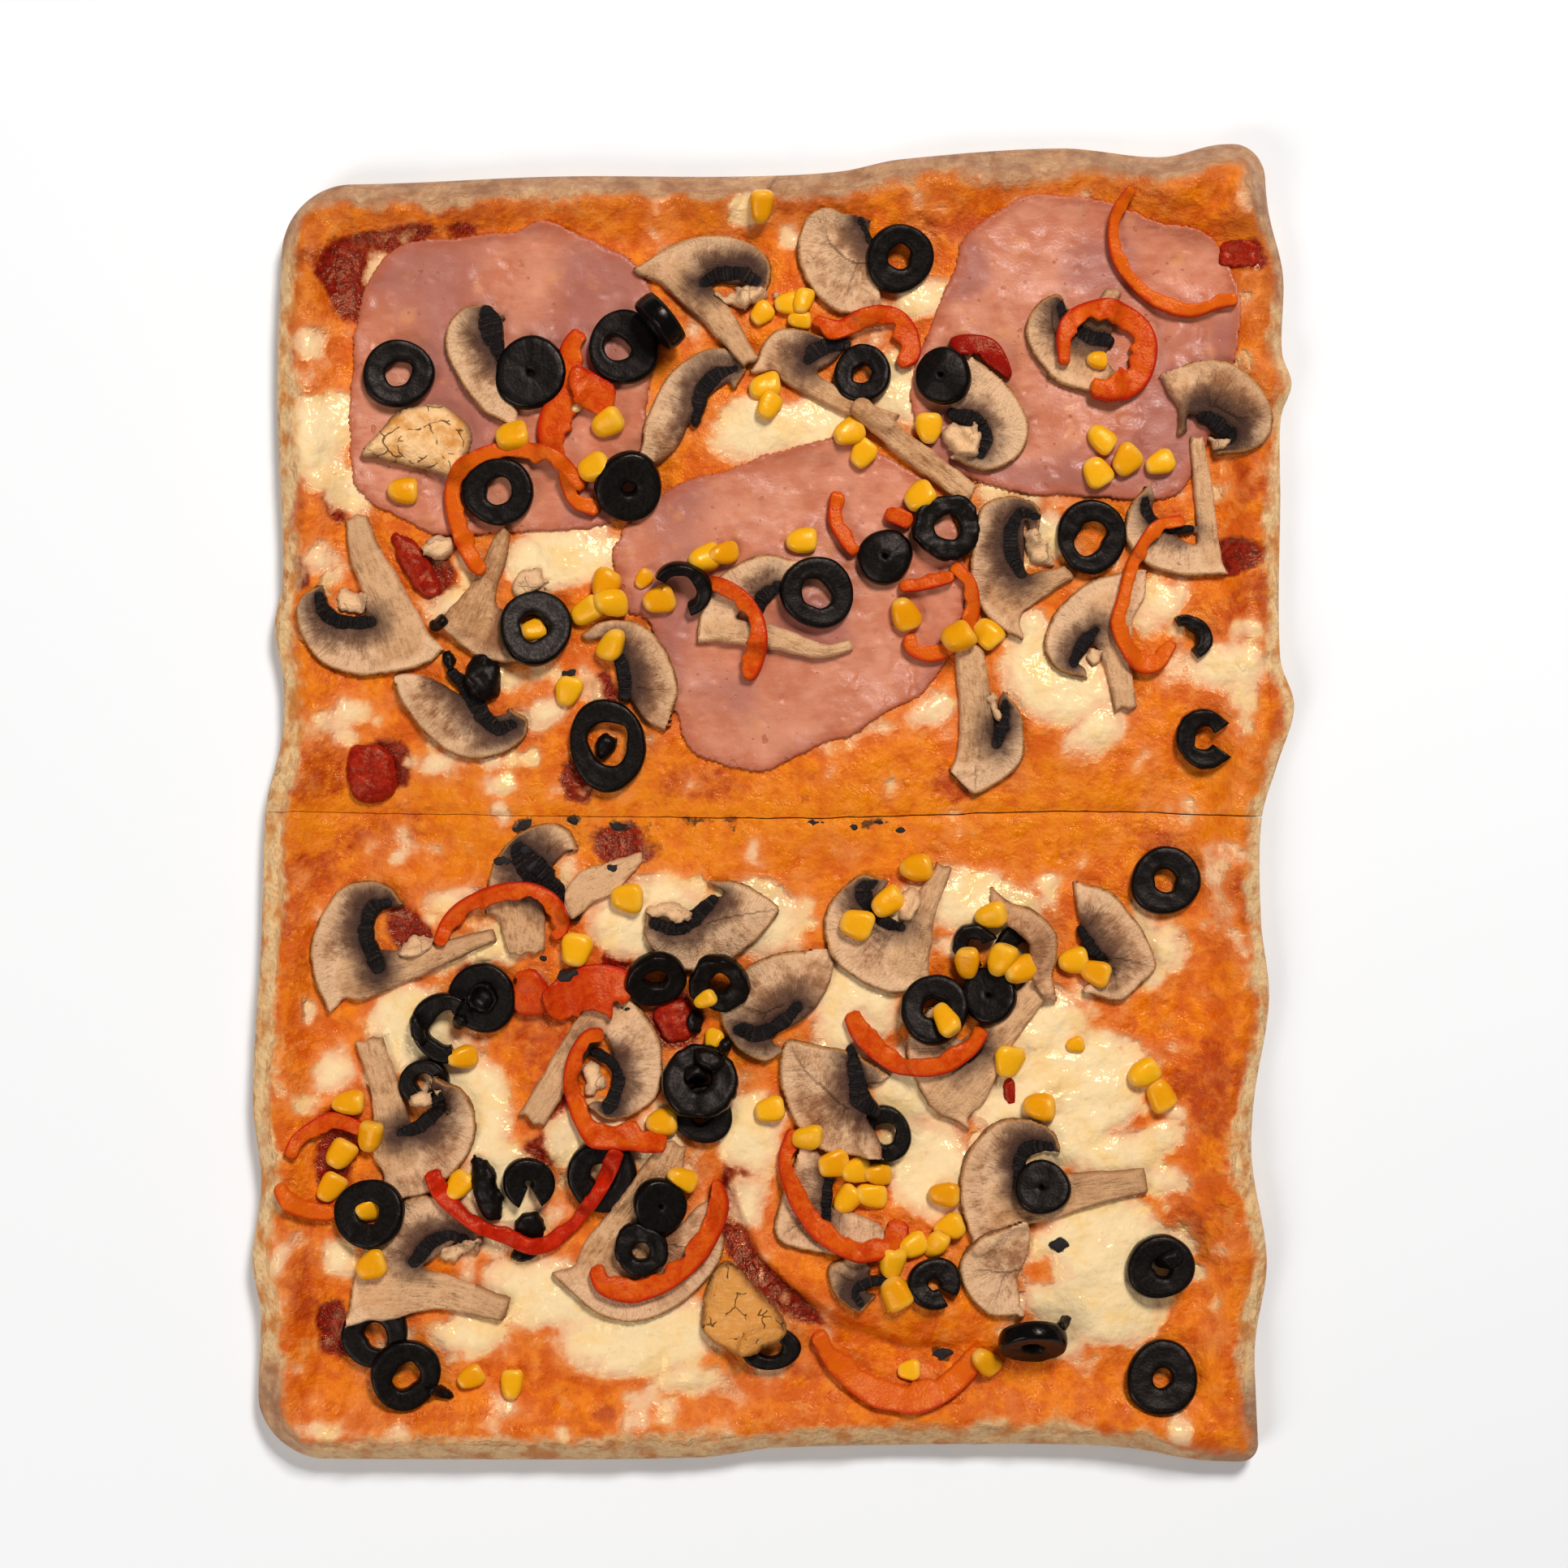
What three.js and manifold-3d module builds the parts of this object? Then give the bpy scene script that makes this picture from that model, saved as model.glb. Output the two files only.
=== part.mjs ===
// A rectangular tray pizza, cut across the middle into two halves that still lie together.
// Millimetres, +Z up, resting on the plane z = 0. The origin is the centre of the underside,
// and +Y runs along the pizza's length.
import * as THREE from 'three';
import { mergeVertices } from 'three/addons/utils/BufferGeometryUtils.js';
import Module from 'manifold-3d';

const wasm = await Module();
wasm.setup();

// Driving sizes of the crust
const CRUST_WIDTH = 311;
const HALF_LENGTH = 199;
const DOUGH_THICKNESS = 10.5;
const RIM_RISE = 5;
const RIM_CREST = 9;
const RIM_SPREAD = 7.5;
const SIDE_ROUND = 7;
const SIDE_TOP = 8;
const SIDE_FOOT = 4.5;
const UNDERCUT = 4.5;
const CUT_GAP = 0.4;
const GRID_STEP = 17;
const EDGE_LINES = [0, 1.5, 4.5, 9, 16];
const BASE_MARGIN = 2;
const PLACING_PASSES = 4;

// Driving sizes of the toppings
const HAM_THICKNESS = 2;
const MUSHROOM_THICKNESS = 4;
const PEPPER_THICKNESS = 4;
const OLIVE_HEIGHT = 5;
const OLIVE_TAPER = 0.95;
const OLIVE_OPENING = 64;
const TOMATO_HEIGHT = 5;
const KERNEL = { length: 10.5, width: 9, height: 5.5, taper: 0.72 };
const KERNEL_OUTLINE = [[-1, 0.55], [-1, -0.55], [0.2, -1], [1, -0.6], [1, 0.6], [0.2, 1]];
const THINNEST = 0.8;

// A dome's levels, as [reach, share of its height]
const DOME_LEVELS = [[1, 0.35], [0.72, 0.85], [0, 1]];

// How the toppings come to rest on each other
const REST_GAP = 0.3;
const LIFT_STEP = 0.25;
const HIGHEST_LIFT = 12;
const SETTLE_PASSES = 10;
const SETTLE_SHARE = 0.8;
const SETTLED = 0.05;
const SAG_PASSES = 8;
const STEEPEST = 0.3;
const FIRM_SUPPORT = 0.8;
const SMALLEST_FACE = 0.05;
const SMALLEST_DETAIL = 0.08;
const SMALLEST_OVERLAP = 1e-6;
const SAME_PLACE = 1e-4;
const LEAST_SHARE = 0.4;
const MOST_ADDED = { base: 60, soft: 2.2, firm: 1 };
const ROOT_DEPTH = { crust: 3, ham: 1.2, mushroom: 2, olive: 2, pepper: 2 };

// The least distance from a band's outer edge to its inner edge, as a share of its width
const CLOSEST_INNER = 0.8;

// How finely the curved outlines are divided
const CAP_STEPS = 8;
const STEM_STEPS = 4;
const STRIP_STEPS = 9;
const ARC_STEPS = 7;
const RING_SIDES = 10;
const DOME_SIDES = 12;
const HAM_SIDES = 20;
const SOFT_RINGS = [1, 0.7, 0.35];

const DEGREE = Math.PI / 180;

// The pizza's four sides and the cut, each a smooth curve through a few measured places.
// Sides at the left and right give x for a y; the others give y for an x.
const LEFT_SIDE = [[-205, -158], [-185, -160], [-158, -159.4], [-142, -162], [-118, -159.2], [-92, -161.8],
  [-42, -159.2], [0, -157.5], [20, -152.8], [38, -152.3], [55, -155], [70, -152.5], [132, -154.2], [205, -151]];
const RIGHT_SIDE = [[-205, 150.5], [-186, 149.5], [-167, 149.2], [-142, 152.8], [-111, 148.2], [-92, 148.8],
  [-61, 153.5], [-36, 151], [-5, 151.2], [12, 156], [30, 161.3], [45, 157], [95, 157], [120, 157.2],
  [130, 160.5], [140, 157.5], [164, 157.8], [185, 153], [205, 152]];
const TOP_SIDE = [[-165, 192], [-123, 192.2], [-67, 194.5], [-11, 194.5], [20, 196], [39, 199.8], [89, 203.2],
  [120, 200.5], [139, 204.5], [165, 203]];
const BOTTOM_SIDE = [[-170, -203], [-111, -203.5], [-23, -203], [0, -200], [76, -198.8], [108, -199.8],
  [133, -203.8], [165, -204.3]];
const CUT_LINE = [[-165, -2.4], [-100, -3.4], [0, -4.6], [50, -3.6], [95, -2.5], [165, -4.6]];
const CORNER_RADIUS = { topLeft: 21, topRight: 10, bottomLeft: 19, bottomRight: 6 };

// Broad risings of the crust: melted cheese, the big dough bubble and the lump in one corner
const MOUNDS = [
  { x: 94, y: -88, rx: 24, ry: 34, turn: 10, rise: 3.2 },
  { x: 92, y: -148, rx: 28, ry: 24, turn: 0, rise: 2.2 },
  { x: 66, y: -34, rx: 20, ry: 14, turn: 0, rise: 1.8 },
  { x: 28, y: -150, rx: 42, ry: 15, turn: -14, rise: 5.5 },
  { x: -50, y: -168, rx: 34, ry: 16, turn: 0, rise: 1.6 },
  { x: -78, y: -104, rx: 16, ry: 22, turn: 0, rise: 1.5 },
  { x: 4, y: 118, rx: 20, ry: 12, turn: -20, rise: 2 },
  { x: -68, y: 74, rx: 22, ry: 13, turn: 5, rise: 1.8 },
  { x: 88, y: 28, rx: 18, ry: 16, turn: 0, rise: 1.8 },
  { x: 134, y: 186, rx: 24, ry: 10, turn: -8, rise: 7 },
  { x: -30, y: -26, rx: 30, ry: 10, turn: -8, rise: 1.4 },
];

// Slow rolling of the dough: rise, waves per metre along x and y, and phase in degrees
const ROLLS = [[0.7, 9, 4, 20], [0.5, -5, 13, 130], [0.45, 17, 8, 250], [0.35, 12, -19, 60]];

// A smooth function through points [at, value], by cubic pieces
function curveThrough(points) {
  const slopes = points.map((point, i) => {
    const before = points[Math.max(i - 1, 0)];
    const after = points[Math.min(i + 1, points.length - 1)];
    return (after[1] - before[1]) / (after[0] - before[0]);
  });
  return (at) => {
    let i = 0;
    while (i < points.length - 2 && at > points[i + 1][0]) i += 1;
    const [a, va] = points[i];
    const [b, vb] = points[i + 1];
    const span = b - a;
    const t = Math.min(Math.max((at - a) / span, 0), 1);
    const u = 1 - t;
    const ends = va * u * u * (1 + 2 * t) + vb * t * t * (3 - 2 * t);
    return ends + span * (slopes[i] * t * u * u - slopes[i + 1] * t * t * u);
  };
}

const leftSide = curveThrough(LEFT_SIDE);
const rightSide = curveThrough(RIGHT_SIDE);
const topSide = curveThrough(TOP_SIDE);
const bottomSide = curveThrough(BOTTOM_SIDE);
const cutLine = curveThrough(CUT_LINE);

// Height of the dough and melted cheese, before its sides round off
function doughHeight(x, y, inset) {
  let height = DOUGH_THICKNESS;
  for (const [rise, alongX, alongY, phase] of ROLLS) {
    height += rise * Math.sin((x * alongX + y * alongY) / 1000 * 2 * Math.PI + phase * DEGREE);
  }
  for (const mound of MOUNDS) {
    const c = Math.cos(mound.turn * DEGREE);
    const s = Math.sin(mound.turn * DEGREE);
    const u = ((x - mound.x) * c + (y - mound.y) * s) / mound.rx;
    const v = ((y - mound.y) * c - (x - mound.x) * s) / mound.ry;
    height += mound.rise * Math.exp(-Math.pow(u * u + v * v, 1.5));
  }
  const crest = (inset - RIM_CREST) / RIM_SPREAD;
  return height + RIM_RISE * Math.exp(-crest * crest);
}

// Upper surface: a quarter ellipse up from the side, then the dough
function upperSkin(x, y, inset) {
  const reach = 1 - Math.min(inset / SIDE_ROUND, 1);
  return SIDE_TOP + (doughHeight(x, y, inset) - SIDE_TOP) * Math.sqrt(1 - reach * reach);
}

// Lower surface: rounded in from the side, then flat on the table
function lowerSkin(inset) {
  const reach = 1 - Math.min(inset / UNDERCUT, 1);
  return SIDE_FOOT * (1 - Math.sqrt(1 - reach * reach));
}

// Lines of a grid across a width: close together by the named ends, even between them
function gridLines(width, fineAtStart, fineAtEnd) {
  const start = fineAtStart ? EDGE_LINES : [0];
  const end = fineAtEnd ? EDGE_LINES : [0];
  const first = start[start.length - 1];
  const last = width - end[end.length - 1];
  const count = Math.round((last - first) / GRID_STEP);
  const middle = Array.from({ length: count - 1 }, (_, i) => first + (last - first) * (i + 1) / count);
  return [...start, ...middle, ...end.map((edge) => width - edge).reverse()];
}

// Draws a square corner in to a rounded one, keeping each square ring a round ring
function roundCorner(a, c, radius) {
  if (a >= radius || c >= radius) return [a, c];
  const u = radius - a;
  const v = radius - c;
  const scale = Math.max(u, v) / Math.hypot(u, v);
  return [radius - u * scale, radius - v * scale];
}

// One half of the crust: an upper and a lower sheet of one grid, joined round the edge.
// The grid runs from the cut out to the far side.
function crustHalf(farSide, direction, leftRadius, rightRadius) {
  const across = gridLines(CRUST_WIDTH, true, true);
  const out = gridLines(HALF_LENGTH, false, true);
  const columns = across.length;
  const rows = out.length;
  const upper = [];
  const lower = [];
  for (const along of out) {
    for (const side of across) {
      const toFar = HALF_LENGTH - along;
      const inset = Math.min(side, CRUST_WIDTH - side, toFar);
      let [a, c] = roundCorner(side, toFar, leftRadius);
      let b;
      if (CRUST_WIDTH - side < rightRadius) {
        [b, c] = roundCorner(CRUST_WIDTH - side, toFar, rightRadius);
        a = CRUST_WIDTH - b;
      }
      let x = a - CRUST_WIDTH / 2;
      let y = direction * (HALF_LENGTH - c);
      for (let pass = 0; pass < PLACING_PASSES; pass += 1) {
        x = leftSide(y) + (a / CRUST_WIDTH) * (rightSide(y) - leftSide(y));
        const cut = cutLine(x) + direction * CUT_GAP / 2;
        y = cut + (1 - c / HALF_LENGTH) * (farSide(x) - cut);
      }
      upper.push([x, y, upperSkin(x, y, inset)]);
      lower.push([x, y, lowerSkin(inset)]);
    }
  }
  const at = (row, column) => row * columns + column;
  const faces = [];
  const quad = (p, q, r, s) => faces.push([p, q, r], [p, r, s]);
  const below = upper.length;
  const margin = BASE_MARGIN;
  for (let row = 0; row < rows - 1; row += 1) {
    for (let column = 0; column < columns - 1; column += 1) {
      const corners = [at(row, column), at(row, column + 1), at(row + 1, column + 1), at(row + 1, column)];
      quad(...corners);
      const inMargin = column < margin || column >= columns - 1 - margin || row >= rows - 1 - margin;
      if (inMargin) quad(...corners.map((corner) => corner + below).reverse());
    }
  }
  const flat = loopAround(at, 0, rows - 1 - margin, margin, columns - 1 - margin);
  const outline = flat.map((i) => new THREE.Vector2(lower[i][0], lower[i][1]));
  const reversed = THREE.ShapeUtils.isClockWise(outline);
  const order = reversed ? [...flat].reverse() : flat;
  const contour = order.map((i) => new THREE.Vector2(lower[i][0], lower[i][1]));
  for (const [p, q, r] of THREE.ShapeUtils.triangulateShape(contour, [])) {
    const face = [order[r] + below, order[q] + below, order[p] + below];
    faces.push(direction > 0 ? face : face.reverse());
  }
  const rim = loopAround(at, 0, rows - 1, 0, columns - 1);
  rim.forEach((here, i) => {
    const next = rim[(i + 1) % rim.length];
    quad(here, here + below, next + below, next);
  });
  const turned = direction > 0 ? faces : faces.map(([p, q, r]) => [p, r, q]);
  return solidOf([...upper, ...lower], turned);
}

// The grid's places round a block of rows and columns, in order
function loopAround(at, rowStart, rowEnd, columnStart, columnEnd) {
  const loop = [];
  for (let column = columnStart; column < columnEnd; column += 1) loop.push(at(rowStart, column));
  for (let row = rowStart; row < rowEnd; row += 1) loop.push(at(row, columnEnd));
  for (let column = columnEnd; column > columnStart; column -= 1) loop.push(at(rowEnd, column));
  for (let row = rowEnd; row > rowStart; row -= 1) loop.push(at(row, columnStart));
  return loop;
}

// A manifold solid from vertices [x, y, z] and faces [a, b, c]
function solidOf(vertices, faces) {
  const mesh = new wasm.Mesh({
    numProp: 3,
    vertProperties: new Float32Array(vertices.flat()),
    triVerts: new Uint32Array(faces.flat()),
  });
  mesh.merge();
  return new wasm.Manifold(mesh);
}

// The vertices and faces of a solid
function facesOf(solid) {
  const { vertProperties, triVerts } = solid.getMesh();
  const vertices = [];
  const faces = [];
  for (let i = 0; i < vertProperties.length; i += 3) vertices.push([...vertProperties.slice(i, i + 3)]);
  for (let i = 0; i < triVerts.length; i += 3) faces.push([...triVerts.slice(i, i + 3)]);
  return { vertices, faces };
}

// A manifold solid from a closed geometry
function solidFrom(geometry) {
  for (const name of Object.keys(geometry.attributes)) {
    if (name !== 'position') geometry.deleteAttribute(name);
  }
  const merged = mergeVertices(geometry, SAME_PLACE);
  const { array } = merged.attributes.position;
  const vertices = [];
  for (let i = 0; i < array.length; i += 3) vertices.push([array[i], array[i + 1], array[i + 2]]);
  const faces = [];
  const index = merged.index.array;
  for (let i = 0; i < index.length; i += 3) {
    const [p, q, r] = [index[i], index[i + 1], index[i + 2]];
    if (p !== q && q !== r && r !== p) faces.push([p, q, r]);
  }
  return solidOf(vertices, faces);
}

// The same solid with every vertex moved by a function of its place
function reshaped(solid, move) {
  const { vertices, faces } = facesOf(solid);
  return solidOf(vertices.map(move), faces);
}

// Plane outlines

// Points along a smooth path of [x, y, width] places, each with its direction
function walk(path, steps) {
  const curve = new THREE.CatmullRomCurve3(path.map((point) => new THREE.Vector3(...point)));
  return Array.from({ length: steps + 1 }, (_, i) => {
    const t = i / steps;
    const point = curve.getPoint(t);
    const tangent = curve.getTangent(t).setZ(0).normalize();
    return { x: point.x, y: point.y, width: Math.max(point.z, THINNEST), dx: tangent.x, dy: tangent.y };
  });
}

// A band: the path is its outer edge and the width lies to the right of the way it runs
function bandOutline(path) {
  const outer = walk(path, CAP_STEPS);
  const inner = outer.map(({ x, y, width, dx, dy }) => ({ x: x + dy * width, y: y - dx * width, width }));
  const open = inner.filter(({ x, y, width }) => outer.every((place) => {
    return Math.hypot(place.x - x, place.y - y) > CLOSEST_INNER * width;
  }));
  return [...outer, ...open.reverse()].map(({ x, y }) => [x, y]);
}

// A strip: the path is its middle line and half the width lies on each side
function stripOutline(path, steps = STRIP_STEPS) {
  const places = walk(path, steps);
  const left = places.map(({ x, y, width, dx, dy }) => [x - dy * width / 2, y + dx * width / 2]);
  const right = places.map(({ x, y, width, dx, dy }) => [x + dy * width / 2, y - dx * width / 2]);
  return [...left, ...right.reverse()];
}

// An ellipse of half widths rx and ry, turned by degrees
function ovalOutline({ x, y, rx, ry, turn = 0 }, sides = DOME_SIDES) {
  const c = Math.cos(turn * DEGREE);
  const s = Math.sin(turn * DEGREE);
  return Array.from({ length: sides }, (_, i) => {
    const angle = (i / sides) * 2 * Math.PI;
    const u = rx * Math.cos(angle);
    const v = ry * Math.sin(angle);
    return [x + u * c - v * s, y + u * s + v * c];
  });
}

// A closed smooth outline through a few places
function closedOutline(points, sides) {
  const places = points.map(([x, y]) => new THREE.Vector3(x, y, 0));
  const curve = new THREE.CatmullRomCurve3(places, true);
  return Array.from({ length: sides }, (_, i) => {
    const point = curve.getPoint(i / sides);
    return [point.x, point.y];
  });
}

// Solids that lie at z = 0, reaching down by a root where they join what they lie on

// A slice of even thickness over one or more outlines
function slice(outlines, thickness, root) {
  const prisms = outlines.map((outline) => {
    const points = outline.map(([x, y]) => new THREE.Vector2(x, y));
    if (THREE.ShapeUtils.isClockWise(points)) points.reverse();
    const count = points.length;
    const vertices = [thickness, -root].flatMap((z) => points.map(({ x, y }) => [x, y, z]));
    const faces = [];
    for (const [p, q, r] of THREE.ShapeUtils.triangulateShape(points, [])) {
      faces.push([p, q, r], [r + count, q + count, p + count]);
    }
    for (let i = 0; i < count; i += 1) {
      const j = (i + 1) % count;
      faces.push([i, i + count, j + count], [i, j + count, j]);
    }
    return solidOf(vertices, faces);
  });
  return prisms.reduce((whole, prism) => whole.add(prism));
}

// A slice with rings of vertices inside its outline, so that it can follow a wavy bed
function softSlice(outline, thickness, root) {
  const centre = outline.reduce(([x, y], point) => [x + point[0], y + point[1]], [0, 0])
    .map((sum) => sum / outline.length);
  const sides = outline.length;
  const vertices = [];
  for (const z of [thickness, -root]) {
    for (const ring of SOFT_RINGS) {
      for (const [x, y] of outline) {
        vertices.push([centre[0] + (x - centre[0]) * ring, centre[1] + (y - centre[1]) * ring, z]);
      }
    }
    vertices.push([...centre, z]);
  }
  const layer = SOFT_RINGS.length * sides + 1;
  const faces = [];
  for (let i = 0; i < sides; i += 1) {
    const j = (i + 1) % sides;
    for (let ring = 0; ring < SOFT_RINGS.length - 1; ring += 1) {
      const [a, b] = [ring * sides + i, ring * sides + j];
      const [c, d] = [a + sides, b + sides];
      faces.push([a, b, d], [a, d, c], [a + layer, d + layer, b + layer], [a + layer, c + layer, d + layer]);
    }
    const last = (SOFT_RINGS.length - 1) * sides;
    faces.push([last + i, last + j, layer - 1], [last + layer + j, last + layer + i, 2 * layer - 1]);
    faces.push([i, i + layer, j + layer], [i, j + layer, j]);
  }
  const clockwise = THREE.ShapeUtils.isClockWise(outline.map(([x, y]) => new THREE.Vector2(x, y)));
  return solidOf(vertices, clockwise ? faces.map(([p, q, r]) => [p, r, q]) : faces);
}

// A low dome over an oval
function dome(oval, height, root) {
  const foot = [new THREE.Vector2(0, -root), new THREE.Vector2(1, -root)];
  const profile = DOME_LEVELS.map(([reach, share]) => new THREE.Vector2(reach, height * share));
  return placedLathe(new THREE.LatheGeometry([...foot, ...profile], DOME_SIDES), oval);
}

// A lathed shape of radius 1, laid down, stretched to an oval and put in its place
function placedLathe(geometry, { x, y, rx, ry, turn = 0 }) {
  geometry.rotateX(Math.PI / 2);
  geometry.scale(rx, ry, 1);
  geometry.rotateZ(turn * DEGREE);
  geometry.translate(x, y, 0);
  return solidFrom(geometry);
}

// A ring, or a disc where the hole is 0, sliced from an olive. The radius is 1 before placing.
// A wedge is cut out of an open ring, at its bearing.
function oliveSlice({ r, ry = r, hole, height = OLIVE_HEIGHT, open, x, y, turn = 0 }, root) {
  const h = hole / r;
  const profile = [[h, -root], [1, -root], [OLIVE_TAPER, height], [h, height]];
  if (hole > 0) profile.push(profile[0]);
  const points = profile.map(([radius, z]) => new THREE.Vector2(radius, z));
  const geometry = new THREE.LatheGeometry(points, RING_SIDES);
  let solid = placedLathe(geometry, { x: 0, y: 0, rx: r, ry, turn });
  if (open !== undefined) {
    const reach = 2 * r;
    const half = OLIVE_OPENING / 2 * DEGREE;
    const wedge = [[0, 0], [reach * Math.cos(half), -reach * Math.sin(half)],
      [reach * Math.cos(half), reach * Math.sin(half)]];
    const c = Math.cos(open * DEGREE);
    const s = Math.sin(open * DEGREE);
    const turned = wedge.map(([u, v]) => [u * c - v * s, u * s + v * c]);
    solid = solid.subtract(slice([turned], 2 * height, root + height));
  }
  return reshaped(solid, ([u, v, w]) => [u + x, v + y, w]);
}

// A maize kernel: a six-sided block, narrower at the top and at its pointed end
function kernelSolid({ x, y, turn, size = 1 }, root) {
  const long = KERNEL.length / 2 * size;
  const wide = KERNEL.width / 2 * size;
  const sides = KERNEL_OUTLINE.length;
  const c = Math.cos(turn * DEGREE);
  const s = Math.sin(turn * DEGREE);
  const vertices = [];
  for (const [scale, z] of [[1, -root], [KERNEL.taper, KERNEL.height * size]]) {
    for (const [u, v] of KERNEL_OUTLINE) {
      const [a, b] = [u * long * scale, v * wide * scale];
      vertices.push([x + a * c - b * s, y + a * s + b * c, z]);
    }
  }
  const faces = [];
  for (let i = 0; i < sides; i += 1) {
    const j = (i + 1) % sides;
    faces.push([i, j, j + sides], [i, j + sides, i + sides]);
    if (i > 0 && i < sides - 1) faces.push([0, i + 1, i], [sides, i + sides, i + sides + 1]);
  }
  return solidOf(vertices, faces);
}

// The stack of toppings

// Height of the stack so far on a raster of one-millimetre cells, with the uppermost node there
const RASTER = { x: -172, y: -214, columns: 344, rows: 428 };
const heights = new Float32Array(RASTER.columns * RASTER.rows);
const owners = new Int16Array(RASTER.columns * RASTER.rows).fill(-1);
const nodes = [];

function cellAt(x, y) {
  return Math.floor(y - RASTER.y) * RASTER.columns + Math.floor(x - RASTER.x);
}

// Calls visit(cell, z) for every cell whose middle lies under an upward face
function eachCell({ vertices, faces }, visit) {
  for (const face of faces) {
    const [[ax, ay, az], [bx, by, bz], [cx, cy, cz]] = face.map((i) => vertices[i]);
    const area = (bx - ax) * (cy - ay) - (cx - ax) * (by - ay);
    if (area <= SMALLEST_FACE) continue;
    for (let row = Math.floor(Math.min(ay, by, cy)); row <= Math.max(ay, by, cy); row += 1) {
      for (let column = Math.floor(Math.min(ax, bx, cx)); column <= Math.max(ax, bx, cx); column += 1) {
        const x = column + 0.5;
        const y = row + 0.5;
        const b = ((x - ax) * (cy - ay) - (cx - ax) * (y - ay)) / area;
        const c = ((bx - ax) * (y - ay) - (x - ax) * (by - ay)) / area;
        if (b >= 0 && c >= 0 && b + c <= 1) visit(cellAt(x, y), az + (bz - az) * b + (cz - az) * c);
      }
    }
  }
}

function addToRaster(solid, owner) {
  eachCell(facesOf(solid), (cell, z) => {
    if (z <= heights[cell]) return;
    heights[cell] = z;
    owners[cell] = owner;
  });
}

// What a soft piece lies on: the stack, with the dips between its high places bridged
function softBed(cells) {
  const bed = new Map(cells.map((cell) => [cell, heights[cell]]));
  const beside = [1, -1, RASTER.columns, -RASTER.columns];
  for (let pass = 0; pass < SAG_PASSES; pass += 1) {
    for (const cell of cells) {
      const around = beside.map((step) => bed.get(cell + step)).filter((z) => z !== undefined);
      const mean = around.reduce((sum, z) => sum + z, 0) / Math.max(around.length, 1);
      bed.set(cell, Math.max(heights[cell], mean));
    }
  }
  return (x, y) => {
    let highest = bed.get(cellAt(x, y)) ?? -Infinity;
    for (const dx of [-1, 0, 1]) {
      for (const dy of [-1, 0, 1]) highest = Math.max(highest, bed.get(cellAt(x + dx, y + dy)) ?? -Infinity);
    }
    return Number.isFinite(highest) ? highest : heights[cellAt(x, y)];
  };
}

// What a firm piece lies on: the plane that fits the stack best, lifted to its high places
function firmBed(cells) {
  const places = cells.map((cell) => [
    (cell % RASTER.columns) + RASTER.x + 0.5,
    Math.floor(cell / RASTER.columns) + RASTER.y + 0.5,
    heights[cell],
  ]);
  const mean = [0, 1, 2].map((axis) => places.reduce((sum, place) => sum + place[axis], 0) / places.length);
  let [xx, xy, yy, xz, yz] = [1, 0, 1, 0, 0];
  for (const [x, y, z] of places) {
    const [u, v, w] = [x - mean[0], y - mean[1], z - mean[2]];
    xx += u * u;
    xy += u * v;
    yy += v * v;
    xz += u * w;
    yz += v * w;
  }
  const determinant = xx * yy - xy * xy;
  const clamp = (slope) => Math.min(Math.max(slope, -STEEPEST), STEEPEST);
  const slopeX = clamp((xz * yy - yz * xy) / determinant);
  const slopeY = clamp((yz * xx - xz * xy) / determinant);
  const plane = (x, y) => mean[2] + slopeX * (x - mean[0]) + slopeY * (y - mean[1]);
  const excess = places.map(([x, y, z]) => z - plane(x, y)).sort((a, b) => a - b);
  const lift = excess[Math.floor(excess.length * FIRM_SUPPORT)];
  return (x, y) => plane(x, y) + lift;
}

// True where two solids share space
function overlap(a, b) {
  const [p, q] = [a.boundingBox(), b.boundingBox()];
  const apart = [0, 1, 2].some((axis) => p.min[axis] > q.max[axis] || q.min[axis] > p.max[axis]);
  return !apart && a.intersect(b).volume() > SMALLEST_OVERLAP;
}

// The solid, cut back to a small gap from another
function clearOf(solid, other) {
  const gap = REST_GAP;
  const shifts = [[gap, 0, 0], [-gap, 0, 0], [0, gap, 0], [0, -gap, 0], [0, 0, gap], [0, 0, -gap]];
  const cut = shifts.reduce((rest, shift) => rest.subtract(other.translate(shift)), solid.subtract(other));
  return largestPart(cut.simplify(SMALLEST_DETAIL));
}

// The largest connected part of a solid, its hollows filled
function largestPart(solid) {
  return solid.decompose().sort((first, second) => second.volume() - first.volume())[0];
}

// Puts a flat piece on its bed, then lifts it wherever its underside would sink into the stack:
// a soft piece only round that place, a firm one as a whole
function rested(solid, bed, soft, gap) {
  const { vertices, faces } = facesOf(solid);
  const key = ([x, y]) => `${x.toFixed(3)},${y.toFixed(3)}`;
  const lifts = new Map(vertices.map((vertex) => [key(vertex), bed(vertex[0], vertex[1]) + gap]));
  const undersides = faces.map((face) => [...face].reverse());
  const laid = () => vertices.map(([x, y, z]) => [x, y, z + lifts.get(key([x, y]))]);
  for (let pass = 0; pass < SETTLE_PASSES; pass += 1) {
    const current = laid();
    const needed = new Map();
    for (const face of undersides) {
      let depth = 0;
      eachCell({ vertices: current, faces: [face] }, (cell, z) => {
        depth = Math.max(depth, heights[cell] + gap - z);
      });
      if (depth <= SETTLED) continue;
      for (const corner of face) {
        const place = key(vertices[corner]);
        needed.set(place, Math.max(needed.get(place) ?? 0, depth));
      }
    }
    if (needed.size === 0) break;
    const deepest = Math.max(...needed.values());
    for (const place of soft ? needed.keys() : lifts.keys()) {
      lifts.set(place, lifts.get(place) + (soft ? needed.get(place) : deepest) * SETTLE_SHARE);
    }
  }
  return solidOf(laid(), faces);
}

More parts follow.
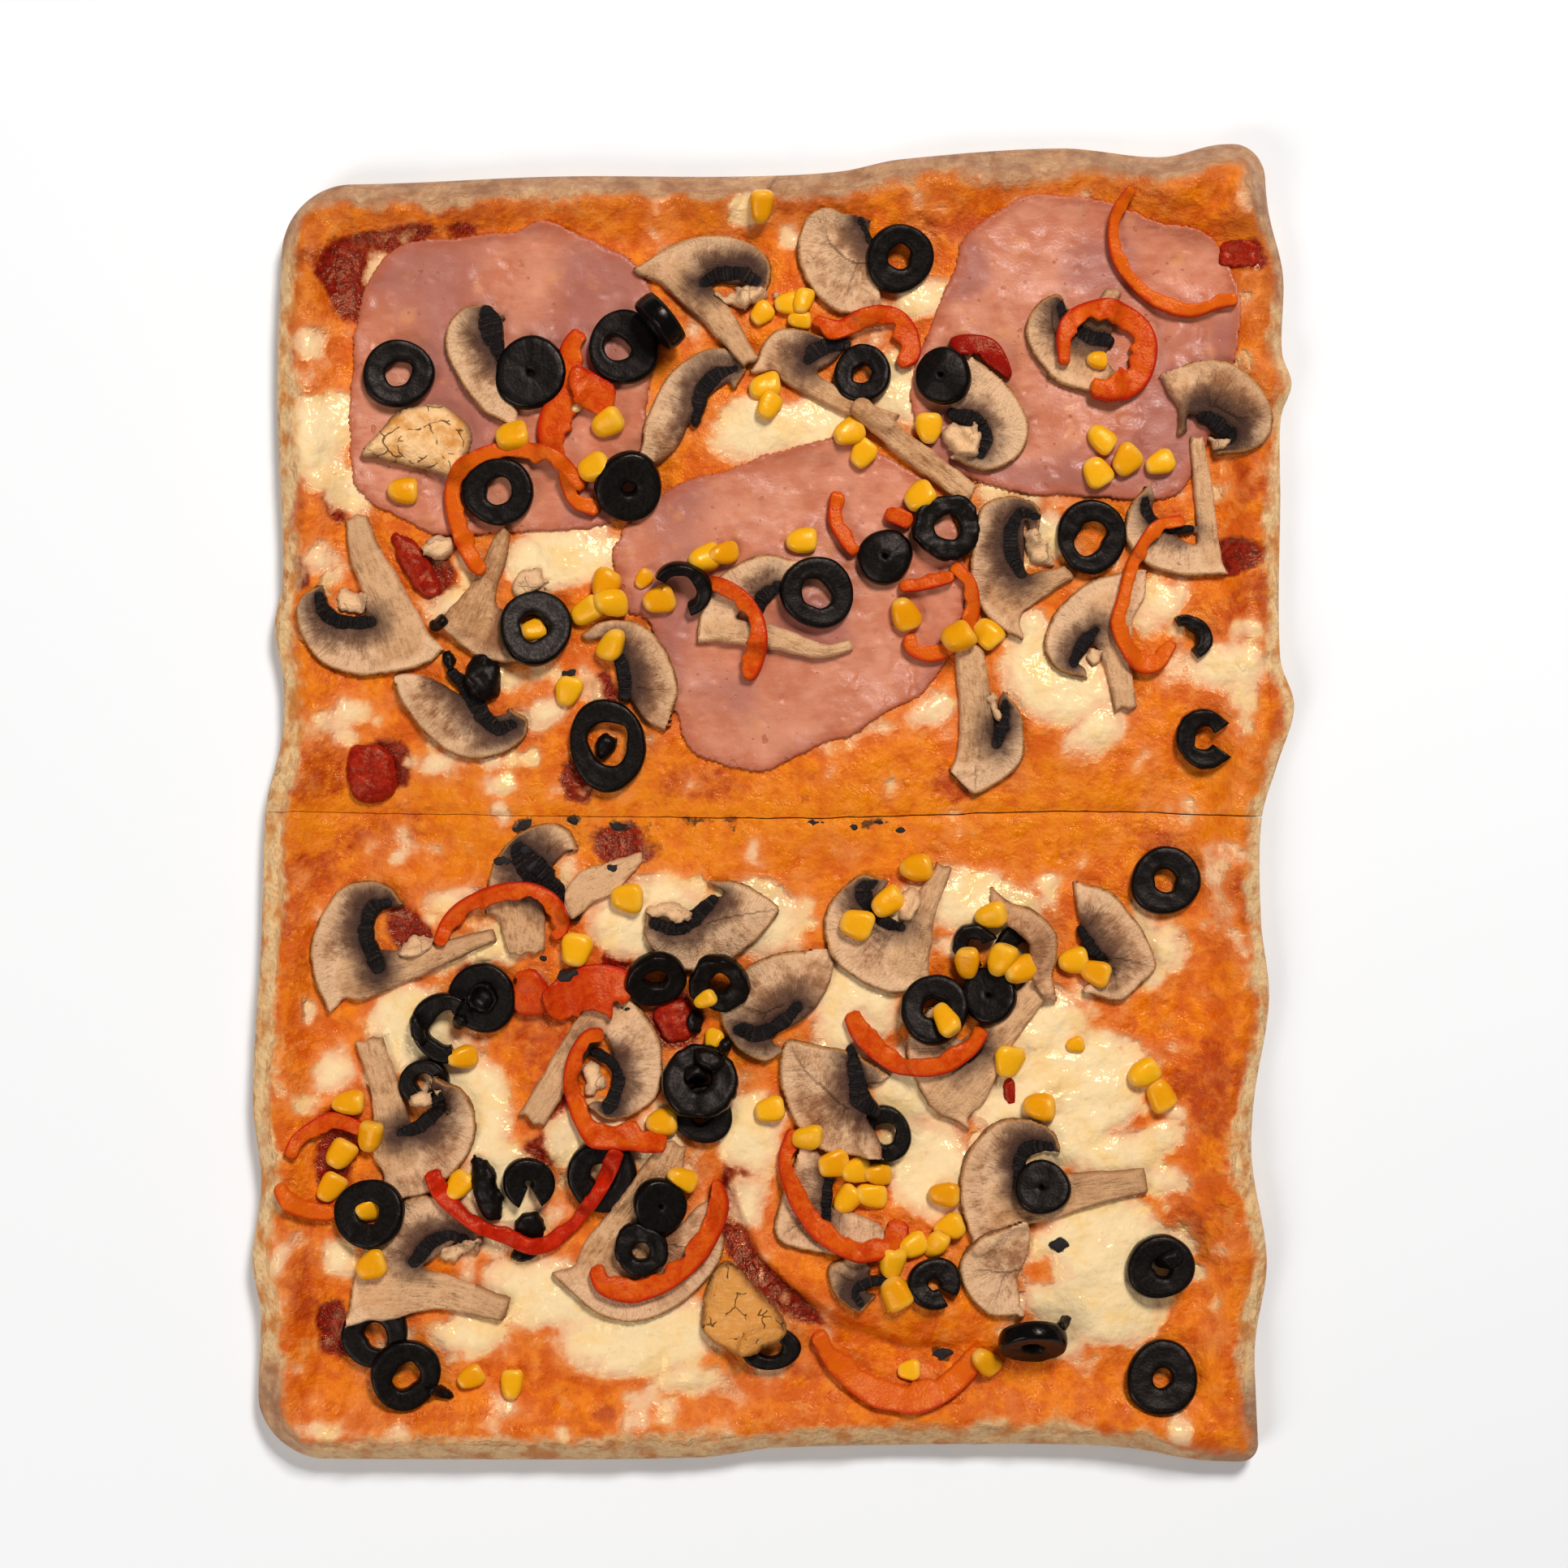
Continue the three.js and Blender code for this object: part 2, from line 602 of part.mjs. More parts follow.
// Lays a piece on the stack. A named piece becomes a node of its own, clear of all others;
// a small unnamed one is joined to the node that it lies on.
function lay({ name, kind, soft, make }) {
  const flat = make(0);
  const cells = [];
  eachCell(facesOf(flat), (cell) => cells.push(cell));
  const bed = soft ? softBed(cells) : firmBed(cells);
  const placed = rested(flat, bed, soft, REST_GAP);
  if (name) {
    let lift = 0;
    while (lift < HIGHEST_LIFT && nodes.some((node) => overlap(node.solid, placed.translate([0, 0, lift])))) {
      lift += LIFT_STEP;
    }
    const clear = placed.translate([0, 0, lift > 0 ? lift + REST_GAP / 2 : 0]);
    nodes.push({ name, kind, solid: clear });
    addToRaster(clear, nodes.length - 1);
    return;
  }
  const votes = new Map();
  for (const cell of cells) votes.set(owners[cell], (votes.get(owners[cell]) ?? 0) + 1);
  const hostIndex = [...votes].sort((a, b) => b[1] - a[1])[0][0];
  const host = nodes[hostIndex];
  const depth = ROOT_DEPTH[host.kind];
  const before = facesOf(flat).vertices;
  let joined = reshaped(placed, ([x, y, z], i) => {
    const onUnderside = before[i][2] < SETTLED;
    return [x, y, onUnderside ? Math.min(z, heights[cellAt(x, y)]) - depth : z - REST_GAP];
  });
  for (const node of nodes) {
    if (node !== host && joined && overlap(node.solid, joined)) joined = clearOf(joined, node.solid);
  }
  if (!joined || nodes.some((node) => node !== host && overlap(node.solid, joined))) return;
  const whole = largestPart(host.solid.add(joined));
  if (whole.volume() < host.solid.volume() + LEAST_SHARE * flat.volume()) return;
  const joinedWhole = whole.simplify(SMALLEST_DETAIL);
  const added = joinedWhole.numTri() - host.solid.numTri();
  if (added > MOST_ADDED.base + (soft ? MOST_ADDED.soft : MOST_ADDED.firm) * flat.numTri()) return;
  host.solid = joinedWhole;
  addToRaster(joined, hostIndex);
}

// Kinds of topping, each from its measured places

const named = (name, kind, soft, make) => ({ name, kind, soft, make });

function ham(name, points) {
  return named(name, 'ham', true, (root) => softSlice(closedOutline(points, HAM_SIDES), HAM_THICKNESS, root));
}

function mushroom(name, { cap, stem, oval }) {
  const outlines = [];
  if (cap) outlines.push(bandOutline(cap));
  if (stem) outlines.push(stripOutline(stem, STEM_STEPS));
  if (oval) outlines.push(ovalOutline(oval));
  return named(name, 'mushroom', true, (root) => slice(outlines, MUSHROOM_THICKNESS, root));
}

function cappedMushroom(name, oval, height) {
  return named(name, 'mushroom', false, (root) => dome(oval, height, root));
}

function pepper(name, ...paths) {
  const make = (root) => slice(paths.map((path) => stripOutline(path)), PEPPER_THICKNESS, root);
  return named(name, 'pepper', true, make);
}

function olive(name, size) {
  return named(name, 'olive', false, (root) => oliveSlice(size, root));
}

function oliveScrap(oval) {
  return named('', 'olive', false, (root) => slice([ovalOutline(oval)], OLIVE_HEIGHT, root));
}

function tomato(oval) {
  return named('', 'tomato', false, (root) => dome(oval, TOMATO_HEIGHT, root));
}

function kernel([x, y, turn = 0, size = 1]) {
  return named('', 'corn', false, (root) => kernelSolid({ x, y, turn, size }, root));
}

// A path round part of a circle, of even width
function arcPath(x, y, radius, width, from, to) {
  return Array.from({ length: ARC_STEPS + 1 }, (_, i) => {
    const angle = (from + (to - from) * i / ARC_STEPS) * DEGREE;
    return [x + radius * Math.cos(angle), y + radius * Math.sin(angle), width];
  });
}

// The toppings from the lowest to the uppermost. Mushroom caps run clockwise along their skin,
// as [x, y, width]; stems and peppers run along their middle.
const HAM = [
  ham('ham_upper_left', [[-130.8, 130], [-126, 160.8], [-112.8, 173.3], [-89.8, 175.8], [-71.3, 179.8],
    [-42.3, 166.3], [-35.5, 147.5], [-39.8, 107.5], [-48.5, 87.5], [-83.5, 83.8], [-113.5, 87.5], [-129.5, 102]]),
  ham('ham_upper_right', [[58.3, 174.8], [71, 184.3], [87.5, 187.8], [108.5, 183.5], [136.5, 173.3],
    [143, 150], [137, 117.5], [124, 95.5], [91.3, 95], [57, 101.3], [42.3, 122.5], [48.5, 147.8]]),
  ham('ham_middle', [[-48, 76.5], [-31, 98.3], [11.8, 111.5], [39, 105], [56.5, 85], [56.5, 50],
    [36.5, 29.3], [16.3, 19], [-4.3, 10.5], [-27.8, 19.8], [-36.5, 50]]),
];

const UPPER_MUSHROOMS = [
  tomato({ x: -110.3, y: 73.5, rx: 11.5, ry: 4.8, turn: -60 }),
  tomato({ x: -124.8, y: 9.5, rx: 8, ry: 9.8 }),
  mushroom('', { oval: { x: -101, y: 75.5, rx: 7, ry: 8 } }),
  mushroom('mushroom_01', {
    cap: [[-102.5, 46.8, 1.5], [-115.3, 40.8, 14], [-128, 39.5, 18], [-139.5, 43.3, 15], [-147.1, 59.3, 9],
      [-141.4, 66.3, 4]],
    stem: [[-115.9, 51.6, 17], [-120.3, 64.3, 13], [-126.1, 76.5, 10], [-129, 88.3, 7]],
  }),
  mushroom('', {
    cap: [[-74.8, 43.8, 8], [-85.3, 43.3, 14], [-93, 45.8, 16], [-99.5, 51.5, 3]],
    stem: [[-94.2, 56.7, 13], [-89.7, 66.9, 8], [-85.3, 78.4, 6], [-82.7, 84.4, 3]],
  }),
  mushroom('mushroom_02', {
    cap: [[-80.8, 29, 2.5], [-76, 25.5, 5], [-77.5, 19.8, 9], [-84, 15.3, 12], [-101.3, 16.3, 16],
      [-110.1, 24.3, 15], [-116.8, 36.3, 1]],
  }),
  mushroom('', {
    cap: [[-6.9, 134.6, 2], [-2.4, 143.5, 10], [2.7, 146.7, 13], [10.4, 145.8, 12], [17.4, 143.5, 8]],
    stem: [[5.3, 133.3, 8], [21.2, 123.8, 6.5], [37.2, 117.4, 6]],
  }),
  mushroom('', {
    cap: [[101.5, 125.3, 10], [87.5, 129.8, 14], [77.6, 142.8, 12], [82.4, 154.9, 8], [90.4, 153, 3]],
    stem: [[95.3, 137.5, 14], [104.8, 158, 4.5]],
  }),
  mushroom('mushroom_03', {
    cap: [[-83.3, 117.4, 7], [-90.3, 121.3, 10], [-97.4, 130.8, 13], [-101.5, 140.3, 15], [-96, 152.5, 11],
      [-84.3, 151.3, 3]],
  }),
  cappedMushroom('mushroom_04', { x: -110, y: 111.5, rx: 17, ry: 11.5, turn: -8 }, 9),
  mushroom('mushroom_05', {
    cap: [[-41.3, 109, 9], [-39.4, 118.6, 12.5], [-35, 128.8, 13.5], [-28, 136.5, 13.5], [-19, 140.6, 11],
      [-11.3, 129.2, 3.5]],
  }),
  cappedMushroom('mushroom_06', { x: 18.5, y: 167, rx: 11.5, ry: 17, turn: 13 }, 9),
  mushroom('mushroom_07', {
    cap: [[-42.5, 165.5, 1.5], [-34.3, 171, 10], [-22.8, 175.4, 14], [-10, 174.5, 14], [-1.8, 160, 7],
      [-7.5, 153.8, 5]],
    stem: [[-29, 162.5, 11], [-17, 149.5, 9], [-7.2, 136.3, 5.5]],
  }),
  mushroom('mushroom_08', {
    cap: [[62, 137, 9], [69.7, 131.3, 17], [78.3, 117.3, 19], [77.3, 109.6, 15], [72.2, 104.5, 10],
      [55.6, 105.7, 4]],
    oval: { x: 58.5, y: 112, rx: 5.5, ry: 5.5 },
  }),
  mushroom('mushroom_09', {
    cap: [[76, 50.5, 1.5], [68, 55.3, 8], [62.8, 61.8, 14], [61.3, 80.3, 16], [69.9, 94.5, 10],
      [82, 90.4, 5], [81.3, 80.8, 2.5]],
    stem: [[72, 63, 12], [90.9, 71.3, 5]],
  }),
  mushroom('mushroom_10', {
    cap: [[94.8, 38.8, 3], [87.8, 40.8, 6], [83.5, 46.4, 9], [87.8, 60.5, 15], [103, 70.5, 16],
      [108.8, 71.5, 12]],
    stem: [[103, 57.9, 15], [106, 44, 8.5], [108.3, 29.5, 7]],
  }),
  mushroom('mushroom_11', {
    cap: [[72.1, 33.6, 3], [77.2, 19.6, 9], [76.3, 12.6, 13], [70.5, 6.8, 15], [62.2, 2.7, 12], [60.3, 3.6, 1.5]],
    stem: [[60.6, 44.8, 9.3], [62.2, 29.2, 10.5], [62.9, 13.2, 12]],
  }),
  mushroom('', {
    cap: [[126, 135, 2], [131.5, 136.8, 12], [143, 134.5, 20], [148.8, 128.8, 18], [153.5, 120, 14],
      [146.3, 108.3, 7], [138, 107.8, 4]],
  }),
  mushroom('', {
    cap: [[138.8, 70.5, 2], [126, 70.3, 10], [114.5, 73.8, 12], [108, 86.3, 9], [114, 96.8, 4]],
    stem: [[134.5, 76, 7], [133, 95, 6], [130.5, 113, 4.5]],
  }),
  mushroom('mushroom_12', {
    cap: [[-23.6, 52.2, 2], [-22.7, 59.3, 9], [-17.6, 69.5, 13], [-2.3, 76.8, 13], [4.8, 75.2, 8]],
    stem: [[-18.9, 53.5, 7], [-2.9, 51.6, 7.5], [14.3, 47.1, 4.5], [23.5, 48.7, 3]],
  }),
  mushroom('', {
    cap: [[-58.5, 52.8, 3], [-52, 56.8, 6], [-42.5, 56, 10], [-31.5, 43.3, 15], [-29.4, 35, 15],
      [-31.5, 28.3, 10]],
  }),
  mushroom('', { stem: [[27, 121.3, 7], [43.5, 108, 7.5], [60.3, 95, 8]] }),
];

const UPPER_PEPPERS = [
  pepper('pepper_01', [[-59.5, 145.5, 5], [-62, 131.3, 8], [-67.3, 118.8, 10], [-66, 106.3, 6]],
    [[-61.8, 131, 9], [-53.5, 125.5, 12], [-49, 124.5, 8]]),
  pepper('pepper_02', [[-59, 97, 4], [-64.8, 104.5, 4.5], [-78.3, 109, 5], [-92.3, 106, 5], [-99.3, 95.5, 5],
    [-97.3, 84.8, 5], [-89.5, 70.8, 3]]),
  pepper('', [[12, 149, 4], [20.3, 146.3, 6], [35.3, 150.5, 6], [42, 138.8, 6], [38.5, 135, 3]]),
  pepper('', [[55, 141.5, 4], [66.5, 140.8, 5], [72.8, 131.3, 2.5]]),
  pepper('pepper_03', arcPath(102, 139.3, 10.4, 6, -125, 200)),
  pepper('pepper_04', [[109.8, 188.8, 3], [104.8, 173.3, 4], [113, 159.3, 4.3], [127.8, 152, 4.2],
    [142.5, 154.8, 3]]),
  pepper('pepper_05', [[126.5, 87.3, 4], [114, 80.3, 4], [107.3, 63, 4.3], [105.5, 55.3, 4.5],
    [112.5, 43.3, 5.5], [123, 50, 3.5]]),
  pepper('', [[19.5, 96.3, 4], [18.8, 88, 4.5], [25.3, 77, 4]]),
  pepper('pepper_06', [[55.3, 73.8, 4], [61.3, 61, 4.5], [55.3, 49, 5], [48.8, 46.3, 5.5], [41.8, 52.3, 4]]),
  pepper('', [[38.5, 66.8, 3.5], [45.8, 67.8, 4.5], [55.3, 69.8, 3.5]]),
  pepper('', [[34.3, 90, 5], [42.5, 86.5, 5]]),
  pepper('pepper_07', [[-20.8, 68.3, 4.5], [-9.3, 62.5, 5], [-4.8, 49.8, 5.5], [-8.8, 38.3, 5]]),
];

const UPPER_OLIVES = [
  olive('olive_01', { x: -116.2, y: 132.5, r: 10.6, hole: 3.8 }),
  olive('olive_02', { x: -75, y: 132.5, r: 11.1, hole: 0 }),
  olive('olive_03', { x: -46, y: 140.2, r: 11.1, hole: 3.8 }),
  oliveScrap({ x: -34.8, y: 147.2, rx: 8.9, ry: 4.1, turn: -50 }),
  olive('olive_04', { x: -85, y: 96.2, r: 10.6, hole: 3.8 }),
  olive('olive_05', { x: -45, y: 98, r: 10.5, hole: 2 }),
  olive('olive_06', { x: -74, y: 53.5, r: 11.2, hole: 4 }),
  olive('olive_07', { x: -51.5, y: 18, r: 10.9, ry: 13.5, hole: 5 }),
  oliveScrap({ x: -89.8, y: 38.8, rx: 5.5, ry: 7.5 }),
  olive('olive_08', { x: 38.5, y: 168, r: 10.4, hole: 3.6 }),
  olive('', { x: 27.5, y: 132.2, r: 8.9, hole: 2.5 }),
  olive('', { x: 52.8, y: 131.5, r: 8.5, hole: 0 }),
  olive('', { x: 12.8, y: 65, r: 11.1, hole: 4 }),
  olive('', { x: -28.5, y: 66, r: 9, hole: 3.8, open: 225 }),
  olive('olive_09', { x: 53, y: 85, r: 10.3, hole: 3.8 }),
  olive('', { x: 34.2, y: 76, r: 8.4, hole: 0 }),
  olive('olive_10', { x: 97.8, y: 82.5, r: 11, hole: 5.2 }),
  olive('', { x: 133.2, y: 20, r: 9.1, hole: 3.5, open: 0 }),
  oliveScrap({ x: 127, y: 50.8, rx: 7.3, ry: 4 }),
];

const UPPER_CORN = [[-114.5, 96.5], [-51.5, 117.3, 30], [4.3, 154.3], [-3.8, 151.5], [-3, 128.8], [23, 114.5],
  [27.5, 108], [47.8, 115.8, 90], [100.8, 112.3, -35], [99.5, 102, -60], [108.5, 105.8, 45], [119, 105, 20],
  [45, 94.5, 30], [8.5, 81, 0], [-15.8, 77, 10], [-35.5, 62.8, 20], [-52, 67.5, 60], [-58, 59.3, 30],
  [-50, 49, -110], [-63.5, 34.8, 80], [40.3, 58.5, -70], [65.8, 52.5, -50], [-4, 183.5, 90]];

const LOWER_MUSHROOMS = [
  mushroom('', {
    cap: [[32.8, -138.8, 8], [16.5, -138.8, 14], [1, -134.5, 12], [2, -122.5, 14], [6.5, -110, 14]],
  }),
  mushroom('', {
    cap: [[30.8, -152, 3], [26.5, -156.5, 5], [17.5, -148.8, 11], [16.5, -142.5, 16], [21.5, -139.8, 14]],
  }),
  olive('', { x: -107.5, y: -86, r: 7.5, hole: 2 }),
  olive('', { x: -123.2, y: -164, r: 10.1, hole: 4 }),
  olive('', { x: 34, y: -102.2, r: 8.6, hole: 0 }),
  olive('', { x: -22.2, y: -96, r: 9, hole: 0 }),
  olive('', { x: 76, y: -46, r: 9, hole: 0 }),
  mushroom('mushroom_13', {
    cap: [[-138.3, -63, 1.5], [-141.8, -54.8, 10], [-142.8, -44, 15], [-133.8, -26, 11], [-125.5, -23.9, 8.5],
      [-115.3, -30, 3]],
    stem: [[-128, -53.5, 15], [-108.9, -48.4, 8.5], [-87.2, -40.8, 4]],
  }),
  mushroom('mushroom_14', {
    cap: [[-88.8, -28.8, 13], [-87.8, -21, 14], [-83.3, -13.3, 15], [-77, -8, 14], [-69.3, -6, 10],
      [-61, -12.8, 3]],
    stem: [[-78.3, -29.3, 16], [-76.3, -45.9, 11]],
  }),
  mushroom('', { oval: { x: -51.5, y: -24.5, rx: 4, ry: 6.5, turn: -35 } }),
  mushroom('mushroom_15', {
    cap: [[-20, -23.5, 1], [-10.5, -24.3, 6], [1, -31.3, 13], [-7.4, -44, 18], [-17.5, -50.3, 18],
      [-34.8, -48.5, 11], [-39.8, -35, 4]],
  }),
  mushroom('mushroom_16', {
    cap: [[1.5, -77.8, 3], [-3, -79.8, 6], [-10.5, -76.5, 10], [-16.3, -62, 18], [-8.8, -51, 22],
      [9.3, -45.3, 16]],
  }),
  mushroom('mushroom_17', {
    cap: [[-44.5, -58.8, 12], [-36, -71.3, 15], [-34.3, -80.3, 14], [-36, -90, 12], [-50.8, -97.8, 6],
      [-56.5, -94.3, 3]],
    stem: [[-50, -62, 12], [-56.5, -68, 9.5], [-74.8, -97.5, 9]],
  }),
  mushroom('mushroom_18', {
    cap: [[-103.3, -84.5, 4], [-96, -88.5, 6], [-92, -97, 8], [-97.3, -112.5, 16], [-106.3, -120.5, 16],
      [-114, -122, 8]],
    stem: [[-117, -108, 14], [-120, -90, 9.5], [-125, -73.5, 8.5]],
  }),
  mushroom('mushroom_19', {
    cap: [[-131.5, -157.3, 4], [-129.3, -145, 14], [-123.5, -131.3, 18], [-105, -120.8, 14], [-96, -125.5, 8],
      [-90.8, -136.8, 4]],
    stem: [[-120.3, -150.5, 17], [-102.5, -151.1, 11], [-83.4, -156.2, 7.5]],
  }),
  mushroom('mushroom_20', {
    cap: [[-18.5, -127.5, 12], [-15.3, -136.5, 14], [-28.8, -154.3, 20], [-41.5, -159.5, 20],
      [-54.4, -157.5, 16], [-68, -145.8, 1]],
    stem: [[-52, -142, 18], [-36, -117, 13], [-31, -105, 8]],
  }),
  mushroom('mushroom_21', {
    cap: [[41.5, -58.5, 10], [34.5, -58.3, 16], [18.5, -48.3, 16], [15.3, -38, 13], [26.2, -22.3, 8],
      [32.5, -23, 5]],
    stem: [[41.5, -48.3, 13], [45.9, -33, 8], [52.3, -19.6, 5]],
  }),
  mushroom('', {
    cap: [[95.5, -24.6, 3], [103.8, -27.3, 11], [114.5, -40.5, 18], [118, -50, 18], [106.8, -61, 10],
      [98, -59, 5]],
  }),
  mushroom('mushroom_22', {
    cap: [[59.3, -100.5, 1], [50.3, -93.8, 9], [44, -86.3, 14], [41.5, -70, 14], [46.5, -65, 10]],
    stem: [[56.2, -87.2, 20], [68.9, -71.3, 11], [82.3, -56, 8]],
  }),
  mushroom('mushroom_23', {
    cap: [[27.8, -109.3, 6], [16.5, -108, 16], [7.8, -101.3, 20], [1.5, -81.3, 24], [4, -73.3, 22],
      [22.8, -76.5, 10], [34, -82.8, 4]],
  }),
  mushroom('mushroom_24', {
    cap: [[61, -135.3, 6], [57.1, -119.3, 16], [59, -109, 15], [64.3, -101.3, 12], [78.8, -97, 7],
      [87.8, -105.8, 3]],
    stem: [[73, -123, 16], [84, -121.5, 13], [95, -119, 11], [113.8, -116.4, 7.5]],
  }),
  olive('', { x: -1.5, y: -167.5, r: 10.2, ry: 7, hole: 0 }),
  cappedMushroom('mushroom_25', { x: -10.8, y: -156.2, rx: 13, ry: 14, turn: 40 }, 8),
  mushroom('', {
    cap: [[67.6, -26, 1], [80.4, -33, 8.5], [87.4, -47, 9], [86.8, -58.8, 3]],
  }),
  mushroom('', {
    cap: [[74, -157, 3], [65.3, -157, 9], [57, -142.5, 12], [62.8, -133.8, 11], [71.8, -130.3, 6]],
  }),
];

const LOWER_PEPPERS = [
  olive('olive_11', { x: -53.2, y: -114.2, r: 10.9, hole: 4 }),
  pepper('pepper_08', [[-103.5, -43.5, 3.5], [-93.3, -30.8, 5.5], [-73.8, -27.3, 5.5], [-65.3, -38.5, 4.5],
    [-68.3, -41.5, 3]]),
  pepper('', [[-74.8, -53, 8], [-74.8, -66, 8]], [[-71, -63.8, 7], [-54.8, -58, 15], [-42.8, -58.5, 5]]),
  pepper('pepper_09', [[-52.5, -70.8, 4], [-61.5, -79.3, 5], [-62.5, -87.5, 5], [-54.5, -102, 7],
    [-33, -103.8, 6]]),
  pepper('pepper_10', [[-105.5, -113, 5.5], [-93.3, -128.3, 4.5], [-71.8, -136.5, 5], [-60.5, -128, 4.5],
    [-53.5, -118.5, 5]]),
  pepper('', [[-18.3, -116.5, 3.5], [-17.3, -125, 6.5], [-30, -144.5, 6.5], [-51.3, -148.5, 6],
    [-55.5, -142.5, 4]]),
  pepper('', [[-127, -100.8, 3.5], [-136, -98, 5.5], [-148.8, -108.8, 4]]),
  pepper('', [[-152.5, -117, 3.5], [-148.3, -123, 5], [-135, -125.8, 3.5]]),
  pepper('pepper_11', [[23.5, -64.5, 5], [27, -71, 6.5], [42.3, -81.3, 5.5], [51.5, -80.3, 5.5],
    [63.8, -69, 5]]),
  pepper('', [[6, -100.8, 4], [3.8, -111, 5.5], [14, -131.3, 6.5], [31, -137.3, 6.5], [38.8, -129, 5.5]]),
  pepper('pepper_12', [[12.8, -163.3, 4.5], [18.8, -172.5, 6.5], [29, -180.8, 7.5], [50.5, -181.3, 8],
    [63.8, -168.5, 5]]),
];

const LOWER_OLIVES = [
  olive('', { x: -76.2, y: -116.8, r: 7.9, hole: 0 }),
  olive('', { x: -35.8, y: -123, r: 8.2, hole: 0 }),
  olive('', { x: -41, y: -137.2, r: 8.3, hole: 2.8 }),
  olive('olive_12', { x: -90, y: -60, r: 10.5, hole: 4 }),
  olive('', { x: -104.5, y: -69, r: 6.5, ry: 10, hole: 2.5, open: 0 }),
  olive('olive_13', { x: -23.2, y: -86.5, r: 11.4, hole: 3.5 }),
  oliveScrap({ x: -24.2, y: -68.2, rx: 5, ry: 7.2 }),
  olive('', { x: -36.8, y: -53.8, r: 9.9, ry: 8.6, hole: 3.5 }),
  olive('', { x: -16.2, y: -55.5, r: 9.7, ry: 6.2, hole: 0 }),
  olive('olive_14', { x: -124.2, y: -126.8, r: 10.6, hole: 3.8 }),
  olive('olive_15', { x: -114, y: -175.8, r: 10.7, hole: 4 }),
  olive('olive_16', { x: 120.8, y: -24, r: 10.5, hole: 4.1 }),
  olive('olive_17', { x: 119.5, y: -177.5, r: 11.1, hole: 3.1 }),
  olive('olive_18', { x: 117.8, y: -142.5, r: 9.9, hole: 3, height: 8 }),
  oliveScrap({ x: 79.5, y: -164, rx: 5.4, ry: 3.5 }),
  olive('', { x: 48.8, y: -148, r: 8, hole: 0 }),
  olive('', { x: 82.5, y: -118.5, r: 8.3, hole: 0 }),
  olive('', { x: 49.5, y: -64, r: 10.5, hole: 4 }),
  olive('', { x: 66.8, y: -59.8, r: 8.3, hole: 0 }),
  oliveScrap({ x: 61.8, y: -43.5, rx: 6.8, ry: 6 }),
];

const LOWER_CORN = [[-45.3, -29, 0], [-61, -45, 80], [-131.5, -92.5, 0], [-124.8, -102.8, 80],
  [-134, -108.3, 60], [-137, -118.5, 60], [-123.8, -142, 20], [-34.5, -98, 0], [-28.5, -115.5, -20],
  [-1.3, -94.5, 10], [-81, -179.5, 90], [43.8, -19.8], [34.8, -30.3, 30], [25.5, -37, -20], [66.8, -34.3],
  [59.5, -49, 90], [92.3, -48.5], [72, -79.3, 80], [81.5, -93.3, 0], [114, -83.3], [119.3, -90, -60],
  [92.8, -74.3], [10.3, -102.8], [25.5, -113.5, 20], [30, -121], [52.5, -120.5, 0], [42.3, -136.5, 20],
  [65.3, -172, -45]];

// The whole pizza
const TINTS = {
  crust: [0xd98f3a, 0.7],
  ham: [0xe2a288, 0.5],
  mushroom: [0xc2ad90, 0.8],
  olive: [0x24211f, 0.6],
  pepper: [0xc8400f, 0.35],
};

// A mesh of a placed solid, with its own place at the middle of its underside
function meshOf({ name, kind, solid }) {
  const { vertices, faces } = facesOf(solid);
  const { min, max } = solid.boundingBox();
  const place = [(min[0] + max[0]) / 2, (min[1] + max[1]) / 2, min[2]];
  const positions = vertices.flatMap((vertex) => vertex.map((value, axis) => value - place[axis]));
  const geometry = new THREE.BufferGeometry();
  geometry.setAttribute('position', new THREE.Float32BufferAttribute(positions, 3));
  geometry.setIndex(faces.flat());
  geometry.computeVertexNormals();
  const [color, roughness] = TINTS[kind];
  const mesh = new THREE.Mesh(geometry, new THREE.MeshStandardMaterial({ color, roughness, metalness: 0 }));
  mesh.name = name;
  mesh.position.set(...place);
  return mesh;
}

nodes.push({
  name: 'crust_upper',
  kind: 'crust',
  solid: crustHalf(topSide, 1, CORNER_RADIUS.topLeft, CORNER_RADIUS.topRight),
});
nodes.push({
  name: 'crust_lower',
  kind: 'crust',
  solid: crustHalf(bottomSide, -1, CORNER_RADIUS.bottomLeft, CORNER_RADIUS.bottomRight),
});
nodes.forEach(({ solid }, index) => addToRaster(solid, index));
[HAM, UPPER_MUSHROOMS, UPPER_PEPPERS, UPPER_OLIVES, UPPER_CORN.map(kernel), LOWER_MUSHROOMS,
  LOWER_PEPPERS, LOWER_OLIVES, LOWER_CORN.map(kernel)].flat().forEach(lay);

const pizza = new THREE.Group();
pizza.name = 'flatbread_pizza';
nodes.forEach((node) => pizza.add(meshOf(node)));

export default pizza;
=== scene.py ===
"""A rectangular tray pizza in two halves, with ham, mushrooms, olives, peppers and sweetcorn.

Lengths in the shape functions are millimetres; each mesh is written in metres.
"""
import math

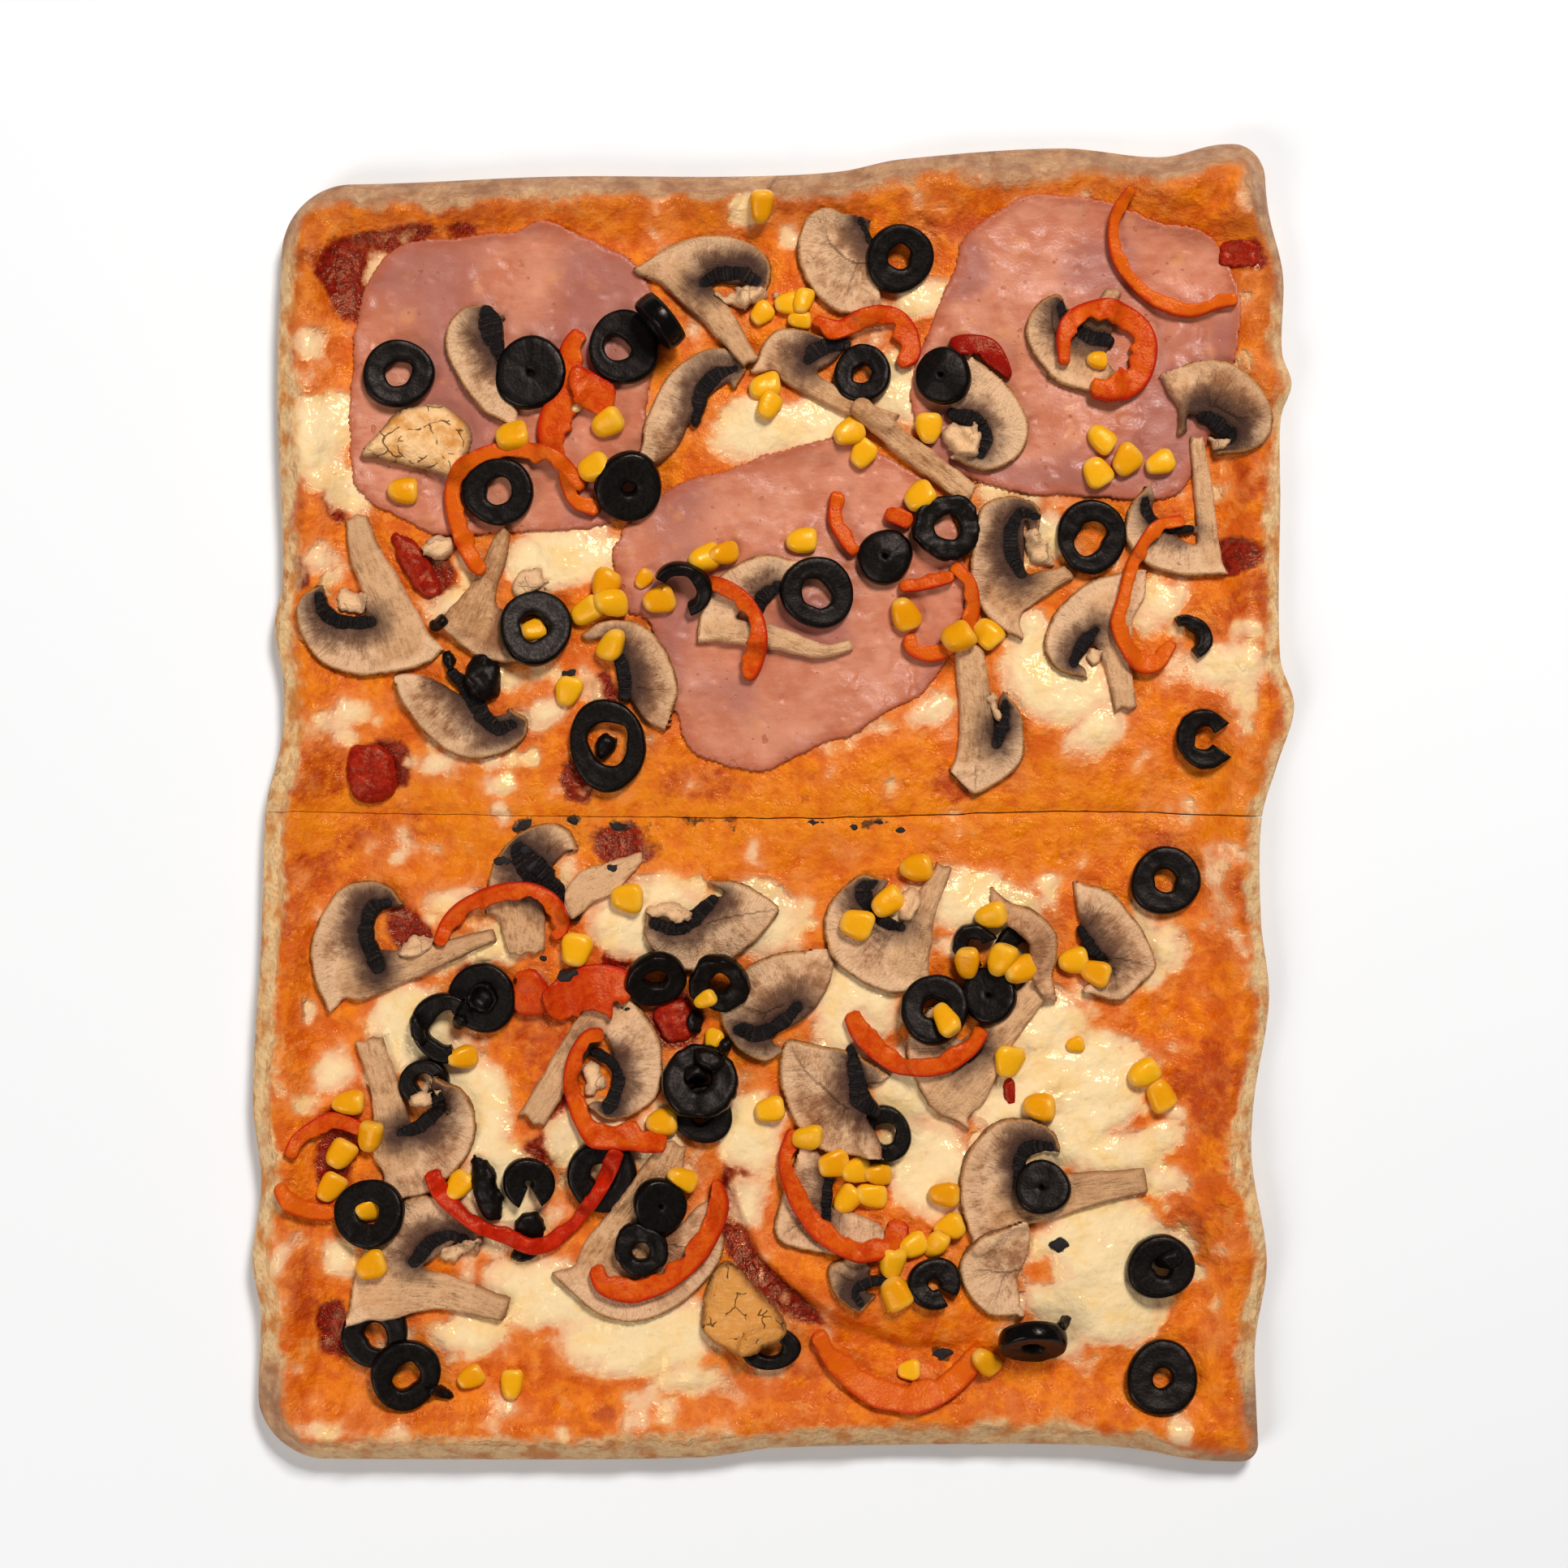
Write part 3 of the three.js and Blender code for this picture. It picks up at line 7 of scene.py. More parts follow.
import bpy
import numpy as np
from bpy.props import EnumProperty, FloatProperty, FloatVectorProperty, PointerProperty
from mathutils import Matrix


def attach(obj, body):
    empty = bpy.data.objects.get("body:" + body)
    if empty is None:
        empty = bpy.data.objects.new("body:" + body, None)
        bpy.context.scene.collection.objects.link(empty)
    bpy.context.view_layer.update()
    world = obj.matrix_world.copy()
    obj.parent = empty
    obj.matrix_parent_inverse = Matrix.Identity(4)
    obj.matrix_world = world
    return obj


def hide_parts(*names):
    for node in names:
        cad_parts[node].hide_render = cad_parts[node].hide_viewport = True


bl_info = {
    "name": "Vegetable flatbread pizza",
    "version": (1, 0, 0),
    "blender": (4, 5, 0),
    "location": "3D View > Sidebar > Pizza",
    "description": "Builds a rectangular tray pizza with its toppings",
    "category": "Mesh",
}

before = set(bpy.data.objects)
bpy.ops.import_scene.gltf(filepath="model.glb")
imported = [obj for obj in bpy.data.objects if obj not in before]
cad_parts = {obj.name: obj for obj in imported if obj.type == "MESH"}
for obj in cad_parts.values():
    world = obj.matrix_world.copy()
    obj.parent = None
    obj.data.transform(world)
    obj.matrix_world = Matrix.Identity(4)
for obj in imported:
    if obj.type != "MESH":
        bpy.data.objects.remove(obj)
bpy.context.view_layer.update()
# A millimetre in metres, and a metre in millimetres
MM, METRE = 0.001, 1000.0


# Smooth random fields


def smoothstep(low, high, value):
    """0 below low, 1 above high, and the cubic 3t^2 - 2t^3 between."""
    t = np.clip((value - low) / (high - low), 0.0, 1.0)
    return t * t * (3.0 - 2.0 * t)


# The side of the table of random values, and a shift that keeps the places in it above zero
LATTICE, LATTICE_SHIFT = 97, 1000.5
# Every other octave of rough noise is turned by the angle with this cosine and sine
OCTAVE_COSINE, OCTAVE_SINE = 0.8, 0.6
# Brings the sum of the octaves to about -1 to 1
OCTAVE_GAIN = 1.5


def blend_corners(values, i, j, share_x, share_y):
    """The values at two columns i and two rows j, mixed by the shares of the way between them."""
    low = values[i[0], j[0]] * (1 - share_x) + values[i[1], j[0]] * share_x
    high = values[i[0], j[1]] * (1 - share_x) + values[i[1], j[1]] * share_x
    return low * (1 - share_y) + high * share_y


def value_noise(x, y, wavelength, seed):
    """Random values from -1 to 1 on a square lattice, blended with a smoothstep between its points."""
    table = np.random.default_rng(seed).uniform(-1.0, 1.0, (LATTICE, LATTICE))
    u = np.asarray(x) / wavelength + LATTICE_SHIFT
    v = np.asarray(y) / wavelength + LATTICE_SHIFT
    i, j = np.floor(u).astype(int), np.floor(v).astype(int)
    columns, rows = [(at % LATTICE, (at + 1) % LATTICE) for at in (i, j)]
    return blend_corners(table, columns, rows, smoothstep(0.0, 1.0, u - i), smoothstep(0.0, 1.0, v - j))


def rough_noise(x, y, wavelength, seed, octaves=4):
    """Value noise at a wavelength plus its halves, each half as strong, scaled to about -1 to 1."""
    x, y = np.asarray(x), np.asarray(y)
    total, whole = 0.0, 0.0
    for octave in range(octaves):
        u, v = x, y
        if octave % 2:
            u, v = x * OCTAVE_COSINE - y * OCTAVE_SINE, x * OCTAVE_SINE + y * OCTAVE_COSINE
        strength = 0.5**octave
        total = total + strength * value_noise(u, v, wavelength / 2**octave, seed + octave)
        whole += strength
    return total / whole * OCTAVE_GAIN


# Plane geometry

# How many places of a curve are worked out between two of its points
STEPS_PER_SPAN = 24
# Signed distances that count as outside
OUTSIDE, FAR_OUTSIDE = -9.0, -60.0


def seen_from(x, y, centre_x, centre_y, turn):
    """Places as measured from a centre, along axes that are turned by an angle in degrees."""
    c, s = math.cos(math.radians(turn)), math.sin(math.radians(turn))
    return (x - centre_x) * c + (y - centre_y) * s, (y - centre_y) * c - (x - centre_x) * s


def turned(u, v, turn):
    """A pair of coordinates turned by an angle in degrees."""
    c, s = math.cos(math.radians(turn)), math.sin(math.radians(turn))
    return u * c - v * s, u * s + v * c


def signed_power(value, exponent):
    """The power of a value's size, with the value's sign."""
    return np.sign(value) * np.abs(value) ** exponent


def run_along(line):
    """How far along a line each of its points lies."""
    steps = np.hypot(np.diff(line[:, 0]), np.diff(line[:, 1]))
    return np.concatenate([[0.0], np.cumsum(steps)])


def smooth_path(points, count, closed=False):
    """A Catmull-Rom curve through the points, resampled at even steps of its length."""
    points = np.asarray(points, float)
    if closed:
        ring = np.vstack([points[-1:], points, points[:2]])
    else:
        ring = np.vstack([2 * points[0] - points[1], points, 2 * points[-1] - points[-2]])
    spans = len(ring) - 3
    t = np.linspace(0.0, spans, spans * STEPS_PER_SPAN + 1)
    k = np.minimum(t.astype(int), spans - 1)
    f = (t - k)[:, None]
    a, b, c, d = ring[k], ring[k + 1], ring[k + 2], ring[k + 3]
    curve = 0.5 * (2 * b + (c - a) * f + (2 * a - 5 * b + 4 * c - d) * f**2 + (3 * b - a - 3 * c + d) * f**3)
    length = run_along(curve)
    at = np.linspace(0.0, length[-1], count, endpoint=not closed)
    return np.stack([np.interp(at, length, curve[:, axis]) for axis in range(curve.shape[1])], 1)


def near_line(x, y, line):
    """For each place the distance to each point of a line, and the nearest point's number."""
    away = np.hypot(np.ravel(x)[:, None] - line[None, :, 0], np.ravel(y)[:, None] - line[None, :, 1])
    return away, away.argmin(1)


def right_of(line):
    """Unit vectors to the right of the direction of travel along a line."""
    ahead = np.gradient(line[:, :2], axis=0)
    ahead /= np.maximum(np.hypot(ahead[:, 0], ahead[:, 1]), 1e-9)[:, None]
    return np.stack([ahead[:, 1], -ahead[:, 0]], 1)


def beside_line(x, y, line, right):
    """What near_line says, and how far each place lies to the right of its nearest point."""
    away, nearest = near_line(x, y, line)
    px, py = np.ravel(x) - line[nearest, 0], np.ravel(y) - line[nearest, 1]
    return away, nearest, px * right[nearest, 0] + py * right[nearest, 1]


def bounds_of(points, margin):
    """The box (low x, high x, low y, high y) round some points, with a margin."""
    points = np.asarray(points, float)
    return (points[:, 0].min() - margin, points[:, 0].max() + margin,
            points[:, 1].min() - margin, points[:, 1].max() + margin)


def quarter_circle(depth, radius):
    """0 at an outline, 1 from a radius further in, and a quarter circle between."""
    reach = 1.0 - np.minimum(depth / radius, 1.0)
    return np.sqrt(1.0 - reach * reach)


def edge_round(depth, radius, foot=0.4):
    """From foot to 1 along the quarter circle of a radius in from an outline."""
    return foot + (1.0 - foot) * quarter_circle(depth, radius)


def blots(x, y, spots, ragged, wavelength, seed):
    """Signed distance in millimetres, about, inside a set of ellipses with ragged rims.
    A spot is (x, y, half width, half height, turn in degrees)."""
    wander = ragged * rough_noise(x, y, wavelength, seed)
    field = np.full(np.shape(x), FAR_OUTSIDE)
    for px, py, rx, ry, turn in spots:
        u, v = seen_from(x, y, px, py, turn)
        field = np.maximum(field, (1.0 - np.hypot(u / rx, v / ry)) * min(rx, ry) + wander)
    return field


# The crust

CRUST_WIDTH = 311.0
HALF_LENGTH = 199.0
DOUGH_THICKNESS = 10.5
# How far the rim rises, how far in its crest lies, and how far it spreads
RIM_RISE, RIM_CREST, RIM_SPREAD = 5.0, 9.0, 7.5
# The rounding of the side's top, the heights of the side's top and foot, and the rounding of the foot
SIDE_ROUND, SIDE_TOP, SIDE_FOOT, UNDERCUT = 7.0, 8.0, 4.5, 4.5
# The width of the cut at both ends and where along x it changes; how far and how often its line wanders
CUT_GAP_LEFT, CUT_GAP_RIGHT, CUT_CHANGE = 0.12, 0.3, (-70.0, 10.0)
CUT_WANDER, CUT_WAVELENGTH = 0.3, 5.0
# The grid of a half: its first lines from an outer edge and from the cut, how many lines lie between
# them, and how often its places are fitted to the outlines
EDGE_LINES = np.array([0.0, 0.4, 1.0, 1.8, 2.8, 4.0])
CUT_LINES = np.array([0.0, 0.35, 0.9, 1.7])
FIRST_FROM_EDGE, FIRST_FROM_CUT = 5.2, 2.8
GRID_COLUMNS, GRID_ROWS, FITTINGS = 252, 162, 5
# What the underside says in each attribute that the top takes from the fields
UNDERSIDE = {"cheese": OUTSIDE, "sauce": OUTSIDE, "burnt": OUTSIDE, "rim": 1.0, "yellow": 0.0, "stain": 0.0,
             "dust_and_shade": 0.0}

# Outlines of the left and right side as (y, x), and of the top, the bottom and the cut as (x, y)
LEFT_SIDE = [
    (-205, -158), (-185, -160), (-158, -159.4), (-142, -162), (-118, -159.2), (-92, -161.8), (-42, -159.2),
    (0, -157.5), (20, -152.8), (38, -152.3), (55, -155), (70, -152.5), (132, -154.2), (205, -151),
]
RIGHT_SIDE = [
    (-205, 150.5), (-186, 149.5), (-167, 149.2), (-142, 152.8), (-111, 148.2), (-92, 148.8), (-61, 153.5),
    (-36, 151), (-5, 151.2), (12, 156), (30, 161.3), (45, 157), (95, 157), (120, 157.2), (130, 160.5),
    (140, 157.5), (164, 157.8), (185, 153), (205, 152),
]
TOP_SIDE = [
    (-165, 192), (-123, 192.2), (-67, 194.5), (-11, 194.5), (20, 196), (39, 199.8), (89, 203.2),
    (120, 200.5), (139, 204.5), (165, 203),
]
BOTTOM_SIDE = [
    (-170, -203), (-111, -203.5), (-23, -203), (0, -200), (76, -198.8), (108, -199.8), (133, -203.8),
    (165, -204.3),
]
CUT_LINE = [(-165, -2.4), (-100, -3.4), (0, -4.6), (50, -3.6), (95, -2.5), (165, -4.6)]
# The radii of a half's outer corners, left and right
CORNERS = {"upper": (21.0, 10.0), "lower": (19.0, 6.0)}

# Broad risings: (x, y, half width, half height, turn in degrees, rise)
MOUNDS = [
    (94, -88, 24, 34, 10, 3.2), (92, -148, 28, 24, 0, 2.2), (66, -34, 20, 14, 0, 1.8),
    (28, -150, 42, 15, -14, 5.5), (-50, -168, 34, 16, 0, 1.6), (-78, -104, 16, 22, 0, 1.5),
    (4, 118, 20, 12, -20, 2), (-68, 74, 22, 13, 5, 1.8), (88, 28, 18, 16, 0, 1.8),
    (134, 186, 24, 10, -8, 7), (-30, -26, 30, 10, -8, 1.4),
]
# Slow waves over the dough: (rise, waves in a metre along x and along y, phase in degrees)
ROLLS = [(0.7, 9, 4, 20), (0.5, -5, 13, 130), (0.45, 17, 8, 250), (0.35, 12, -19, 60)]

# Ragged blots, each (x, y, half width, half height, turn in degrees): melted cheese, the places that
# it keeps off, tomato sauce, redder crumb, the greyer rim corners (grey dust at the upper ones, painted
# shade at the lower ones), and further down the burnt places
CHEESE = [
    (-4, 115, 19, 10, 8), (14, 116, 12, 11, 0), (-66, 75, 18, 10, 5), (38, 126, 10, 12, -6),
    (45, 155, 11, 6, 0), (66, 98, 7, 4, -10), (85, 82, 6, 7, 0), (56, 61, 5, 8, 0), (78, 54, 6, 6, 0),
    (86, 38, 17, 14, -20), (100, 22, 10, 7, 30), (119, 62, 7, 8, 0), (136, 42, 14, 8, -10),
    (49, 29, 9, 5, 20), (66, -31, 18, 11, -15), (88, -90, 28, 21, 20), (82, -70, 16, 14, 0),
    (48, -112, 15, 16, 0), (106, -108, 14, 9, 0), (121, -103, 9, 4.5, 10), (119, -116, 8, 4, -10),
    (121, -45, 7, 8, 0), (24, -62, 13, 16, 10), (100, -144, 24, 23, 20), (88, -165, 9, 7, -20),
    (125, -137, 6, 5, 0), (-40, -36, 20, 13, 0), (-6, -36, 14, 11, 0), (-112, -70, 14, 12, 30),
    (-94, -92, 12, 22, 12), (-86, -122, 13, 17, 0), (-66, -152, 24, 12, -8), (-44, -164, 26, 13, -4),
    (-26, -178, 12, 6, 0), (-90, -45, 15, 6, 10), (-136, -83, 7, 8, 0), (-135, -141, 5, 6, 0),
    (-93, -166, 9, 5, 0), (-7, -103, 10, 13, 0), (-8, -123, 7, 10, 0), (-101, -30, 7, 3.5, 0),
    (-141, 112, 8, 14, 0), (-135, 122, 4, 12, 0), (-131, 97, 5, 6, 0), (-143, 140, 5, 6, 0),
    (-97, 60, 9, 6, 0), (-140, 75, 5, 4, 0), (-70, 29, 7, 5, 0), (-82, 38, 6, 4, 0), (-130, 29, 6, 4, 0),
    (-104, 12, 6, 4, 0), (-84, 6, 5, 4, 0), (-8, 183, 6, 6, 0), (-58, -104, 12, 12, 0),
    (-36, -106, 8, 8, 0), (38, -34, 9, 8, 0), (8, -58, 8, 9, 0), (44, -86, 16, 12, 0),
]
BARE = [
    (-77, -77, 9, 13, 15), (81, -144, 5.5, 4.5, 0), (-62, -46, 5, 6, 0), (110, -20, 10, 7, 0),
    (145, 75, 10, 10, 0), (-10, 0, 60, 6, 0), (70, 2, 50, 7, 0), (60, -14, 50, 6, 0), (144, -80, 9, 40, 0),
    (145, 110, 8, 26, 0), (60, 178, 40, 7, -8), (128, 170, 26, 14, 0), (-70, 180, 60, 7, 0),
    (-152, -60, 8, 20, 0),
]
SAUCE = [
    (-131, 162, 9.5, 13, -8), (-119, 173.5, 17, 3.2, 12), (-53, 36, 5, 8, 20), (-61, 8, 7, 8, 0),
    (144, 77, 9, 6, 0), (-47, -13, 14, 6, -8), (-136, -163, 6, 10, 0), (-112, -42, 6, 11, 20),
    (-72, -108, 9, 6, 0), (-147, 71, 5, 6, 0), (-120, 12, 8, 8, 0), (70, -88, 4, 3, 0),
    (143, 169, 8, 4, -10), (-30, -68, 8, 9, 0), (-58, -97, 8, 6, 0), (-90, -52, 8, 4, 0),
    (-136, -108, 7, 11, 0), (-104, 66, 6, 10, 0), (-12, -116, 4, 6, 10), (-135, 91, 4, 7, 0),
    (-66, -92, 5, 9, 0), (-92, -154, 4, 3, 0), (-48, -48, 5, 4, 0),
]
STAINS = [
    (-147, 138, 6, 12, 0), (-148, 95, 5, 12, 0), (-120, -10, 14, 5, 15), (-150, -35, 6, 14, 0),
    (-142, -20, 9, 6, 0), (133, -88, 9, 14, 0), (139, -30, 8, 9, 0), (122, -14, 12, 5, -20),
    (148, 60, 8, 10, 0), (147, 100, 7, 8, 0), (-84, 22, 14, 9, 0), (-22, 6, 12, 4, 0), (60, 8, 14, 5, 0),
    (-70, -74, 12, 18, 0), (-104, -112, 10, 14, 0), (-145, -150, 6, 12, 0), (128, -128, 6, 9, 0),
    (8, -174, 8, 5, 0), (-52, -188, 5, 4, 0), (46, -180, 12, 4, 0), (6, 186, 18, 4, 0),
    (-96, 184, 24, 4, 0), (58, 178, 12, 6, 0), (-140, 12, 9, 12, 0),
]
# The greyer rim corners: grey dust at the two upper ones, and painted shade at the two lower ones, whose
# sides face away from the light
DUSTY_AND_SHADED = [(-158, -190, 18, 16, 0), (152, -196, 16, 16, 0), (158, 175, 9, 26, 0), (-154, 190, 12, 22, 0)]
# The middle of a bubble in the dough, and its lip as (bearing in degrees, distance) round it
BUBBLE = (42.0, -101.0)
# Bearings between which the lip rises to its full strength, and between which it dies away
LIP_START, LIP_END = (186.0, 206.0), (294.0, 268.0)
# Bearings between which a pool of sauce comes up along the lip, and between which it runs dry, and
# how far its field falls beyond them
POOL_START, POOL_END, POOL_FALL = (200.0, 188.0), (236.0, 262.0), 9.0
BUBBLE_LIP = [
    (188.7, 59.7), (204.8, 59.5), (220.4, 61.7), (237.6, 61.6), (257.3, 63.6), (276.7, 68.5), (290.3, 69.3),
]
BURNT = [
    (87.8, -135.8, 3, 2.2, 20), (52, -170.2, 3.2, 2, 0), (-77.8, -6.3, 3, 1.5, 20),
    (-62.8, -5, 2.4, 1.3, 0), (-48.8, -6.8, 2.6, 1.4, -20), (-83.5, -17.5, 3, 2, 0), (30, -6, 5, 1.1, 0),
    (-20, -5.4, 8, 1, 0), (-40, -6.6, 4, 0.9, 0), (-12, -9, 3, 1, -25),
]


def curve_through(points):
    """A smooth function through (at, value), by cubic pieces whose slopes are those of the neighbours."""
    at = np.array([p[0] for p in points], float)
    value = np.array([p[1] for p in points], float)
    before = np.maximum(np.arange(len(at)) - 1, 0)
    after = np.minimum(np.arange(len(at)) + 1, len(at) - 1)
    slope = (value[after] - value[before]) / (at[after] - at[before])

    def curve(where):
        i = np.clip(np.searchsorted(at, where, side="left") - 1, 0, len(at) - 2)
        span = at[i + 1] - at[i]
        t = np.clip((where - at[i]) / span, 0.0, 1.0)
        u = 1.0 - t
        ends = value[i] * u * u * (1 + 2 * t) + value[i + 1] * t * t * (3 - 2 * t)
        return ends + span * (slope[i] * t * u * u - slope[i + 1] * t * t * u)

    return curve


left_side = curve_through(LEFT_SIDE)
right_side = curve_through(RIGHT_SIDE)
top_side = curve_through(TOP_SIDE)
bottom_side = curve_through(BOTTOM_SIDE)
cut_line = curve_through(CUT_LINE)


def bubble_lip(x, y):
    """How far a place lies past the bubble's lip, how strong the lip is on that bearing, and the
    bearing in degrees."""
    bearing = np.degrees(np.arctan2(y - BUBBLE[1], x - BUBBLE[0])) % 360.0
    lip = np.interp(bearing, [p[0] for p in BUBBLE_LIP], [p[1] for p in BUBBLE_LIP])
    past = np.hypot(x - BUBBLE[0], y - BUBBLE[1]) - lip + 0.8 * value_noise(x, y, 9.0, 43)
    return past, smoothstep(*LIP_START, bearing) * smoothstep(*LIP_END, bearing), bearing


def cheese_field(x, y, inset):
    """Distance into the melted cheese: its patches, with droplets beside them and in a strip inside
    the rim, less the bare places."""
    patches = blots(x, y, CHEESE, ragged=3.0, wavelength=14.0, seed=11) + 0.3
    droplets = rough_noise(x, y, 10.0, 31, 2) * 5.0 - 3.1
    beside = smoothstep(-12.0, -3.0, patches)
    edge_strip = smoothstep(26.0, 14.0, inset) * smoothstep(5.0, 9.0, inset)
    cheese = np.maximum(patches, droplets - 1.6 * (1 - np.maximum(beside, 0.6 * edge_strip)))
    return np.minimum(cheese, 1.0 - blots(x, y, BARE, ragged=2.0, wavelength=9.0, seed=19))


def fold_and_sauce(x, y):
    """The groove along the bubble's lip, steeper on its inner side, and the distance into the sauce:
    its blots and a pool along the lip."""
    past, strength, bearing = bubble_lip(x, y)
    fold = strength * np.exp(-((past / np.where(past > 0, 6.0, 1.4)) ** 2))
    pool = 4.2 - np.abs(past - 3.0) - POOL_FALL * smoothstep(*POOL_END, bearing)
    pool = pool - POOL_FALL * smoothstep(*POOL_START, bearing)
    sauce = blots(x, y, SAUCE, ragged=2.6, wavelength=9.0, seed=47)
    return fold, np.maximum(sauce, np.where(strength > 0.02, pool, OUTSIDE))


def rim_field(x, y, inset):
    """1 at the outer edge and 0 a few millimetres in, over a width that wanders and is smaller at the
    right and at the upper left."""
    right = smoothstep(115.0, 140.0, x) * smoothstep(190.0, 170.0, y)
    upper_left = smoothstep(-125.0, -150.0, x) * smoothstep(-5.0, 10.0, y)
    width = 7.5 + 2.5 * value_noise(x, y, 30.0, 5) - 3.0 * right - 2.5 * upper_left
    return smoothstep(width + 4.5, width - 4.0, inset + 2.2 * rough_noise(x, y, 12.0, 7))


def crust_fields(x, y, inset):
    """What lies where on the crust. Cheese, sauce and burnt are signed distances in millimetres; the
    others go from 0 to 1."""
    fold, sauce = fold_and_sauce(x, y)
    stain = smoothstep(-5.0, 4.0, blots(x, y, STAINS, ragged=3.0, wavelength=12.0, seed=53))
    far_end = smoothstep(178.0, 186.0, y + 3.0 * value_noise(x, y, 20.0, 57))
    # Corners of the rim: grey dust at the upper two, painted shade at the lower two
    corners = smoothstep(-6.0, 5.0, blots(x, y, DUSTY_AND_SHADED, ragged=4.0, wavelength=16.0, seed=59))
    to_cut = np.abs(y - cut_line(x))
    return {"cheese": cheese_field(x, y, inset), "sauce": sauce, "rim": rim_field(x, y, inset), "fold": fold,
            "burnt": blots(x, y, BURNT, ragged=1.1, wavelength=3.0, seed=61),
            "yellow": smoothstep(26.0, 3.0, to_cut + 7.0 * value_noise(x, y, 25.0, 3)),
            "stain": stain, "dust_and_shade": np.maximum(far_end, corners)}


def dough_height(x, y, inset):
    """Thickness + four slow sine waves + a mound exp(-r^3) for each rising + a rounded rim."""
    height = np.full(np.shape(x), DOUGH_THICKNESS)
    for rise, along_x, along_y, phase in ROLLS:
        waves = (x * along_x + y * along_y) / METRE * 2 * math.pi
        height = height + rise * np.sin(waves + math.radians(phase))
    for mx, my, rx, ry, turn, rise in MOUNDS:
        u, v = seen_from(x, y, mx, my, turn)
        u, v = u / rx, v / ry
        height = height + rise * np.exp(-((u * u + v * v) ** 1.5))
    return height + RIM_RISE * np.exp(-(((inset - RIM_CREST) / RIM_SPREAD) ** 2))


def rim_relief(x, y, inset):
    """The rim's own relief: flaky streaks along it, soft lumps, and a crease that comes and goes."""
    flakes = value_noise(inset, (x - y) * 0.1, 2.6, 91) + 0.6 * value_noise(inset, (x + y) * 0.25, 4.2, 93)
    crease = inset - 5.0 - 2.2 * value_noise(x, y, 26.0, 97)
    crease = np.exp(-((crease / 0.9) ** 2)) * smoothstep(-0.1, 0.5, value_noise(x, y, 34.0, 99))
    return 0.2 * flakes + 1.3 * rough_noise(x, y, 9.0, 95, 3) - 0.9 * crease


def crust_top(x, y, inset, to_cut, fields):
    """A quarter circle up from the side to the dough, with the cheese's thickness, pitted and
    wrinkled relief, the rim's relief, and rounded lips along the cut and the fold."""
    cheese = smoothstep(-2.5, 3.0, fields["cheese"])
    swollen = smoothstep(0.0, 9.0, fields["cheese"])
    hollow = smoothstep(-1.0, 2.0, fields["sauce"]) * (1 - cheese)
    relief = cheese + (0.8 + 0.3 * rough_noise(x, y, 8.5, 75, 2)) * swollen - 0.5 * hollow
    relief = relief + 0.55 * rough_noise(x, y, 13.0, 71)
    relief = relief + 0.3 * (1 - 0.95 * swollen) * rough_noise(x, y, 4.4, 81, 3)
    relief = relief + fields["rim"] * rim_relief(x, y, inset) - 3.2 * fields["fold"]
    lip = (0.65 + 0.5 * value_noise(x, y, 11.0, 101)) * np.exp(-((to_cut / 1.5) ** 2))
    inner = dough_height(x, y, inset) + relief - lip
    return SIDE_TOP + (inner - SIDE_TOP) * quarter_circle(inset, SIDE_ROUND)


# The stack of toppings, as heights on one raster

# The side of a cell, the raster's first column and row, and how many it has
CELL = 0.6
RASTER_X, RASTER_Y = -171.0, -213.0
COLUMNS, ROWS = 571, 711
# What a soft bed holds where it isn't known yet, and what is taken as known
UNKNOWN, KNOWN_ABOVE = -1.0, -0.5
# How often the bed is carried on past its outline
FILL_PASSES = 4
# How deep a piece is pressed into what it lies on
SINK = 0.5


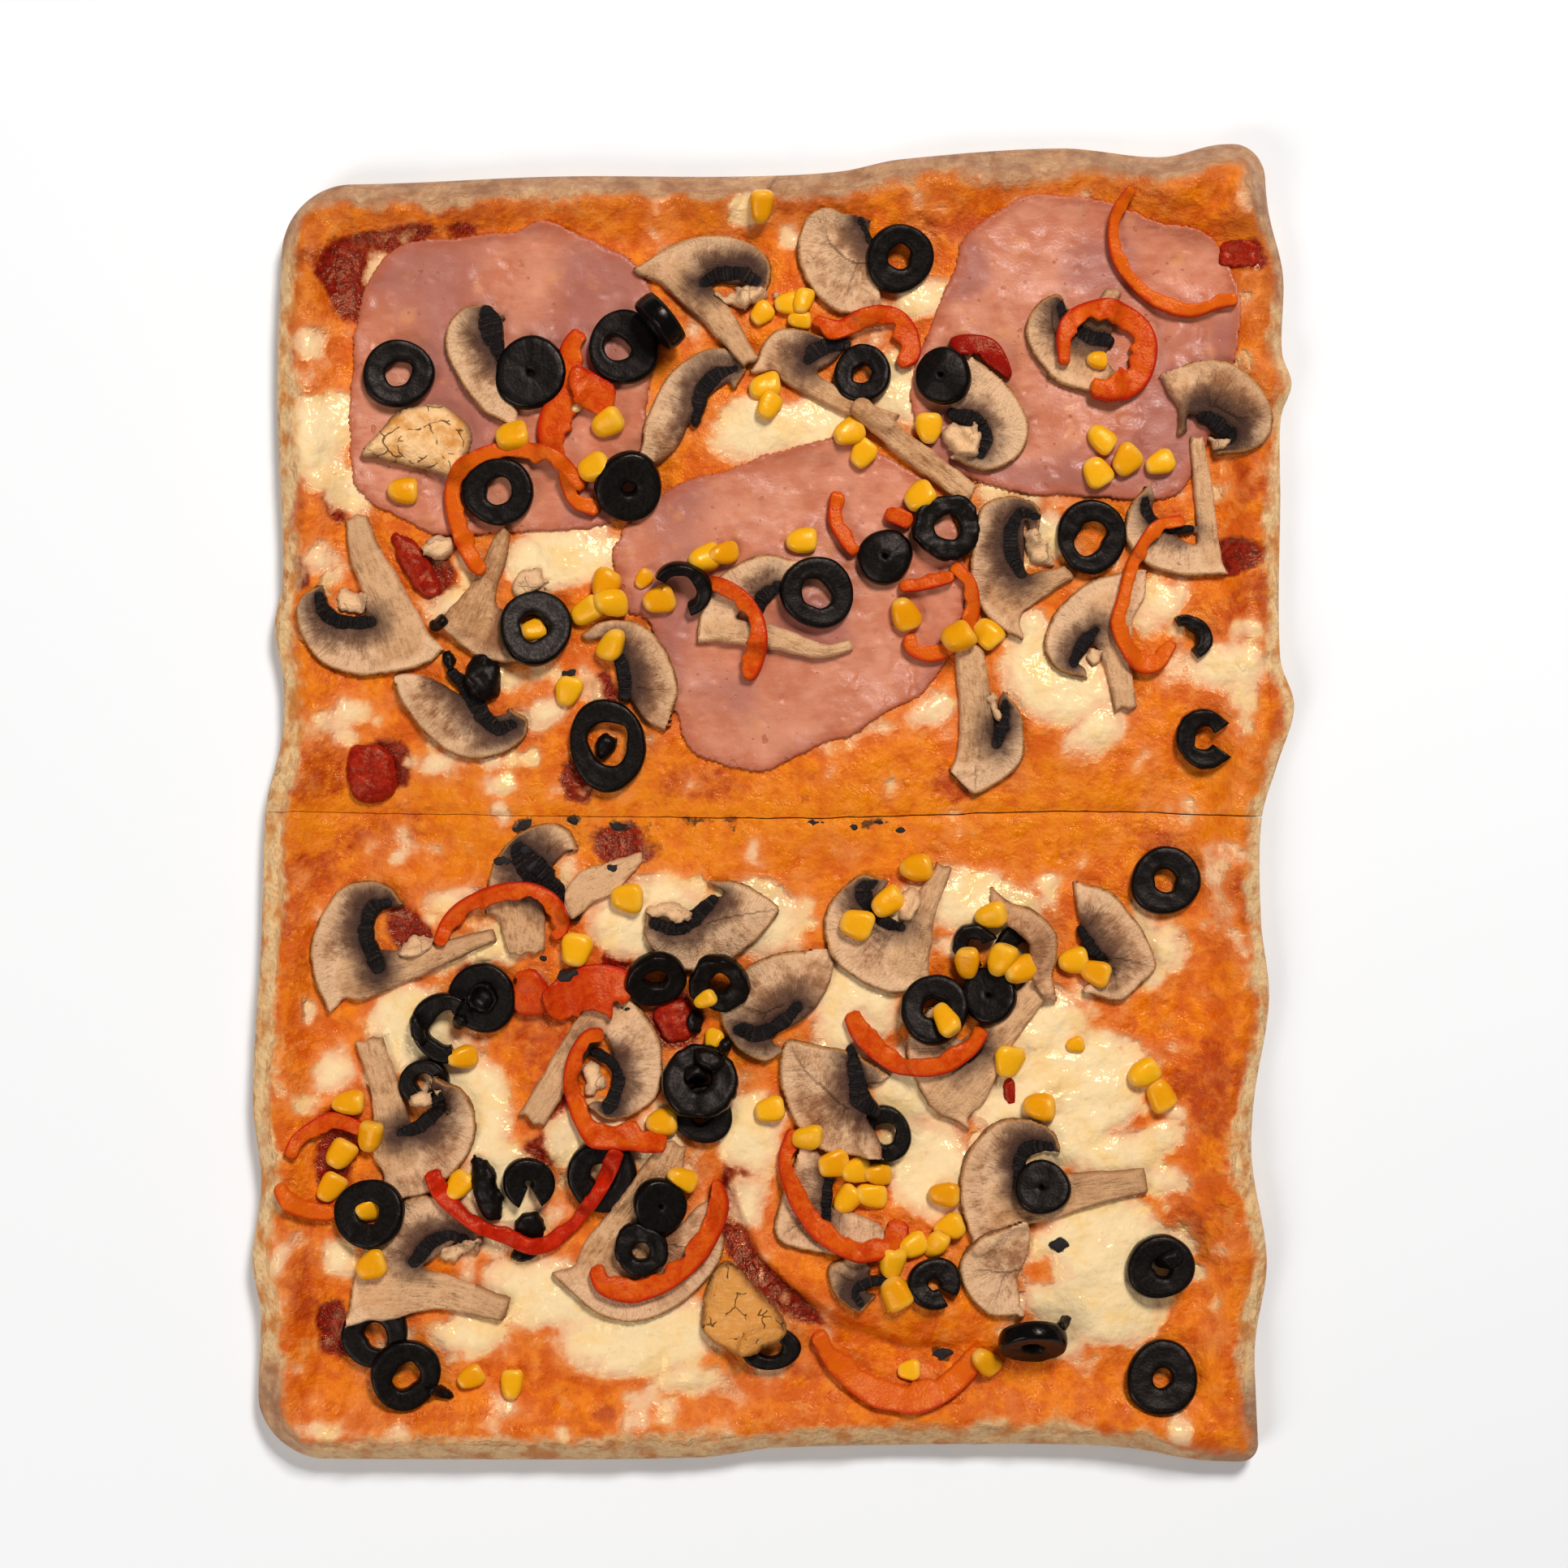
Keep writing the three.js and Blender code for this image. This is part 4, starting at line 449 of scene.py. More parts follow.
class Stack:
    """Height of everything laid so far, on a raster of the whole pizza."""

    def __init__(self):
        self.x = RASTER_X + CELL * np.arange(COLUMNS)
        self.y = RASTER_Y + CELL * np.arange(ROWS)
        x, y = np.meshgrid(self.x, self.y, indexing="ij")
        sides = np.minimum(x - left_side(y), right_side(y) - x)
        ends = np.where(y > cut_line(x), top_side(x) - y, y - bottom_side(x))
        inset = np.minimum(sides, ends)
        inside = np.maximum(inset, 0.0)
        fields = crust_fields(x, y, inside)
        top = crust_top(x, y, inside, np.abs(y - cut_line(x)), fields)
        self.height = np.where(inset > 0.0, top, 0.0)

    def window(self, low_x, high_x, low_y, high_y):
        """The columns and rows of a box, with two cells more on each side."""
        i0 = max(int((low_x - RASTER_X) / CELL) - 2, 0)
        i1 = min(int((high_x - RASTER_X) / CELL) + 4, COLUMNS)
        j0 = max(int((low_y - RASTER_Y) / CELL) - 2, 0)
        j1 = min(int((high_y - RASTER_Y) / CELL) + 4, ROWS)
        return slice(i0, i1), slice(j0, j1)

    def grid(self, window):
        """The places of the cells in a window."""
        return np.meshgrid(self.x[window[0]], self.y[window[1]], indexing="ij")

    def soft_bed(self, window, inside, passes):
        """What a soft piece hangs on: the largest of the stack and the mean of the bed's neighbours,
        repeated, so that it touches the high places and bridges the dips between them."""
        height = self.height[window]
        bed = np.where(inside, height, UNKNOWN)
        for _ in range(passes):
            bed = np.where(inside, np.maximum(height, known_mean(bed)[0]), bed)
        for _ in range(FILL_PASSES):
            mean, count = known_mean(bed)
            bed = np.where((bed > KNOWN_ABOVE) | (count < 0.5), bed, mean)
        return np.where(bed > KNOWN_ABOVE, bed, height)

    def plane(self, x, y, reach, steepest=0.3, share=75):
        """The plane that fits the stack best round a place, lifted to its high parts:
        (height there, slope along x, slope along y)."""
        window = self.window(x - reach, x + reach, y - reach, y + reach)
        gx, gy = self.grid(window)
        near = np.hypot(gx - x, gy - y) < reach
        u, v, z = gx[near] - x, gy[near] - y, self.height[window][near]
        terms = np.stack([np.ones_like(u), u, v], 1)
        (base, along_x, along_y), *_ = np.linalg.lstsq(terms, z, rcond=None)
        along_x, along_y = np.clip([along_x, along_y], -steepest, steepest)
        lift = np.percentile(z - (base + along_x * u + along_y * v), share)
        return base + lift, along_x, along_y

    def cover(self, window, top, inside):
        """Raises the stack to a new top where a piece lies."""
        self.height[window] = np.where(inside, np.maximum(self.height[window], top), self.height[window])


def box_sum(values):
    """Each cell with its eight neighbours, added up."""
    padded = np.pad(values, 1)
    wide = padded[:-2] + padded[1:-1] + padded[2:]
    return wide[:, :-2] + wide[:, 1:-1] + wide[:, 2:]


def known_mean(bed):
    """For each cell the mean of the known ones among it and its neighbours, and how many they are."""
    known = bed > KNOWN_ABOVE
    count = box_sum(known.astype(float))
    return box_sum(np.where(known, bed, 0.0)) / np.maximum(count, 1.0), count


def bilinear(values, window, stack, x, y):
    """A raster's value at any place in its window, blended from the four cells round it."""
    u = np.clip((x - stack.x[window[0].start]) / CELL, 0.0, values.shape[0] - 1.001)
    v = np.clip((y - stack.y[window[1].start]) / CELL, 0.0, values.shape[1] - 1.001)
    i, j = u.astype(int), v.astype(int)
    return blend_corners(values, (i, i + 1), (j, j + 1), u - i, v - j)


# Meshes


def cell_corners(index):
    """The four corners of each cell of a grid of numbers."""
    return np.stack([index[:-1, :-1], index[1:, :-1], index[1:, 1:], index[:-1, 1:]], -1)


def two_sheets(x, y, top, low):
    """The places of an upper sheet, then those of a lower one."""
    return np.concatenate([np.stack([x, y, z], -1).reshape(-1, 3) for z in (top, low)])


def tube_faces(index):
    """Faces between the neighbouring rings of a grid of numbers (ring, place round it)."""
    beside = np.roll(index, -1, axis=1)
    return np.stack([index[:-1], index[1:], beside[1:], beside[:-1]], -1).reshape(-1, 4)


def fan(middle, ring, backwards=False):
    """Triangles from a middle to a closed ring; their fourth corner repeats the third."""
    following = np.roll(ring, -1)
    here, there = (following, ring) if backwards else (ring, following)
    return np.stack([np.full(len(ring), middle), here, there, there], -1)


def write_piece(name, parts, material, nodes=()):
    """One object from parts (vertices in millimetres, faces, {attribute: values}), which rides the
    pizza and stands for its CAD nodes. A triangle is a face whose fourth corner repeats the third."""
    vertices = np.concatenate([part[0] for part in parts]) * MM
    offsets = np.cumsum([0] + [len(part[0]) for part in parts[:-1]])
    faces = np.concatenate([part[1] + offset for part, offset in zip(parts, offsets)])
    triangles = faces[:, 3] == faces[:, 2]
    sizes = np.where(triangles, 3, 4)
    starts = np.concatenate([[0], np.cumsum(sizes)[:-1]])
    keep = np.ones(faces.shape, bool)
    keep[triangles, 3] = False
    loops = faces[keep]
    mesh = bpy.data.meshes.new(name)
    mesh.vertices.add(len(vertices))
    mesh.vertices.foreach_set("co", vertices.astype(np.float32).ravel())
    mesh.loops.add(len(loops))
    mesh.loops.foreach_set("vertex_index", loops.astype(np.int32))
    mesh.polygons.add(len(faces))
    mesh.polygons.foreach_set("loop_start", starts.astype(np.int32))
    mesh.polygons.foreach_set("use_smooth", np.ones(len(faces), bool))
    mesh.update(calc_edges=True)
    mesh.validate()
    for key in parts[0][2]:
        values = np.concatenate([np.broadcast_to(part[2][key], (len(part[0]),)) for part in parts])
        layer = mesh.attributes.new(key, "FLOAT", "POINT")
        layer.data.foreach_set("value", values.astype(np.float32))
    piece = bpy.data.objects.new(name, mesh)
    bpy.context.collection.objects.link(piece)
    mesh.materials.append(material)
    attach(piece, "root")
    if nodes:
        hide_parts(*nodes)
    return piece


def rounded_corners(side, to_far, radii):
    """Square corners drawn in to round ones: a place within the radius of both sides moves along its
    ray from the corner's middle. Gives the new distances from the left and from the far side."""
    from_left, from_far = side.copy(), to_far.copy()
    for at_left, radius in zip((True, False), radii):
        corner = side if at_left else CRUST_WIDTH - side
        inside = (corner < radius) & (to_far < radius)
        u, v = radius - corner, radius - to_far
        scale = np.maximum(u, v) / np.maximum(np.hypot(u, v), 1e-9)
        drawn = radius - u * scale
        from_left = np.where(inside, drawn if at_left else CRUST_WIDTH - drawn, from_left)
        from_far = np.where(inside, radius - v * scale, from_far)
    return from_left, from_far


def crust_half(upper):
    """Upper and lower sheets of one grid from the cut to the far side, fitted to the outlines, and a
    strip round the edge between the sheets."""
    far_side = top_side if upper else bottom_side
    direction = 1.0 if upper else -1.0
    between = np.linspace(FIRST_FROM_EDGE, CRUST_WIDTH - FIRST_FROM_EDGE, GRID_COLUMNS)
    across = np.concatenate([EDGE_LINES, between, CRUST_WIDTH - EDGE_LINES[::-1]])
    between = np.linspace(FIRST_FROM_CUT, HALF_LENGTH - FIRST_FROM_EDGE, GRID_ROWS)
    out = np.concatenate([CUT_LINES, between, HALF_LENGTH - EDGE_LINES[::-1]])
    side, along = np.meshgrid(across, out, indexing="ij")
    to_far = HALF_LENGTH - along
    inset = np.minimum(np.minimum(side, CRUST_WIDTH - side), to_far)
    from_left, from_far = rounded_corners(side, to_far, CORNERS["upper" if upper else "lower"])
    x = from_left - CRUST_WIDTH / 2
    y = direction * (HALF_LENGTH - from_far)
    for _ in range(FITTINGS):
        x = left_side(y) + from_left / CRUST_WIDTH * (right_side(y) - left_side(y))
        gap = CUT_GAP_LEFT + (CUT_GAP_RIGHT - CUT_GAP_LEFT) * smoothstep(*CUT_CHANGE, x)
        cut = cut_line(x) + CUT_WANDER * value_noise(x, 0.0 * x, CUT_WAVELENGTH, 77) + direction * gap / 2
        y = cut + (1 - from_far / HALF_LENGTH) * (far_side(x) - cut)
    fields = crust_fields(x, y, inset)
    top = crust_top(x, y, inset, along, fields)
    low = SIDE_FOOT * (1.0 - quarter_circle(inset, UNDERCUT))
    below = x.size
    index = np.arange(below).reshape(x.shape)
    sheet = cell_corners(index).reshape(-1, 4)
    loop = np.concatenate([index[:-1, 0], index[-1, :-1], index[:0:-1, -1], index[0, :0:-1]])
    following = np.roll(loop, -1)
    wall = np.stack([loop, loop + below, following + below, following], -1)
    faces = np.concatenate([sheet, sheet[:, ::-1] + below, wall])
    values = {key: np.concatenate([fields[key].ravel(), np.full(below, value)])
              for key, value in UNDERSIDE.items()}
    values["inset"] = np.concatenate([inset.ravel(), np.zeros(below)])
    values["under"] = np.repeat([0.0, 1.0], below)
    return two_sheets(x, y, top, low), faces if upper else faces[:, ::-1], values


def slab(stack, field, bounds, passes, top_of, attributes_of, sink=SINK):
    """A piece of some thickness over any outline. field(x, y) is the distance in from its outline;
    the cells with a corner inside are kept, and their outer corners are drawn in along the field's
    slope onto the outline. The lower sheet lies on the soft bed, the upper one top_of(...) above."""
    window = stack.window(*bounds)
    x, y = stack.grid(window)
    inward = field(x, y)
    inside = inward > 0.0
    slope_x, slope_y = np.gradient(inward, CELL)
    pull = np.minimum(inward, 0.0) / np.maximum(slope_x**2 + slope_y**2, 0.25)
    moved_x = x - np.clip(pull * slope_x, -CELL, CELL)
    moved_y = y - np.clip(pull * slope_y, -CELL, CELL)
    bed = stack.soft_bed(window, inward > -CELL, passes) - sink
    depth = np.maximum(inward, 0.0)
    top = bed + top_of(x, y, depth)
    kept = inside[:-1, :-1] | inside[1:, :-1] | inside[1:, 1:] | inside[:-1, 1:]
    cells = cell_corners(np.arange(x.size).reshape(x.shape))
    sheet = cells[kept]
    fringe = np.pad(kept, 1)
    walls = []
    for corner, (di, dj) in enumerate(((0, -1), (1, 0), (0, 1), (-1, 0))):
        beside = fringe[1 + di:fringe.shape[0] - 1 + di, 1 + dj:fringe.shape[1] - 1 + dj]
        open_cells = cells[kept & ~beside]
        here, following = open_cells[:, corner], open_cells[:, (corner + 1) % 4]
        walls.append(np.stack([here, here + x.size, following + x.size, following], -1))
    faces = np.concatenate([sheet, sheet[:, ::-1] + x.size] + walls)
    used, faces = np.unique(faces, return_inverse=True)
    values = {}
    for key, value in attributes_of(x, y, depth).items():
        flat = np.broadcast_to(value, x.shape).ravel()
        values[key] = np.concatenate([flat, flat])[used]
    stack.cover(window, top, inside)
    return two_sheets(moved_x, moved_y, top, bed)[used], faces.reshape(-1, 4), values


# Ham

# The slices' outlines, listed clockwise as (x, y)
HAM_SLICES = {
    "upper_left": [(-130.8, 130), (-129, 151.8), (-126, 160.8), (-120.3, 169), (-112.8, 173.3),
        (-99.3, 174.5), (-89.8, 175.8), (-80.3, 176.8), (-71.3, 179.8), (-63, 177), (-53.5, 172.8),
        (-42.3, 166.3), (-34.8, 147.5), (-38.5, 127.5), (-39.8, 107.5), (-36, 100), (-48.5, 87.5),
        (-63.5, 84.5), (-83.5, 83.8), (-102.3, 82.5), (-113.5, 87.5), (-123, 91.8), (-126.8, 95.8),
        (-130, 102)],
    "upper_right": [(71, 184.3), (78, 187.8), (87.5, 187.8), (100.3, 186.3), (108.5, 183.5), (119.5, 178.8),
        (127, 177.8), (136.5, 173.3), (142.8, 160), (143.5, 147.5), (141.8, 135), (136.5, 117.5),
        (133.5, 110.3), (127.8, 98.8), (122, 94.3), (111.5, 93.8), (91.3, 95), (81.3, 95), (68.5, 97.5),
        (57, 101.3), (46.5, 108.8), (42.3, 122.5), (42.3, 130), (44.8, 139.5), (48.5, 147.8), (51.8, 156.8),
        (55.8, 165.8), (58.3, 174.8)],
    "middle": [(-50, 76.5), (-47.5, 82.3), (-45.8, 86.3), (-31, 98.3), (-13.8, 103.3), (0.8, 108.5),
        (11.8, 111.5), (20, 112.3), (26.5, 111.8), (39, 105), (49, 97.5), (56.5, 85), (59, 67.5),
        (56.5, 50), (46.5, 35), (36.5, 29.3), (30.3, 25.5), (24.5, 21), (16.3, 19), (6.8, 14.5), (2.3, 12),
        (-4.3, 10), (-13.8, 11.5), (-22.8, 14.5), (-27.8, 19.8), (-29.8, 27.5), (-33.5, 32.5), (-38.5, 55),
        (-46.3, 59.3), (-48.3, 67)],
}


def outline_field(outline, ragged, wavelength, seed, count=160):
    """The distance in from a closed outline that is listed clockwise, with a ragged rim, and its box."""
    line = smooth_path(outline, count, closed=True)
    right = right_of(np.vstack([line[-1:], line, line[:1]]))[1:-1]

    def field(x, y):
        away, _, beside = beside_line(x, y, line, right)
        inward = (away.min(1) * np.sign(beside)).reshape(np.shape(x))
        return inward + ragged * rough_noise(x, y, wavelength, seed)

    return field, bounds_of(line, 4.0)


def ham_slice(stack, outline, thickness, seed):
    """A thin slice: its thickness with a rounded rim, shallow dimples and a few long ripples."""
    field, bounds = outline_field(outline, ragged=0.9, wavelength=7.0, seed=seed)

    def top_of(x, y, depth):
        ripple = 0.25 * value_noise(x * 0.5, y, 16.0, seed + 5) + 0.05 * rough_noise(x, y, 4.5, seed + 9, 3)
        pits = -0.4 * smoothstep(0.65, 0.98, rough_noise(x, y, 5.0, seed + 13, 2))
        rounded = thickness * edge_round(depth, 1.6, 0.35)
        return np.maximum(rounded + (ripple + pits) * np.minimum(depth, 1.0), 0.5)

    def attributes_of(x, y, depth):
        return {"inset": depth, "tone": value_noise(x, y, 22.0, seed + 3)}

    return slab(stack, field, bounds, 5, top_of, attributes_of)


# Lumps, each (x, y, half width, half height, turn in degrees, rise)

TOMATOES = [
    (-124.6, 9.4, 7.5, 9.3, 8, 4.8), (-110.5, 73.2, 11.2, 4.3, -58, 3.4), (-30.5, -67.0, 6.2, 7.0, 20, 3.2),
    (143.4, 169.6, 6.3, 4.1, -5, 2.0), (72.3, -88.4, 1.9, 4.0, 8, 1.4),
]


def blob(stack, spot, seed, ragged=0.6, squareness=2.0, grain=4.0, look=None):
    """A lump: the distance in from a ragged superellipse, and a top that swells like a dome."""
    cx, cy, rx, ry, turn, rise = spot

    def field(x, y):
        u, v = seen_from(x, y, cx, cy, turn)
        u, v = np.abs(u) / rx, np.abs(v) / ry
        round_distance = (u**squareness + v**squareness) ** (1.0 / squareness)
        return (1.0 - round_distance) * min(rx, ry) + ragged * rough_noise(x, y, grain, seed)

    def top_of(x, y, depth):
        lumps = 0.35 * rough_noise(x, y, 2.6, seed + 4, 3) * np.minimum(depth, 1.0)
        return np.maximum(rise * edge_round(depth, min(rx, ry) * 0.75, 0.3) + lumps, 0.4)

    def attributes_of(x, y, depth):
        return {"inset": depth, "tone": value_noise(x, y, 3.0, seed + 7), **(look or {})}

    reach = max(rx, ry) + 2.0
    return slab(stack, field, (cx - reach, cx + reach, cy - reach, cy + reach), 6, top_of, attributes_of)


# Mushrooms

# Slices: (the node's number or None, skin line [(x, y, depth of flesh)] with the flesh on its right,
# stem [(x, y, width)], gills [(x, y, width)], how dark it is from -1 to 1)
MUSHROOM_SLICES = [
    (None, [(32.8, -138.8, 8), (16.5, -138.8, 14), (1, -134.5, 12), (2, -122.5, 14), (6.5, -110, 14)], [],
     [(17, -115.5, 3), (16.5, -122, 3.5), (16, -128.5, 3)], -0.2),
    (None, [(30.8, -152, 3), (26.5, -156.5, 5), (21.5, -154, 8), (17.5, -148.8, 11), (16.5, -142.5, 14),
     (21.5, -139.8, 13)], [], [(34, -146.3, 2.5), (28, -147.5, 3.5), (24.8, -150, 3), (26.8, -153.8, 2)],
     0.3),
    (1, [(-102.5, 46.8, 1.5), (-106.3, 43.3, 6), (-115.3, 40.8, 14), (-128, 39.5, 18), (-139.5, 43.3, 15),
     (-145.3, 51.5, 11), (-147.1, 59.3, 9), (-145.3, 63.8, 7), (-141.4, 66.3, 4)], [(-115.9, 51.6, 17),
     (-120.3, 64.3, 13), (-126.1, 76.5, 10), (-129, 88.3, 7)], [(-140, 64, 2.5), (-138.6, 59.5, 4.5),
     (-134, 56.3, 4.5), (-124.5, 55.8, 3.5)], -0.2),
    (2, [(-80.8, 29, 2.5), (-76, 25.5, 5), (-77.5, 19.8, 9), (-84, 15.3, 12), (-92.3, 13.6, 14),
     (-101.3, 16.3, 16), (-110.1, 24.3, 15), (-115.3, 31.8, 8), (-116.8, 36.3, 1)], [], [(-99.5, 40.3, 3.5),
     (-94.5, 35.3, 5), (-90, 27.5, 5), (-85.5, 23.2, 4.5), (-81, 24.5, 3.5)], 0.1),
    (None, [(-74.8, 43.8, 8), (-85.3, 43.3, 14), (-93, 45.8, 16), (-99.5, 51.5, 3)], [(-94.2, 56.7, 13),
     (-89.7, 66.9, 8), (-85.3, 78.4, 6), (-82.7, 84.4, 3)], [], 0.7),
    (None, [(-6.9, 134.6, 2), (-2.4, 143.5, 10), (2.7, 146.7, 13), (10.4, 145.8, 12), (17.4, 143.5, 8)],
     [(5.3, 133.3, 8), (21.2, 123.8, 6.5), (37.2, 117.4, 6)], [(10.5, 136.5, 3), (12.5, 139.5, 4.5),
     (16, 141.3, 4.5), (22, 141.8, 3.5)], 0.2),
    (None, [(101.5, 125.3, 10), (87.5, 129.8, 14), (81.2, 136.4, 14), (77.6, 142.8, 12), (78, 149.1, 10),
     (82.4, 154.9, 8), (87.5, 156.8, 6), (90.4, 153, 3)], [(95.3, 137.5, 14), (104.8, 158, 4.5)],
     [(88.3, 154, 2), (89.3, 149.5, 3.5), (93, 146, 4), (98.5, 143.5, 4.5), (103, 143, 4)], 0.1),
    (3, [(-83.3, 117.4, 7), (-90.3, 121.3, 10), (-97.4, 130.8, 13), (-101.5, 140.3, 15), (-100.5, 148, 14),
     (-96, 152.5, 11), (-89.8, 154, 7), (-84.3, 151.3, 3)], [], [(-88.5, 152, 4), (-87.5, 147.5, 7.5),
     (-86, 142, 5.5), (-84.5, 137.5, 3)], 0),
    (5, [(-41.3, 109, 9), (-39.4, 118.6, 12.5), (-35, 128.8, 13.5), (-28, 136.5, 13.5), (-19, 140.6, 11),
     (-12.5, 139.4, 7), (-8.5, 134, 5), (-11.3, 129.2, 3.5)], [], [(-12.5, 134, 2.5), (-18, 132, 4.5),
     (-22.3, 126.5, 5), (-24.3, 117.5, 2.5)], 0.1),
    (7, [(-42.5, 165.5, 1.5), (-34.3, 171, 10), (-22.8, 175.4, 14), (-10, 174.5, 14), (-2, 168.4, 8),
     (-1.8, 160, 7), (-7.5, 153.8, 5)], [(-29, 162.5, 11), (-17, 149.5, 9), (-7.2, 136.3, 5.5)],
     [(-21.5, 161, 3), (-17.5, 163.3, 4.5), (-11, 163.8, 4.5), (-6, 161.5, 3.5)], 0.1),
    (8, [(62, 137, 9), (69.7, 131.3, 17), (75.4, 124.3, 20), (78.3, 117.3, 19), (77.3, 109.6, 15),
     (72.2, 104.5, 10), (64.5, 102.3, 7), (55.6, 105.7, 4)], [], [(55, 120, 4), (60.5, 118.3, 6),
     (64.8, 113, 5), (63.5, 107.5, 3)], -0.5),
    (9, [(76, 50.5, 1.5), (68, 55.3, 8), (62.8, 61.8, 14), (60.3, 70.5, 16.5), (61.3, 80.3, 16),
     (63.5, 91, 14), (69.9, 94.5, 10), (76.9, 94.3, 7), (82, 90.4, 5), (81.3, 80.8, 2.5)], [(72, 63, 11),
     (90.9, 71.3, 5)], [(81, 88.5, 2), (76, 89.3, 3.5), (73, 84, 4.5), (73.3, 77, 4.5), (76.3, 71, 3)],
     0.2),
    (10, [(94.8, 38.8, 3), (87.8, 40.8, 6), (83.5, 46.4, 9), (84, 52.8, 12), (87.8, 60.5, 15),
     (95.4, 67.5, 16), (103, 70.5, 16), (108.8, 71.5, 12)], [(103, 57.9, 15), (106, 44, 8.5),
     (108.3, 29.5, 7)], [(99, 53.3, 2.5), (95.5, 49.5, 4.3), (92.3, 43.5, 3)], -0.4),
    (11, [(72.1, 33.6, 3), (76.3, 27.3, 7), (77.2, 19.6, 9), (76.3, 12.6, 13), (70.5, 6.8, 15),
     (62.2, 2.7, 12), (60.3, 3.6, 1.5)], [(60.6, 44.8, 9.3), (62.2, 29.2, 10.5), (62.9, 13.2, 12)],
     [(71.2, 31, 2.5), (70.3, 25, 4.8), (68.6, 18.5, 3)], -0.1),
    (None, [(126, 135, 2), (131.5, 136.8, 12), (136.8, 136.8, 18), (143, 134.5, 20), (148.8, 128.8, 18),
     (153.5, 120, 14), (152, 112.8, 10), (146.3, 108.3, 7), (138, 107.8, 4)], [(126.5, 130.5, 3),
     (126, 115, 3)], [(131.5, 119.5, 3.5), (135.5, 117.5, 5.5), (140.5, 113.5, 5)], 0.3),
    (None, [(138.8, 70.5, 2), (126, 70.3, 10), (114.5, 73.8, 12), (109, 80, 11), (108, 86.3, 9),
     (110.3, 93, 7), (114, 96.8, 4)], [(134.5, 76, 7), (133, 95, 6), (130.5, 113, 4.5)],
     [(114.3, 93.5, 2.5), (115.5, 89, 4), (118.5, 86.3, 3), (124, 84.5, 3), (128.5, 84.8, 2.5)], -0.2),
    (12, [(-23.6, 52.2, 2), (-22.7, 59.3, 9), (-17.6, 69.5, 13), (-9.9, 74.5, 14), (-2.3, 76.8, 13),
     (4.8, 75.2, 8)], [(-18.9, 53.5, 7), (-2.9, 51.6, 7.5), (14.3, 47.1, 4.5), (23.5, 48.7, 3)],
     [(-5.5, 59, 3.5), (-4, 63, 5), (0.8, 66.5, 4)], -0.4),
    (None, [(-58.5, 52.8, 3), (-52, 56.8, 6), (-42.5, 56, 10), (-36, 51, 13), (-31.5, 43.3, 15),
     (-29.4, 35, 15), (-31.5, 28.3, 10)], [], [(-49, 47, 3), (-46.8, 41, 4.5), (-46.2, 33.5, 4)], 0.2),
    (None, [], [(27, 121.3, 7), (60.3, 95, 8)], [], 0.2),
    (13, [(-138.3, -63, 1.5), (-141.8, -54.8, 10), (-142.8, -44, 15), (-140, -34.5, 14), (-133.8, -26, 11),
     (-125.5, -23.9, 8.5), (-119, -25.5, 6), (-115.3, -30, 3)], [(-128, -53.5, 15), (-108.9, -48.4, 8.5),
     (-87.2, -40.8, 4)], [(-119.8, -31, 3.5), (-124.3, -33, 4.8), (-125.9, -39, 4.6), (-124.5, -45, 4.6),
     (-122.2, -50, 5)], 0.2),
    (14, [(-88.8, -28.8, 13), (-87.8, -21, 14), (-83.3, -13.3, 15), (-77, -8, 14), (-69.3, -6, 10),
     (-63.5, -8.3, 6), (-61, -12.8, 3)], [(-78.3, -29.3, 16), (-76.3, -45.9, 11)], [(-79, -14, 5),
     (-75, -19.5, 9), (-70, -25, 7.5), (-65, -30, 4.5), (-61, -35, 3)], 0.3),
    (15, [(-20, -23.5, 1), (-10.5, -24.3, 6), (1, -31.3, 13), (-0.3, -36.3, 14), (-7.4, -44, 18),
     (-17.5, -50.3, 18), (-26.5, -52, 15), (-34.8, -48.5, 11), (-40, -41.5, 7), (-39.8, -35, 4)], [],
     [(-37, -37, 3), (-30, -38.6, 4.5), (-24, -34.5, 5), (-18.8, -29.7, 3.5)], -0.1),
    (16, [(1.5, -77.8, 3), (-3, -79.8, 6), (-10.5, -76.5, 10), (-16, -68.8, 13), (-16.3, -60, 18),
     (-8.8, -51, 22), (0.3, -46.5, 22), (9.3, -45.3, 16)], [], [(-10.5, -69.5, 4), (-5, -71.3, 5),
     (1.5, -68, 4.5), (7, -62.8, 4)], 0),
    (17, [(-44.5, -58.8, 12), (-36, -71.3, 15), (-34.3, -80.3, 14), (-36, -90, 12), (-42.5, -95.5, 9),
     (-50.8, -97.8, 6), (-56.5, -94.3, 3)], [(-50, -62, 12), (-56.5, -68, 9.5), (-74.8, -97.5, 9)],
     [(-56, -76.5, 3), (-51, -79.5, 3.5), (-48, -85, 3.8), (-50.8, -93.5, 4.5)], -0.1),
    (18, [(-103.3, -84.5, 4), (-96, -88.5, 6), (-92, -97, 8), (-92.8, -105, 12), (-97.3, -112.5, 16),
     (-106.3, -120.5, 16), (-114, -122, 8)], [(-117, -108, 14), (-120, -90, 9.5), (-125, -73.5, 8.5)],
     [(-103.5, -88.5, 2.5), (-103.3, -94, 4), (-109, -99.3, 4.2), (-115, -101.5, 3.5)], 0),
    (19, [(-131.5, -157.3, 4), (-129.3, -145, 14), (-123.5, -131.3, 18), (-114, -122.5, 20),
     (-105, -120.8, 14), (-96, -125.5, 8), (-90.3, -131.3, 6), (-90.8, -136.8, 4)], [(-120.3, -150.5, 17),
     (-102.5, -151.1, 11), (-83.4, -156.2, 7.5)], [(-111, -141.5, 4), (-107, -136.5, 4.5),
     (-101.5, -133.6, 3.5), (-95.5, -134.3, 2.5)], -0.2),
